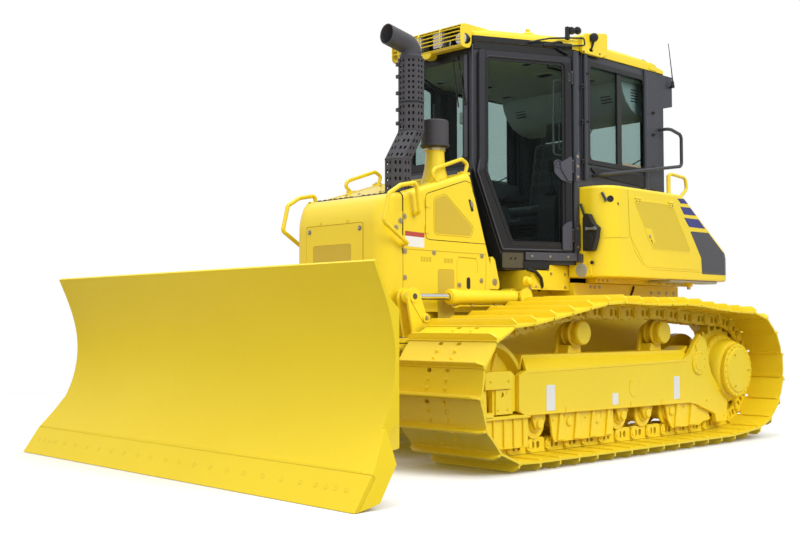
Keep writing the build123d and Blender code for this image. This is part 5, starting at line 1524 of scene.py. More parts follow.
# ---- cylinders ------------------------------------------------------------------
def cylinder(name, p, q, axis, r_b, r_r, eye_w, body_len, rod_in, eye_r, pin, hose_side):
    P, Q, ax = Vector(p), Vector(q), Vector(axis).normalized()
    u = (Q - P).normalized()
    L = (Q - P).length
    sh = max(eye_r + 8, 54)
    g = Geo()
    # rear eye: ring with an eased rim and a bush
    g.add(lathe([(0, eye_r - 3), (3, eye_r), (eye_w - 3, eye_r), (eye_w, eye_r - 3), (eye_w, pin + 5), (0, pin + 5)], P - ax * eye_w / 2, ax, 36))
    g.add(lathe([(1, pin + 6), (eye_w - 1, pin + 6), (eye_w - 1, pin + 1), (1, pin + 1)], P - ax * eye_w / 2, ax, 32), 2)
    g.add(lathe([(0, eye_w * 0.40), (20, eye_w * 0.42), (sh - eye_r + 12, r_b * 0.9), (sh - eye_r + 22, r_b)], P + u * (eye_r - 8), u, 36))
    # tube, end cap, gland and wiper
    g.add(lathe([(sh, r_b - 4), (sh + 4, r_b), (body_len - 66, r_b), (body_len - 62, r_b + 2), (body_len - 60, r_b + 6), (body_len - 10, r_b + 6),
                 (body_len - 4, r_b + 3), (body_len, r_b - 4), (body_len, r_r + 8), (body_len + 6, r_r + 7), (body_len + 7, r_r + 3),
                 (body_len + 3, r_r + 0.6), (body_len - 8, r_r + 0.6)], P, u, 44))
    g.add(lathe([(body_len - 6, r_r + 7), (body_len + 4, r_r + 7), (body_len + 5.5, r_r + 5), (body_len + 5.5, r_r + 0.8)], P, u, 36), 3)
    hv = Vector(hose_side).normalized()
    # weld bead at the rear cap
    g.add(lathe([(sh + 26, r_b), (sh + 29, r_b + 2.5), (sh + 33, r_b + 2.5), (sh + 36, r_b)], P, u, 36))
    # ports and the steel pipe along the tube
    a0, a1 = sh + 46, body_len - 84
    for a in (a0, a1 + 52):
        c = P + u * a + hv * (r_b - 4)
        g.add(lathe([(0, 17), (12, 17), (14, 15), (24, 13), (26, 10), (26, 0)], c, hv, 18), 1)
    pts = [P + u * (a1 + 52) + hv * (r_b + 20), P + u * (a1 + 20) + hv * (r_b + 22), P + u * (a1 - 20) + hv * (r_b + 12), P + u * (a0 + 70) + hv * (r_b + 12)]
    g.add(tube([tuple(x) for x in pts], 7, 14, 10), 4)
    for s in (0.3, 0.75):
        c = P + u * (a0 + (a1 - a0) * s) + hv * (r_b + 2)
        w = u.cross(hv)
        m = Matrix.Identity(4)
        for i, vec in enumerate((w, u, hv)):
            for j in range(3):
                m[j][i] = vec[j]
        m.translation = c
        g.add(block(-14, 14, -9, 9, -4, 18, 2, 1), 1, m)
    make(name[0], g, [M_FRAME, M_ZINC, M_CAST, M_BLACK, M_FRAME], name[1], name[1], sharp=34)
    # rod with its eye
    g = Geo()
    g.add(lathe([(rod_in, r_r - 2), (rod_in + 2, r_r), (L - eye_r - 6, r_r)], P, u, 36), 1)
    g.add(lathe([(0, eye_r - 3), (3, eye_r), (eye_w - 3, eye_r), (eye_w, eye_r - 3), (eye_w, pin + 5), (0, pin + 5)], Q - ax * eye_w / 2, ax, 36))
    g.add(lathe([(1, pin + 6), (eye_w - 1, pin + 6), (eye_w - 1, pin + 1), (1, pin + 1)], Q - ax * eye_w / 2, ax, 32), 2)
    g.add(lathe([(L - eye_r - 22, r_r + 3), (L - eye_r - 18, r_r + 6), (L - eye_r - 4, eye_w * 0.42), (L - eye_r + 10, eye_w * 0.42)], P, u, 36))
    make(name[2], g, [M_FRAME, M_CHROME, M_CAST], name[3], name[3], sharp=34)


for side, sx in (("left", 1), ("right", -1)):
    cylinder(("lift_tube_" + side, "lift_barrel_" + side, "lift_ram_" + side, "lift_rod_" + side),
             (sx * 550, 887, 1039), (sx * 550, -172, 1027), (1, 0, 0), 46, 22, 52, 700, 332, 46, 22, (0, 0, -1))
    cylinder(("angle_tube_" + side, "angle_barrel_" + side, "angle_ram_" + side, "angle_rod_" + side),
             (sx * 550, -225, 700), (sx * 470, -1080, 700), (0, 0, 1), 44, 22, 68, 540, 293, 34, 18, (0, 0, 1))
cylinder(("tilt_tube", "tilt_barrel", "tilt_ram", "tilt_rod"), (-360, -1160, 930), (400, -1160, 930), (0, 1, 0), 34, 20, 50, 520, 165, 38, 18, (0, 0, 1))

# pin caps and pin heads at the lift cylinders' rear clevis on the hull
g = Geo()
for sx in (1, -1):
    for a, b in ((505, 519), (581, 595)):
        pass
    g.add(lathe([(0, 42), (4, 42), (6, 39), (6, 0)], (sx * 598, 919, 1067), (sx, 0, 0), 30))
    g.add(lathe([(5, 10), (8, 10), (8, 6), (6, 5), (6, 0)], (sx * 598, 912, 1052), (sx, 0, 0), 16), 1)
    g.add(lathe([(5, 15), (9, 15), (10, 12), (10, 5), (8, 4), (8, 0)], (sx * 598, 940, 1096), (sx, 0, 0), 18), 2)
make("lift_pin_caps", g, [M_FRAME, M_CAST, M_ZINC], "chassis", sharp=34)
# ---------------------------------------------------------------------------
# Cab.  Door plane: s runs back along the doorway, n stands out from it.
# ---------------------------------------------------------------------------
DA, DAB, DN = (352.0, 653.0), (0.4236, 0.9059), (0.9059, -0.4236)
DOOR_OUT = [(25, 2760), (733, 2760), (733, 1365), (194, 1365), (8, 1902), (25, 1993)]
DOOR_IN = [(80, 2709), (685, 2709), (685, 1416), (270, 1416), (72, 1921), (80, 1993)]
M_OLIVE = paint("foot_olive", (0.085, 0.075, 0.045), (0.07, 0.062, 0.037), 0.6, 0.0, 0.0002)
M_BAND = plastic("glass_border", (0.010, 0.010, 0.011), 0.35, 0.0001, 1200.0)
M_GREY = plastic("grab_grey", (0.16, 0.17, 0.17), 0.45, 0.0001, 900.0)
M_KNOB = plastic("knob_black", (0.012, 0.012, 0.013), 0.3, 0.0001, 1200.0)


def dp(s, z, n):
    return (DA[0] + DAB[0] * s + DN[0] * n, DA[1] + DAB[1] * s + DN[1] * n, z)


def door_prism(pts, n0, n1, bev=0.0, seg=1):
    k = len(pts)
    v = [dp(s, z, n0) for s, z in pts] + [dp(s, z, n1) for s, z in pts]
    f = [tuple(range(k)), tuple(range(2 * k - 1, k - 1, -1))] + [(i, i + k, (i + 1) % k + k, (i + 1) % k) for i in range(k)]
    v, f = outwards(v, f)
    return bevelled((v, f), bev, seg) if bev else (v, f)


def door_ring(outer, hole, n0, n1):
    v, f = holed(outer, [hole], n0, n1, "z")
    return outwards([dp(a[0], a[1], a[2]) for a in v], f)


def door_tube(pts, r, bend=20, n=8, k=4):
    return tube([dp(*p) for p in pts], r, bend, n, k)


def shrunk(pts, d):
    """outline moved in by d"""
    k = len(pts)
    ar = sum(pts[i - 1][0] * pts[i][1] - pts[i][0] * pts[i - 1][1] for i in range(k))
    sg = 1 if ar > 0 else -1
    out = []
    for i in range(k):
        p0, p1, p2 = Vector(pts[i - 1]), Vector(pts[i]), Vector(pts[(i + 1) % k])
        a, b = (p1 - p0).normalized(), (p2 - p1).normalized()
        na, nb = Vector((-a.y, a.x)) * sg, Vector((-b.y, b.x)) * sg
        m = (na + nb)
        m = m / max(m.dot(na), 1e-6)
        q = p1 + m * d
        out.append((q.x, q.y))
    return out


def closed_tube(pts, r, n=6):
    """thin bead round a closed outline given as 3-D points"""
    k = len(pts)
    v, f = [], []
    P = [Vector(p) for p in pts]
    for i in range(k):
        t = (P[(i + 1) % k] - P[i - 1]).normalized()
        _, u, w = basis(t)
        if i and u.dot(pu) < 0:
            u, w = -u, -w
        pu = u
        for j in range(n):
            a = 2 * math.pi * j / n
            v.append(tuple(P[i] + (u * math.cos(a) + w * math.sin(a)) * r))
    for i in range(k):
        for j in range(n):
            i2, j2 = (i + 1) % k, (j + 1) % n
            f.append((i * n + j, i2 * n + j, i2 * n + j2, i * n + j2))
    return outwards(v, f)


for side, sx in (("left", 1), ("right", -1)):
    # ---- door: pressed frame, seals, dark glass border, hinges, latches -----
    g = Geo()
    out_r = rounded_poly(DOOR_OUT, [28, 28, 22, 22, 30, 60], 4)
    in_r = rounded_poly(DOOR_IN, [34, 34, 30, 30, 40, 60], 4)
    in_r2 = rounded_poly(shrunk(DOOR_IN, -7), [38, 38, 34, 34, 44, 60], 4)
    g.add(bevelled(door_ring(out_r, in_r, 6, 27), 4.0, 2, 40), 1)
    g.add(door_prism(rounded_poly([(29, 2755), (76, 2755), (76, 1996), (70, 1935), (20, 1908), (29, 1994)], [16, 4, 10, 8, 8, 10], 3), 26, 29.5, 2, 1))
    g.add(door_prism(rounded_poly([(78, 2755), (728, 2755), (728, 2714), (78, 2714)], [4, 16, 4, 4], 3), 26, 29.0, 2, 1))
    g.add(closed_tube([dp(s, z, 5) for s, z in rounded_poly(shrunk(DOOR_OUT, 9), [24, 24, 20, 20, 26, 50], 4)], 4.5), 1)
    g.add(closed_tube([dp(s, z, 27) for s, z in in_r2], 4.0), 1)
    edge2 = rounded_poly(shrunk(DOOR_IN, 17), [22, 22, 20, 20, 26, 40], 4)
    g.add(door_ring(in_r, edge2, 20.1, 21.2), 1)
    g.add(door_ring(in_r, edge2, 12.8, 13.9), 1)
    g.add(door_prism([(689, 2700), (730, 2700), (730, 1400), (689, 1400)], 27, 30, 1.5, 1), 1)
    g.add(door_tube([(32, 1990, 27), (16, 1903, 27), (199, 1374, 27), (728, 1374, 27)], 5.5, 16, 8), 5)
    for z0, z1 in ((1442, 1519), (1936, 2013), (2570, 2647)):
        c = dp(744, z0, 30)
        g.add(lathe([(0, 8), (1, 9), (76, 9), (77, 8)], c, (0, 0, 1), 14))
        g.add(lathe([(-4, 5), (0, 6.5), (77, 6.5), (82, 5)], c, (0, 0, 1), 10), 2)
        g.add(door_prism(slot_pts(722, (z0 + z1) / 2, 30, 70, 8, 3), 27, 33, 1.5, 1))
        for dz in (-22, 22):
            g.add(hexbolt(dp(716, (z0 + z1) / 2 + dz, 33), (DN[0], DN[1], 0), 5.5, 4), 3)
    # lower latch plate and the middle bracket with its lock
    g.add(door_prism(rounded_poly([(657, 1375), (731, 1375), (731, 1583), (690, 1570), (657, 1545)], [10, 4, 6, 20, 26], 4), 27, 43, 4, 2), 5)
    for z in (1400, 1470, 1540):
        g.add(hexbolt(dp(716, z, 43), (DN[0], DN[1], 0), 6, 4), 3)
    g.add(door_prism(rounded_poly([(640, 1994), (733, 2046), (733, 1862), (700, 1866), (648, 1946)], [14, 10, 8, 12, 20], 4), 27, 46, 4, 2), 5)
    g.add(door_prism(rounded_poly([(596, 1982), (640, 1978), (706, 1876), (731, 1872), (731, 1846), (650, 1874), (600, 1920)], [20, 12, 10, 6, 8, 20, 24], 4), 26, 36, 3, 2), 5)
    c = dp(624, 1986, 24)
    dnv = (DN[0], DN[1], 0)
    g.add(lathe([(0, 30), (14, 30), (17, 28), (17, 22), (8, 20), (8, 12), (13, 11), (15, 7), (15, 0)], c, dnv, 22), 5)
    # grab bar inside the glass
    g.add(door_tube([(688, 2596, 8), (660, 2596, -20), (622, 2590, -22), (617, 2300, -24), (622, 2062, -22), (660, 2056, -20), (688, 2056, 8)], 8, 26, 10), 4)
    g.add(door_tube([(688, 2480, 8), (664, 2480, -16), (660, 2100, -16), (688, 2096, 8)], 5, 18, 8), 4)
    make("door_panel_" + side, g, [M_CABD, M_BAND, M_ZINC, M_CAST, M_GREY, M_CABV], "cab_door_" + side, "cab_door_" + side, side=sx)

    # ---- posts, sill, mounts and seals on the cab ----------------------------
    g = Geo()
    # corner post and the pipe behind it
    g.add(prism(rounded_poly([(668, 1334), (694, 1334), (706, 1352), (702, 1388), (680, 1388)], [6, 12, 14, 8, 4], 3), 1300, 2806, "z", 2, 1))
    g.add(tube([(696, 1462, 2806), (697, 1462, 2100), (696, 1462, 1892)], 19, 0, 14))
    g.add(tube([(706, 1412, 2806), (707, 1412, 1880)], 4.5, 0, 8), 1)
    for z in (2564, 2306, 2020):
        g.add(lathe([(0, 15), (9, 15), (12, 12), (12, 7), (22, 7), (23, 5)], (702, 1420, z), (1, 0, 0), 16), 1)
    for z in (2311, 2660):
        g.add(lathe([(0, 13), (7, 13), (10, 10), (10, 6), (17, 6)], (712, 1470, z), (1, 0, 0), 14), 1)
    # rear post with a raised front edge
    g.add(prism(rounded_poly([(686, 2222), (701, 2228), (704, 2246), (698, 2262), (698, 2392), (686, 2396)], [4, 6, 8, 6, 5, 4], 3), 1892, 2812, "z", 2, 1))
    for z in (2492, 2321, 2062):
        g.add(lathe([(0, 13), (8, 13), (11, 10), (11, 6), (18, 6)], (698, 2335, z), (1, 0, 0), 14), 1)
    # seal round the side window, its centre bar and lower rail
    ow = rounded_poly([(1497, 2012), (2240, 2012), (2240, 2768), (1497, 2768)], 26, 4)
    iw = rounded_poly([(1532, 2045), (2216, 2045), (2216, 2732), (1532, 2732)], 34, 4)
    g.add(holed(ow, [iw], 683, 690.5, "x"), 2)
    g.add(prism(rounded_poly([(1884, 2030), (1942, 2030), (1942, 2745), (1884, 2745)], 5, 2), 662, 680, "x", 2, 1), 2)
    g.add(block(661, 676, 1955, 2200, 2046, 2066, 3, 1), 3)
    g.add(tube([(664, 2080, 2060), (664, 2200, 2112)], 5, 0, 8), 2)
    # black band under the lower rail, widening towards the rear: painted shadow of the rail
    g.add(prism(rounded_poly([(1545, 1990), (2235, 1990), (2235, 1900), (1620, 1935), (1545, 1975)], 8, 3), 684, 692, "x", 1, 1), 2)
    # fixed halves of the lock and latch brackets on the rear post
    g.add(door_prism(rounded_poly([(768, 1868), (800, 1866), (800, 2096), (768, 2056)], [4, 8, 12, 6], 3), 8, 30, 3, 2), 5)
    g.add(door_prism(rounded_poly([(768, 1372), (800, 1372), (800, 1560), (768, 1575)], [4, 8, 12, 6], 3), 8, 30, 3, 2), 5)
    for z in (1900, 1975, 2045, 1400, 1530):
        g.add(hexbolt(dp(785, z, 30), (DN[0], DN[1], 0), 8, 5), 3)
    # skirt above the tank with its bolts
    g.add(prism([(1392, 1842), (2300, 1842), (2360, 1826), (2497, 1747), (2497, 1890), (1392, 1890)], 674, 686.5, "x", 2, 1))
    g.add(prism([(1392, 1836), (2300, 1836), (2300, 1845), (1392, 1845)], 670, 690, "x", 2, 1), 2)
    for y in (1790, 2140, 2400):
        g.add(hexbolt((686.5, y, 1867), (1, 0, 0), 8, 6), 3)
    # mount block, sill bar and step under the door
    g.add(door_prism(rounded_poly([(201, 1244), (366, 1244), (366, 1352), (201, 1352)], 5, 2), 1, 16, 3, 1), 4)
    for s in (268, 300):
        g.add(lathe([(0, 7), (5, 7), (6, 5), (6, 0)], dp(s, 1312, 16), dnv, 12), 1)
    g.add(door_prism(rounded_poly([(371, 1300), (772, 1300), (772, 1356), (371, 1356)], [6, 10, 10, 6], 3), 1, 36, 4, 2), 5)
    g.add(door_prism(rounded_poly([(362, 1241), (552, 1241), (560, 1268), (560, 1297), (362, 1297)], 5, 2), 1, 30, 4, 1), 1)
    for s in (420, 560, 700):
        g.add(hexbolt(dp(s, 1328, 36), dnv, 7, 5), 3)
    g.add(block(640, 736, 1368, 1372 + 4, 1290, 1352, 6, 1), 5)
    g.add(block(690, 740, 1345, 1374, 1290, 1352, 8, 2), 5)
    # front post: blank sticker and drip edge
    g.add(door_tube([(-12, 2800, 6), (-14, 1960, 6), (4, 1900, 6), (196, 1345, 6)], 6, 30, 8), 5)
    g.add(door_prism(rounded_poly([(30, 2395), (56, 2395), (56, 2560), (30, 2560)], 5, 3), 27.2, 27.9), 6)
    # dark moulding over the door
    g.add(door_prism([(-4, 2764), (764, 2764), (764, 2816), (-4, 2816)], 0.5, 9, 2, 1), 1)
    make("cab_side_details_" + side, g, [M_CAB, M_KNOB, M_BAND, M_ZINC, M_OLIVE, M_CABV, M_WHITE], "chassis", side=sx)

    # rubber flap and clamp between the cab's corner and the tank
    g = Geo()
    g.add(prism(rounded_poly([(768, 1366), (852, 1366), (880, 1452), (893, 1528), (852, 1562), (812, 1634), (782, 1628), (768, 1600)], [10, 20, 20, 20, 20, 24, 20, 10], 3), 1322, 1372, "y", 8, 2))
    g.add(prism(rounded_poly([(772, 1385), (838, 1385), (862, 1455), (838, 1500), (772, 1500)], 14, 3), 1316, 1324, "y", 3, 1))
    g.add(rod((802, 1314, 1521), (892, 1314, 1518), 9, 14, 2), 1)
    for x in (808, 874):
        g.add(lathe([(0, 14), (6, 14), (8, 11), (8, 0)], (x, 1314, 1520), (1, 0, 0), 14), 1)
    g.add(lathe([(0, 13), (10, 13), (14, 9), (14, 0)], (815, 1372, 1287), (0, -1, 0), 14))
    g.add(tube([(772, 1352, 1600), (748, 1352, 1660), (722, 1366, 1705)], 9, 20, 8))
    make("corner_flap_" + side, g, [M_RUBBER, M_GREY, M_BAND], "chassis", side=sx)

    # ---- lamps and mirror bracket at the roof's corner -----------------------
    g = Geo()
    g.add(tube([(560, 1010, 2838), (640, 1120, 2868), (700, 1250, 2884), (722, 1420, 2908), (722, 1432, 2858), (706, 1310, 2836), (650, 1180, 2830)], 6.5, 14, 8))
    g.add(door_prism(rounded_poly([(470, 2824), (640, 2868), (690, 2868), (640, 2824)], 8, 2), 16, 24, 2, 1))
    g.add(block(694, 722, 1232, 1262, 2868, 2962, 6, 2))
    for y, z in ((1279, 2936), (1350, 2950)):
        g.add(lathe([(0, 12), (4, 24), (20, 27), (34, 27), (38, 24), (38, 0)], (713, y + 20, z), (0.35, -1, 0.0), 18))
        g.add(lathe([(38, 22), (40, 20), (41, 0)], (713, y + 20, z), (0.35, -1, 0.0), 18), 1)
    g.add(rod((708, 1245, 2945), (708, 1380, 2952), 7, 10))
    g.add(lathe([(-16, 0), (-15, 20), (-6, 31), (12, 33), (18, 30), (18, 0)], (742, 1516, 2925), (0.5, -1, 0.0), 22))
    g.add(lathe([(18, 28), (20.5, 24), (21.5, 0)], (742, 1516, 2925), (0.5, -1, 0.0), 20), 1)
    g.add(tube([(736, 1520, 2900), (728, 1512, 2862), (716, 1506, 2838)], 8, 10, 8))
    g.add(prism(slot_pts(1506, 2836, 46, 26, 8, 3), 714, 722, "x", 2, 1))
    g.add(door_tube([(640, 2822, 18), (690, 2792, 22), (720, 2776, 22)], 7, 10, 8))
    g.add(door_tube([(600, 2832, 18), (660, 2800, 26), (722, 2774, 30)], 5, 10, 8))
    make("corner_lamps_" + side, g, [M_KNOB, M_BAND], "chassis", side=sx)

# ---- roof --------------------------------------------------------------------
def roof_ring(d, zt, cap=None):
    """outline of the roof moved out by d, with rounded corners and the rear slope"""
    base = [(-352.0, 653.0), (352.0, 653.0), (677.0, 1348.0), (687.0, 2497.0), (-687.0, 2497.0), (-677.0, 1348.0)]
    q = shrunk(base, -d)
    q = rounded_poly(q, [24, 24, 60, 34, 34, 60], 4)
    out = []
    for i in range(len(q)):
        a, b = q[i], q[(i + 1) % len(q)]
        out.append(a)
        if i % 5 == 4:
            k = (6, 6, 10, 12, 10, 6)[i // 5]
            for j in range(1, k):
                out.append((a[0] + (b[0] - a[0]) * j / k, a[1] + (b[1] - a[1]) * j / k))
    res = []
    for x, y in out:
        lim = 2922.0 if y < 2105 else 2922.0 - (y - 2105) * 0.163
        res.append((x, y, min(zt, lim - (2922.0 - zt) * 0.35 if y > 2105 else zt)))
    return res


LEV = [(11, 2819), (12, 2822), (12, 2858), (12, 2874), (9, 2886), (2, 2894), (-10, 2897), (-34, 2898), (-40, 2904), (-43, 2914), (-52, 2920), (-70, 2922)]
rings = [roof_ring(d, z) for d, z in LEV]
n = len(rings[0])
g = Geo()
v = [p for r in rings for p in r]
f0, f1 = [], []
for i in range(len(rings) - 1):
    for j in range(n):
        k = (j + 1) % n
        q = (i * n + j, i * n + k, (i + 1) * n + k, (i + 1) * n + j)
        dark = i < 2 and rings[0][j][1] < 1300 and rings[0][k][1] < 1340
        (f1 if dark else f0).append(q)
top = (len(rings) - 1) * n


def cap_strip(start, ring):
    """indices of the ring's points on each side of the middle, each side sorted along y"""
    order = sorted(range(n), key=lambda i: (round(ring[i][1], 1)))
    L = sorted([i for i in range(n) if ring[i][0] < 0], key=lambda i: (ring[i][1], ring[i][0]))
    Rr = sorted([i for i in range(n) if ring[i][0] >= 0], key=lambda i: (ring[i][1], -ring[i][0]))
    return L, Rr


ring_t = rings[-1]
fc = [tuple(range(top, top + n))]
bm = bmesh.new()
bv = [bm.verts.new(p) for p in v]
for q in f0 + f1 + fc + [tuple(reversed(range(n)))]:
    bm.faces.new([bv[i] for i in q])
bmesh.ops.recalc_face_normals(bm, faces=bm.faces)
bm.verts.index_update()
bm.faces.ensure_lookup_table()
allf = [tuple(x.index for x in q.verts) for q in bm.faces]
bmesh.ops.triangulate(bm, faces=[bm.faces[len(f0) + len(f1)], bm.faces[len(f0) + len(f1) + 1]])
bm.verts.index_update()
tri = [tuple(x.index for x in q.verts) for q in bm.faces]
bm.free()
g.v.append(np.array(v, float))
g.n = len(v)
nf0 = len(f0)
set1 = set(tuple(sorted(q)) for q in f1)
for q in tri:
    g.f.append(q)
    g.m.append(1 if tuple(sorted(q)) in set1 else 0)
for sx in (1, -1):
    # lamp boxes at the roof's corners, rounded, with their lower lip
    box_v = prism(rounded_poly([(1404, 2802), (1640, 2802), (1712, 2830), (1714, 2985), (1690, 2994), (1440, 2950), (1404, 2925)], [26, 20, 14, 14, 14, 30, 24], 4), 690, 722, "x", 9, 2)
    box_t = prism(rounded_poly([(1406, 2862), (1712, 2862), (1712, 2984), (1690, 2992), (1440, 2948), (1406, 2922)], [8, 8, 14, 14, 30, 24], 4), 600, 694, "x", 3, 1)
    for b in (box_v, box_t):
        g.add(b if sx > 0 else mirrored(b))
    for y, z in ((1420, 2812), (1612, 2826)):
        b = hexbolt((722, y, z), (1, 0, 0), 6, 5)
        g.add(b if sx > 0 else mirrored(b), 2)
    # step and tab near the rear end
    b = prism(rounded_poly([(2283, 2862), (2300, 2882), (2372, 2872), (2393, 2838), (2390, 2822), (2283, 2826)], 8, 3), 688, 703, "x", 3, 1)
    g.add(b if sx > 0 else mirrored(b))
    # dark bracket on the roof's rear edge
    b = tube([(640, 2270, 2893), (640, 2284, 2908), (640, 2330, 2902), (640, 2345, 2882)], 7, 8, 8)
    g.add(b if sx > 0 else mirrored(b), 2)
    # lifting cap with a knob
    b = lathe([(0, 44), (10, 44), (16, 38), (18, 14), (30, 14), (38, 18), (44, 16), (46, 0)], (458, 1112, 2921), (0, 0, 1), 24)
    g.add(b if sx > 0 else mirrored(b))
# seam strips across the roof
for y in (1180, 1720, 2090):
    g.add(prism(slot_pts(0, y, 1050, 14, 6, 2), 2921, 2924, "z", 1, 1))
make("roof_shell", g, [M_BODY, M_KNOB, M_KNOB], "chassis", "cab_roof", sharp=36)

# ---- lamp guard over the windscreen --------------------------------------------
g = Geo()
GP = [(527, 2790), (533, 2774), (548, 2764), (590, 2762), (618, 2768), (633, 2785), (638, 2806), (640, 2862), (650, 2888), (672, 2902), (800, 2912),
      (800, 2931), (566, 2931), (545, 2924), (531, 2908), (526, 2890)]
for sx in (1, -1):
    a, b = sorted((sx * 338, sx * 345))
    g.add(prism(GP, a, b, "x", 2, 1))
    a, b = sorted((sx * 250, sx * 338))
# top sheet and lower trough
g.add(prism([(562, 2924), (800, 2924), (800, 2931), (560, 2931), (540, 2922), (543, 2916)], -340, 340, "x", 1, 1))
g.add(prism([(535, 2780), (550, 2766), (600, 2763), (626, 2776), (634, 2800), (628, 2801), (620, 2782), (598, 2770), (554, 2773), (541, 2785)], -340, 340, "x", 1, 1))
g.add(prism([(634, 2800), (640, 2800), (640, 2925), (634, 2925)], -340, 340, "x", 1, 1), 1)
for k, z in enumerate((2900, 2873, 2846, 2819)):
    y = 529
    g.add(tube([(-341, 556, z - 3), (-322, y, z), (322, y, z), (341, 556, z - 3)], 4.6, 16, 8))
for x in (-270, -66, 147):
    g.add(tube([(x, 540, 2921), (x, 523, 2905), (x, 522, 2800), (x, 536, 2778)], 4.6, 12, 8))
g.add(prism(rounded_poly([(-46, 2772), (-46, 2748), (-22, 2732), (26, 2732), (46, 2748), (46, 2772)], [2, 12, 16, 16, 12, 2], 4), 536, 604, "y", 3, 1))
# lamps: two square ones inside, a round one at each end
for sx in (1, -1):
    h = block(50, 156, 556, 630, 2790, 2908, 10, 3)
    g.add(h if sx > 0 else mirrored(h), 3)
    h = prism(slot_pts(103, 2849, 92, 104, 12, 4), 549, 557, "y", 3, 2)
    g.add(h if sx > 0 else mirrored(h), 2)
    h = lathe([(0, 30), (12, 44), (40, 50), (62, 50), (68, 46), (68, 0)], (300, 628, 2826), (0.25, -1, 0), 26)
    g.add(h if sx > 0 else mirrored(h), 1)
    h = lathe([(66, 44), (72, 42), (75, 30), (76, 0)], (300, 628, 2826), (0.25, -1, 0), 26)
    g.add(h if sx > 0 else mirrored(h), 2)
    h = lathe([(0, 22), (12, 34), (40, 38), (52, 38), (56, 35), (56, 0)], (218, 626, 2812), (-0.55, -1, 0), 24)
    g.add(h if sx > 0 else mirrored(h), 1)
    h = lathe([(55, 33), (60, 30), (62, 0)], (218, 626, 2812), (-0.55, -1, 0), 24)
    g.add(h if sx > 0 else mirrored(h), 2)
make("lamp_guard", g, [M_BODY, M_KNOB, M_LENS2, M_GREY], "chassis", "light_guard", sharp=36)

# ---- front of the cab: pillars, seals, wipers ------------------------------------
g = Geo()
of = slot_pts(0, 2358, 604, 800, 40, 5)
nf = slot_pts(0, 2358, 500, 700, 34, 5)
g.add(holed(of, [nf], 646, 654, "y"), 0)
for sx in (1, -1):
    for a, b in (((163, 2720), (218, 2373)), ((210, 2735), (292, 2376))):
        p, q = (a[0], 640, a[1]), (b[0], 640, b[1])
        t = rod(p, q, 4.5, 8)
        g.add(t if sx > 0 else mirrored(t), 2)
    t = tube([(a[0] * 0.5 + b[0] * 0.5, 634, (a[1] + b[1]) / 2), (284, 634, 2398), (284, 652, 2380)], 5.5, 12, 8)
    g.add(t if sx > 0 else mirrored(t), 2)
    t = lathe([(0, 18), (12, 18), (18, 12), (24, 12), (26, 0)], (284, 654, 2390), (0, -1, 0), 18)
    g.add(t if sx > 0 else mirrored(t), 2)
    t = prism(rounded_poly([(270, 2010), (300, 2010), (300, 2735), (270, 2735)], 8, 3), 638, 650, "y", 3, 1)
    g.add(t if sx > 0 else mirrored(t), 1)
    t = block(186, 246, 680, 706, 2262, 2342, 6, 2)
    if sx > 0:
        g.add(t, 3)
g.add(holed(slot_pts(0, 2260, 1050, 590, 30, 4), [slot_pts(0, 2260, 980, 520, 40, 4)], 2496, 2503, "y"), 0)
g.add(tube([(0, 2512, 2520), (0, 2508, 2480), (-190, 2508, 2230)], 5, 8, 8), 2)
g.add(rod((-190, 2504, 2400), (-190, 2504, 2080), 5, 8), 0)
g.add(block(-40, 40, 2497, 2520, 2535, 2575, 6, 2), 2)
for x in (-480, 480):
    g.add(lathe([(0, 36), (20, 46), (40, 46), (46, 42), (46, 0)], (x, 2628, 2700), (0, 1, -0.25), 24), 2)
    g.add(lathe([(45, 40), (50, 38), (52, 0)], (x, 2628, 2700), (0, 1, -0.25), 24), 4)
make("window_seals", g, [M_BAND, M_CABV, M_KNOB, M_WHITE, M_LENS2], "chassis", sharp=40)

# ---- antenna -----------------------------------------------------------------------
g = Geo()
g.add(lathe([(0, 15), (8, 15), (14, 12), (34, 11), (38, 8), (44, 8)], (709, 2604, 2738), (0, 0, 1), 18))
g.add(block(687, 718, 2587, 2621, 2728, 2742, 3, 1))
d = (Vector((702, 2558, 3080)) - Vector((709, 2604, 2780))).normalized()
g.add(lathe([(0, 6), (20, 5), (60, 4.2), (200, 3.4), (296, 2.6), (300, 2.6)], (709, 2604, 2780), d, 10))
make("antenna_mast", g, [M_KNOB], "chassis", "antenna")

# ---- inside: lining, vents, rear box, consoles, levers -------------------------------
g = Geo()
hl = shrunk([(-352.0, 653.0), (352.0, 653.0), (677.0, 1348.0), (687.0, 2440.0), (-687.0, 2440.0), (-677.0, 1348.0)], 52)
g.add(prism(rounded_poly(hl, 40, 4), 2724, 2766, "z", 14, 3))
for x, y, w, h in ((-430, 1130, 70, 60), (-300, 1500, 130, 90), (300, 1500, 130, 90), (430, 1130, 70, 60), (0, 1000, 120, 60), (-420, 1900, 90, 60), (420, 1900, 90, 60)):
    g.add(holed(slot_pts(x, y, w + 34, h + 34, 14, 4), [slot_pts(x, y, w, h, 8, 3)], 2716, 2725, "z"))
    g.add(prism(slot_pts(x, y, w + 2, h + 2, 8, 3), 2722, 2724.6, "z"), 1)
    for k in range(5):
        yy = y - h / 2 + h * (k + 0.5) / 5
        g.add(block(x - w / 2, x + w / 2, yy - 2, yy + 2, 2717, 2723, 0.8, 1), 1)
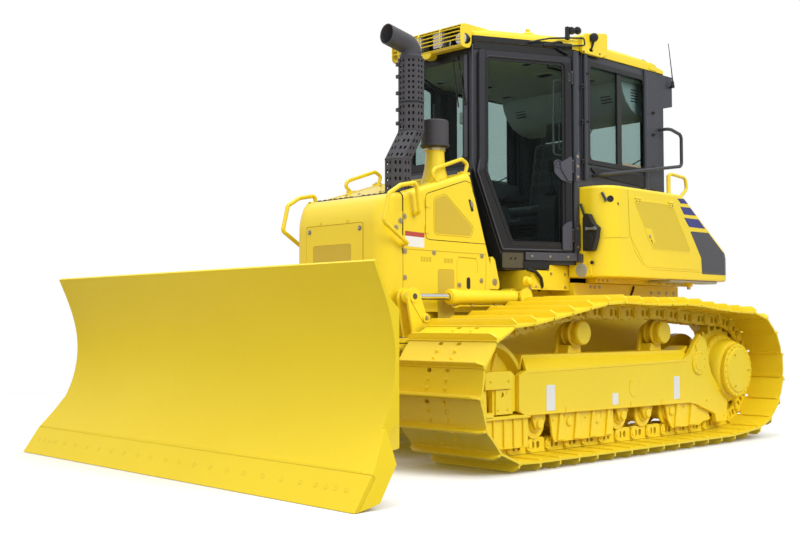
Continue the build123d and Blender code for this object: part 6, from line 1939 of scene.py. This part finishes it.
# rear overhead box with a curved front and louvres
prof = [(2430, 2722), (2050, 2722), (2075, 2640), (2120, 2570), (2190, 2510), (2290, 2470), (2430, 2452)]
g.add(prism(prof, -600, 600, "x", 8, 2))
for sx in (1, -1):
    for k in range(5):
        z = 2575 + 22 * k
        b = block(598, 605, 2180, 2270, z, z + 8, 2, 1)
        g.add(b if sx > 0 else mirrored(b), 1)
        b = block(380, 480, 2100 - (z - 2575) * 0.35, 2112 - (z - 2575) * 0.35, z, z + 8, 2, 1)
        g.add(b if sx > 0 else mirrored(b), 1)
    b = tube([(560, 1200, 2722), (560, 1216, 2690), (566, 1560, 2690), (566, 1580, 2722)], 10, 16, 8)
    g.add(b if sx > 0 else mirrored(b), 1)
    # inner posts
    b = prism(rounded_poly([(596, 1392), (632, 1392), (632, 1500), (596, 1500)], 10, 3), 1300, 2724, "z", 3, 1)
    g.add(b if sx > 0 else mirrored(b), 2)
    b = prism(rounded_poly([(592, 2330), (640, 2330), (640, 2440), (592, 2440)], 10, 3), 1900, 2724, "z", 3, 1)
    g.add(b if sx > 0 else mirrored(b), 2)
make("cab_lining", g, [M_LINER, M_BAND, M_TRIM], "chassis", sharp=36)

for side, sx in (("left", 1), ("right", -1)):
    g = Geo()
    g.add(prism(rounded_poly([(1398, 1291), (2048, 1291), (2048, 1800), (1990, 1830), (1480, 1818), (1420, 1790), (1398, 1700)], [4, 4, 30, 30, 40, 30, 40], 4), 306, 458, "x", 12, 3))
    g.add(prism(rounded_poly([(1560, 1826), (2020, 1836), (2020, 1862), (1580, 1856)], 12, 4), 330, 440, "x", 10, 3), 1)
    g.add(prism(slot_pts(382, 1480, 100, 110, 16, 3), 1812, 1824, "z", 3, 1), 1)
    # lever with its boot
    bx, by = 382, 1480
    for k in range(5):
        g.add(lathe([(0, 36 - 5 * k), (7, 38 - 5 * k), (12, 34 - 5 * k)], (bx, by, 1822 + 11 * k), (0, 0, 1), 18), 3)
    g.add(tube([(bx, by, 1870), (bx + 4, by - 14, 1930), (bx + 2, by - 26, 1985)], 9, 20, 10), 1)
    g.add(lathe([(0, 12), (14, 20), (46, 24), (74, 22), (92, 13), (97, 0)], (bx + 2, by - 24, 1978), (0.0, -0.16, 1), 18), 3)
    for k in range(5):
        g.add(lathe([(0, 7), (4, 8), (7, 6), (7, 0)], (352 + 22 * (k % 3), 1590 + 40 * (k // 3), 1826), (0, 0, 1), 12), 2)
    g.add(tube([(450, 1560, 1800), (486, 1560, 1850), (486, 1760, 1862), (450, 1760, 1820)], 10, 24, 10), 2)
    make("arm_console_" + side, g, [M_TRIM, M_BAND, M_GREY, M_RUBBER], "chassis", "console_" + side, side=sx)

g = Geo()
g.add(prism(rounded_poly([(948, 1291), (1078, 1291), (1078, 1560), (1098, 1620), (1098, 1664), (1050, 1700), (930, 1700), (908, 1660), (912, 1610), (948, 1570)], [4, 4, 30, 12, 16, 30, 20, 20, 14, 20], 3), -300, 300, "x", 12, 3))
g.add(prism(rounded_poly([(1040, 1700), (1098, 1664), (1094, 1740), (1060, 1752)], [8, 8, 16, 16], 3), -150, 150, "x", 6, 2), 1)
scr = (Vector((1101, 0, 1700)))
g.add(prism(slot_pts(0, 1706, 240, 66, 8, 3), 1094, 1100, "y", 2, 1), 1)
for k in range(4):
    g.add(lathe([(0, 22), (4, 22), (5, 19), (5, 0)], (-90 + 60 * k, 1098, 1708), (0, 1, 0), 20), 2)
for x in (-170, 0, 170):
    g.add(block(x - 36, x + 36, 1090, 1150, 1300, 1306, 2, 1), 3)
    g.add(prism(slot_pts(x, 1395, 76, 120, 10, 3), 1118, 1130, "y", 3, 1), 3)
    g.add(rod((x, 1124, 1340), (x, 1085, 1310), 9, 10), 1)
make("dashboard", g, [M_TRIM, M_BAND, M_GREY, M_RUBBER], "chassis", "dash", sharp=36)

# floor mat with ribs
g = Geo()
fp = [(-385, 905), (385, 905), (535, 1290), (535, 2420), (-535, 2420), (-535, 1290)]
g.add(prism(fp, 1279.5, 1289.5, "z", 2, 1))
for k in range(10):
    y = 1170 + 26 * k
    w = 300 if y > 1100 else 200
    g.add(block(-w, w, y, y + 12, 1289.5, 1293.5, 1.5, 1))
for sx in (1, -1):
    # footplate outline beside each door, not added to the mesh
    b = prism([(1040, 1290), (1360, 1290), (1360, 1330), (1040, 1300)], 380, 500, "x", 3, 1)
for k in range(4):
    z = 1300 + 46 * k
g.add(block(-250, 250, 1440, 1470, 1290, 1500, 10, 2), 1)
make("floor_mat", g, [M_FLOOR, M_TRIM], "chassis", "cab_floor")


# ---- seat ---------------------------------------------------------------------------
def pad(lx, ly, top, bot, nu=26, nv=26, pull=0.03, chan=(), cw=0.05, cd=0.28, bolster=0.0):
    """crowned cushion, outline drawn in between its corners, sewn channels across"""
    def pt(u, v, s):
        ax = lx * u * (1 - pull * (1 - v * v)) * (1 - 0.035 * (abs(v) ** 8))
        ay = ly * v * (1 - pull * (1 - u * u)) * (1 - 0.035 * (abs(u) ** 8))
        t = max(0.0, (1 - abs(u) ** 6)) ** 0.45 * max(0.0, (1 - abs(v) ** 6)) ** 0.45
        h = 0.72 + 0.28 * (1 - u * u) * (1 - v * v)
        if s > 0:
            h += bolster * math.exp(-((abs(u) - 0.76) / 0.17) ** 2)
            for c in chan:
                h -= cd * math.exp(-((v - c) / cw) ** 2)
            if bolster:
                h -= cd * 0.8 * math.exp(-((abs(u) - 0.56) / cw) ** 2)
            return (ax, ay, top * t * h)
        return (ax, ay, -bot * t)
    U = [math.sin(math.pi / 2 * (-1 + 2 * i / nu)) for i in range(nu + 1)]
    V = [math.sin(math.pi / 2 * (-1 + 2 * i / nv)) * 0.35 + (-1 + 2 * i / nv) * 0.65 for i in range(nv + 1)]
    U = [0.4 * a + 0.6 * (-1 + 2 * i / nu) for i, a in enumerate(U)]
    v, f, idx = [], [], {}
    for s in (1, -1):
        for j, b in enumerate(V):
            for i, a in enumerate(U):
                rim = i in (0, nu) or j in (0, nv)
                if s < 0 and rim:
                    idx[(s, i, j)] = idx[(1, i, j)]
                    continue
                idx[(s, i, j)] = len(v)
                v.append(pt(a, b, s))
    for s in (1, -1):
        for j in range(nv):
            for i in range(nu):
                q = (idx[(s, i, j)], idx[(s, i + 1, j)], idx[(s, i + 1, j + 1)], idx[(s, i, j + 1)])
                f.append(q if s > 0 else tuple(reversed(q)))
    v = np.array(v)
    rim = [tuple(v[idx[(1, i, 0)]]) for i in range(nu)] + [tuple(v[idx[(1, nu, j)]]) for j in range(nv)] + \
          [tuple(v[idx[(1, i, nv)]]) for i in range(nu, 0, -1)] + [tuple(v[idx[(1, 0, j)]]) for j in range(nv, 0, -1)]
    return (v, f), closed_tube(rim, 4.0, 6)


def cushion(name, size, top, bot, at, rot, **kw):
    vf, rim = pad(size[0], size[1], top, bot, **kw)
    m = Matrix.Translation(at) @ Matrix.Rotation(math.radians(rot), 4, "X")
    g = Geo()
    g.add(vf, 0, m)
    g.add(rim, 1, m)
    ob = make(name, g, [M_FABRIC, M_TRIM], "chassis", sharp=60, weighted=False)
    s = ob.modifiers.new("subdivision", "SUBSURF")
    s.levels = 1
    s.render_levels = 1
    return ob


base = cushion("seat_cushion", (232, 238), 62, 44, (0, 1722, 1708), 3, bolster=0.28, chan=(-0.35, 0.1, 0.5))
back = cushion("seat_back", (222, 290), 58, 40, (0, 1985, 2030), 80, bolster=0.3, chan=(-0.5, -0.15, 0.2, 0.55))
head = cushion("seat_headrest", (128, 78), 38, 34, (0, 2046, 2395), 80)
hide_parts("seat")
g = Geo()
g.add(prism(rounded_poly([(1548, 1292), (1908, 1292), (1908, 1420), (1860, 1600), (1590, 1600), (1548, 1420)], 30, 4), -160, 160, "x", 10, 2))
for k in range(6):
    z = 1470 + 20 * k
    g.add(prism(slot_pts(0, 1728, 300 - 6 * (k % 2), 330 - 6 * (k % 2), 40, 5), z, z + 14, "z", 4, 1), 1)
g.add(prism(slot_pts(0, 1726, 430, 440, 50, 5), 1606, 1664, "z", 10, 2))
m = Matrix.Translation((0, 2042, 2030)) @ Matrix.Rotation(math.radians(-10), 4, "X")
g.add(prism(slot_pts(0, 0, 400, 540, 60, 6), -16, 14, "y", 8, 2), 0, m)
g.add(rod((-60, 2058, 2300), (-60, 2064, 2380), 6, 10), 1)
g.add(rod((60, 2058, 2300), (60, 2064, 2380), 6, 10), 1)
for sx in (1, -1):
    b = prism(rounded_poly([(1700, 1835), (1980, 1845), (1980, 1885), (1690, 1875)], 14, 4), 240, 292, "x", 8, 2)
    g.add(b if sx > 0 else mirrored(b))
g.add(tube([(-75, 1470, 1650), (-75, 1440, 1636), (75, 1440, 1636), (75, 1470, 1650)], 7, 14, 8), 2)
make("seat_base", g, [M_TRIM, M_RUBBER, M_GREY], "chassis", sharp=36)
# ---------------------------------------------------------------------------
# Tanks, their doors and the rear
# ---------------------------------------------------------------------------
TDOOR_P = [(1613, 1760), (1632, 1480), (1825, 1262), (2560, 1262), (2560, 1370), (2262, 1760)]


def tank_top(y):
    return interp(y, [1380, 2270, 2310, 2350, 2390, 2930, 2975, 3034], [1834, 1834, 1831, 1821, 1797, 1443, 1404, 1350])


def tank_stations():
    """(y, x of the inner wall, x of the outer wall)"""
    st = []
    for i in range(0, 9):
        a = math.radians(-90 + 90 * i / 8)
        st.append((1548 + 168 * math.sin(a), 782 + 168 * math.cos(a)))
    for y in (1620, 1750, 1900, 2050, 2180, 2250, 2280, 2300, 2325, 2350, 2375, 2410, 2480, 2560, 2680, 2800, 2880, 2924):
        st.append((float(y), 950.0))
    for i in range(1, 8):
        a = math.radians(90.0 * i / 7)
        st.append((2924 + 110 * math.sin(a), 840 + 110 * math.cos(a)))
    return st


TST = tank_stations()
NT = len(TST)


def tank_ring(d, dz):
    out = []
    for k, (y, x) in enumerate(TST):
        if y <= 1548:
            a = math.atan2(y - 1548, x - 782)
            px, py = x - d * math.cos(a), y - d * math.sin(a)
        elif y >= 2924:
            a = math.atan2(y - 2924, x - 840)
            px, py = x - d * math.cos(a), y - d * math.sin(a)
        else:
            px, py = x - d, y
        out.append((px, py, (tank_top(y) - dz) if dz is not None else None))
    inner = [(606.0 + min(d, 4.0) * 0.2, p[1], p[2]) for p in out]
    return out, inner


RAD = 26.0
levels = []
for d, z in ((14, 1184.5), (5, 1189), (0, 1199)):
    o, i = tank_ring(d, 0)
    levels.append([(p[0], p[1], z + max(0.0, (p[1] - 1548)) * 0.004) for p in o] + [(p[0], p[1], z) for p in reversed(i)])
for q in range(0, 6):
    a = math.radians(90.0 * q / 5)
    o, i = tank_ring(RAD * (1 - math.cos(a)), RAD * (1 - math.sin(a)))
    levels.append(o + list(reversed(i)))
for side, sx in (("left", 1), ("right", -1)):
    g = Geo()
    v = [p for r in levels for p in r]
    R = 2 * NT
    f = []
    for a in range(len(levels) - 1):
        for j in range(R):
            k = (j + 1) % R
            f.append((a * R + j, a * R + k, (a + 1) * R + k, (a + 1) * R + j))
    t0 = (len(levels) - 1) * R
    for base, up in ((0, False), (t0, True)):
        for j in range(NT - 1):
            q = (base + j, base + j + 1, base + R - 2 - j, base + R - 1 - j)
            f.append(q if up else tuple(reversed(q)))
    g.add(outwards(v, f))
    # mounting foot and grey guard sheet under the rear half
    g.add(prism(rounded_poly([(612, 1562), (712, 1562), (712, 2746), (612, 2746)], 8, 2), 1153, 1188, "z", 2, 1), 1)
    g.add(prism(rounded_poly([(724, 2190), (926, 2190), (926, 2860), (860, 2960), (724, 2960)], 20, 3), 1172, 1187, "z", 3, 1), 2)
    g.add(lathe([(0, 44), (6, 44), (9, 40), (9, 30), (26, 28), (30, 24), (30, 0)], (850, 2570, 1172), (0, 0, -1), 24), 1)
    g.add(lathe([(30, 14), (48, 14), (50, 11), (50, 0)], (850, 2570, 1172), (0, 0, -1), 6), 3)
    # seams pressed into the skin
    for pts in ([(1613, 1812), (1622, 1640), (1632, 1480), (1610, 1468)],):
        g.add(tube([(949.4, y, z) for y, z in pts], 2.2, 20, 6, 3), 4)
    arc = [(782 + 167.6 * math.cos(math.radians(a)), 1548 + 167.6 * math.sin(math.radians(a)), 1459 - (a + 52) * -0.12) for a in range(-52, 1, 4)]
    g.add(tube(arc + [(949.6, 1600, 1466)], 2.2, 0, 6), 4)
    arc = [(782 + 167.6 * math.cos(math.radians(a)), 1548 + 167.6 * math.sin(math.radians(a)), 1790 - 3.4 * abs(a + 60)) for a in range(-84, -30, 6)]
    g.add(tube([(949.4, 1640, 1484), (949.4, 1690, 1380), (949.4, 1800, 1275)], 1.8, 20, 6, 3), 4)
    # vertical slot handle, filler hole and mark on the rounded front corner
    def corner(a, z, d=0.0):
        t = math.radians(a)
        return (782 + (168 + d) * math.cos(t), 1548 + (168 + d) * math.sin(t), z), (math.cos(t), math.sin(t), 0)
    h = []
    for a, z in ((-56, 1782), (-53, 1762), (-49, 1738), (-46, 1716)):
        h.append(corner(a, z, 3)[0])
    g.add(tube(h, 11, 0, 10), 5)
    g.add(tube([corner(-56, 1775, 13)[0], corner(-51, 1748, 15)[0], corner(-47, 1724, 13)[0]], 4, 0, 8), 6)
    p, nrm = corner(-36, 1735, -4)
    g.add(lathe([(0, 24), (5, 24), (8, 20), (4.6, 18), (4.6, 0)], p, nrm, 22), 6)
    p, nrm = corner(-15, 1702, -2)
    g.add(lathe([(0, 6), (5, 6), (6, 4), (6, 0)], p, nrm, 12), 6)
    g.add(tube([corner(-17, 1716, 0)[0], corner(-14, 1688, 0)[0]], 2.5, 0, 6), 4)
    # front lower panel in frame yellow with its round reflector
    g.add(prism(rounded_poly([(612, 1192), (812, 1192), (790, 1300), (740, 1378), (612, 1382)], [4, 14, 30, 20, 4], 3), 1371, 1381, "y", 3, 1), 1)
    for r, m, d in ((50, 2, 0), (40, 7, 2.5)):
        g.add(lathe([(0, r), (4 + d, r), (6 + d, r - 3), (6 + d, 0)], (722, 1372, 1236), (0, -1, 0), 30), m)
    for k in range(-3, 4):
        g.add(block(722 - 36, 722 + 36, 1361.6, 1363.4, 1236 + k * 10 - 1, 1236 + k * 10 + 1, 0.4, 1), 2)
    # filler cap on the top and a breather
    g.add(lathe([(0, 52), (14, 52), (18, 48), (18, 40), (34, 38), (40, 32), (40, 0)], (780, 2080, 1832), (0, 0, 1), 28), 6)
    g.add(lathe([(0, 12), (16, 12), (18, 20), (36, 20), (40, 15), (41, 0)], (862, 2378, 1800), (0, 0.2, 1), 18), 6)
    # three plain stripes and a plain dark panel by the sloped end
    for q in ([(2262, 1797), (2352, 1803), (2408, 1769), (2308, 1764)], [(2300, 1739), (2442, 1741), (2524, 1686), (2352, 1684)],
              [(2352, 1659), (2556, 1659), (2654, 1593), (2420, 1593)]):
        g.add(prism(q, 948, 950.9, "x"), 8)
    pan = rounded_poly([(2436, 1561), (2700, 1563), (2900, 1432), (2924, 1414), (2924, 1240), (2598, 1240), (2588, 1363)], [6, 10, 10, 2, 2, 6, 20], 3)
    g.add(prism(pan, 948, 950.9, "x"), 9)
    # the panel goes on round the rear corner
    fr, bk = [], []
    for k in range(6):
        t = math.radians(11.0 * k)
        zt = tank_top(2924 + 110 * math.sin(t)) - 30 + (12 if k == 0 else 0) - 2 * k
        fr.append([(840 + 110.9 * math.cos(t), 2924 + 110.9 * math.sin(t), z) for z in (1240 + 2 * k, zt)])
        bk.append([(840 + 108 * math.cos(t), 2924 + 108 * math.sin(t), z) for z in (1240 + 2 * k, zt)])
    g.add(solid_sheet(fr, bk), 9)
    # thin scribed line under the door
    g.add(tube([(949.6, 1905, 1252), (949.6, 2600, 1252), (949.6, 2915, 1248)], 1.5, 10, 6), 4)
    # bolts on the foot
    for y in (1585, 1640, 1695, 2380, 2480, 2580, 2690):
        g.add(hexbolt((712, y, 1170), (1, 0, 0), 9, 7), 3)
    make("tank_shell_" + side, g, [M_BODY, M_FRAME, M_PANELG, M_ZINC, M_SEAM, M_GREY, M_KNOB, M_PALE, M_BLUE, M_PANEL], "chassis", "tank_" + side, side=sx, sharp=36)

    # ---- door with its mesh panel, latch and hinge leaves ---------------------
    g = Geo()
    q = rounded_poly(shrunk(TDOOR_P, 6), [10, 40, 40, 16, 24, 16], 4)
    g.add(prism(q, 942.5, 953, "x", 1.6, 2))
    mp = rounded_poly([(1688, 1738), (2186, 1738), (2440, 1398), (1928, 1402)], [14, 14, 18, 18], 4)
    ring = rounded_poly([(1678, 1746), (2192, 1746), (2457, 1390), (1922, 1394)], [18, 18, 22, 22], 4)
    g.add(holed(ring, [mp], 952, 954.6, "x"), 0)
    g.add(prism(mp, 952.2, 953.5, "x"), 1)
    lp = rounded_poly([(1818, 1546), (1900, 1546), (1960, 1446), (1876, 1446)], 10, 3)
    g.add(prism(lp, 952.5, 956, "x", 1, 1), 0)
    g.add(lathe([(0, 14), (3, 14), (4, 12), (4, 8), (7, 7), (7, 0)], (955.5, 1880, 1490), (1, 0, 0), 18), 2)
    g.add(tube([(956.5, 1892, 1468), (957, 1912, 1452)], 3, 0, 8), 3)
    for y0, y1 in ((1700, 1770), (2130, 2200)):
        g.add(lathe([(0, 5), (1, 6), (69, 6), (70, 5)], (957, y0, 1757.5), (0, 1, 0), 14))
        g.add(prism(slot_pts((y0 + y1) / 2, 1738, 66, 30, 6, 3), 952, 957, "x", 1.5, 1))
        for dy in (-18, 18):
            g.add(lathe([(0, 4.5), (3, 4.5), (4, 3), (4, 0)], (957, (y0 + y1) / 2 + dy, 1736), (1, 0, 0), 10), 3)
    make("tank_hatch_" + side, g, [M_BODY, M_MESH_T, M_ZINC, M_KNOB], "tank_door_" + side, "tank_door_" + side, side=sx, sharp=36)

    # ---- flat-bar loop on the tank --------------------------------------------
    g = Geo()
    g.add(prism(slot_pts(860, 2286, 26, 34, 10, 4), 1836, 1985, "z", 2, 1))
    g.add(tube([(860, 2285, 1836), (860, 2290, 2000), (860, 2520, 1985), (860, 2540, 1900), (860, 2402, 1796)], 13, 38, 14, 6))
    g.add(lathe([(0, 30), (6, 30), (8, 26), (8, 0)], (860, 2286, 1832), (0, 0, 1), 20))
    make("tank_loop_" + side, g, [M_BODY], "chassis", "tank_rail_" + side, side=sx, sharp=36)

# ---- rear body, louvred door, hull bolts -----------------------------------------
g = Geo()
g.add(prism(rounded_poly([(2510, 1158), (2978, 1158), (2978, 1786), (2940, 1828), (2510, 1828)], [4, 10, 26, 26, 4], 4), 566, 596, "x", 5, 2))
g.add(prism(rounded_poly([(2510, 1158), (2978, 1158), (2978, 1786), (2940, 1828), (2510, 1828)], [4, 10, 26, 26, 4], 4), -596, -566, "x", 5, 2))
g.add(prism([(2512, 1800), (2860, 1800), (2950, 1790), (2976, 1786), (2940, 1828), (2512, 1828)], -568, 568, "x", 4, 2))
g.add(block(-568, 568, 2512, 2974, 1160, 1188, 4, 1))
g.add(block(-566, 566, 2512, 2862, 1186, 1802, 3, 1), 1)
for sx in (1, -1):
    for y in (2560, 2700, 2860):
        for z in (1200, 1500, 1760):
            b = hexbolt((sx * 596, y, z), (sx, 0, 0), 8, 6)
            g.add(b, 2)
    b = tube([(sx * 470, 2960, 1826), (sx * 470, 2960, 1870), (sx * 330, 2960, 1870), (sx * 330, 2960, 1826)], 9, 24, 10)
    g.add(b, 3)
for k in range(9):
    g.add(prism(slot_pts(0, 2560 + 32 * k, 700, 12, 5, 3), 1826, 1829.4, "z", 1, 1), 1)
make("rear_housing", g, [M_BODY, M_TRIM, M_ZINC, M_BODY], "chassis", "rear_body", sharp=36)

g = Geo()
g.add(bevelled(holed(slot_pts(0, 1482.5, 1106, 635, 34, 5), [slot_pts(0, 1482.5, 980, 520, 20, 4)], 2991, 3024, "y"), 3, 2, 40))
for k in range(15):
    z = 1236 + 35 * k
    g.add(prism([(2998, z), (3001, z - 2), (3019, z + 22), (3016, z + 24)], -492, 492, "x"), 0)
for x in (-245, 0, 245):
    g.add(block(x - 12, x + 12, 2994, 3022, 1222, 1744, 3, 1), 0)
g.add(holed(slot_pts(0, 1482.5, 1000, 540, 20, 3), [slot_pts(0, 1482.5, 960, 500, 16, 3)], 2990.4, 2993, "y"), 1)
for z0, z1 in ((1250, 1310), (1650, 1710)):
    g.add(lathe([(0, 6), (1, 7), (59, 7), (60, 6)], (-550, 3033, z0), (0, 0, 1), 16))
    g.add(prism(slot_pts(-530, (z0 + z1) / 2, 44, 56, 6, 3), 3023, 3033, "y", 2, 1))
    for dz in (-16, 16):
        g.add(hexbolt((-522, 3033, (z0 + z1) / 2 + dz), (0, 1, 0), 5, 4), 2)
g.add(prism(slot_pts(518, 1482, 42, 110, 12, 4), 3022, 3032, "y", 3, 1), 1)
g.add(tube([(518, 3030, 1520), (518, 3052, 1510), (518, 3052, 1456), (518, 3030, 1446)], 6, 10, 10), 2)
for x in (-430, 430):
    for z in (1190, 1776):
        g.add(hexbolt((x, 3024, z), (0, 1, 0), 7, 5), 2)
make("rear_louvres", g, [M_CAB, M_BAND, M_ZINC], "rear_grille", "rear_grille", sharp=36)

# hull plates, bolts, hose and boss under the cab, bolts behind the tank's front
g = Geo()
for sx in (1, -1):
    for y, z in ((1010, 1208), (1010, 1116), (1180, 1208), (1340, 1208), (1340, 1116)):
        g.add(hexbolt((sx * 598, y, z), (sx, 0, 0), 10, 8), 0)
    g.add(lathe([(0, 12), (2, 12), (2.4, 9), (1.2, 8), (1.2, 0)], (sx * 598, 1130, 1150), (sx, 0, 0), 16), 1)
    g.add(prism(rounded_poly([(975, 1108), (1150, 1108), (1150, 1222), (975, 1222)], 8, 2), *sorted((sx * 598, sx * 602)), "x", 1, 1), 2)
    g.add(lathe([(0, 34), (10, 34), (16, 28), (40, 26), (46, 20), (46, 0)], (sx * 596, 905, 1150), (sx, 0, 0), 24), 2)
    g.add(tube([(sx * 590, 930, 1232), (sx * 618, 985, 1218), (sx * 622, 1040, 1172), (sx * 606, 1075, 1120), (sx * 560, 1090, 1090)], 12, 40, 12), 1)
    for y in (1585, 1640, 1695):
        g.add(hexbolt((sx * 640, y, 1126), (sx, 0, 0), 9, 8), 0)
        g.add(lathe([(0, 16), (3, 16), (4, 14), (4, 0)], (sx * 640, y, 1126), (sx, 0, 0), 18), 0)
    for y in (2370, 2480, 2585, 2690):
        g.add(hexbolt((sx * 640, y, 1096), (sx, 0, 0), 10, 9), 0)
        g.add(lathe([(0, 17), (3, 17), (4, 15), (4, 0)], (sx * 640, y, 1096), (sx, 0, 0), 18), 0)
    g.add(tube([(sx * 644, 2130, 1140), (sx * 650, 2110, 1110), (sx * 644, 2090, 1070)], 8, 14, 8), 1)
make("hull_fittings", g, [M_ZINC, M_RUBBER, M_FRAME], "chassis", sharp=36)
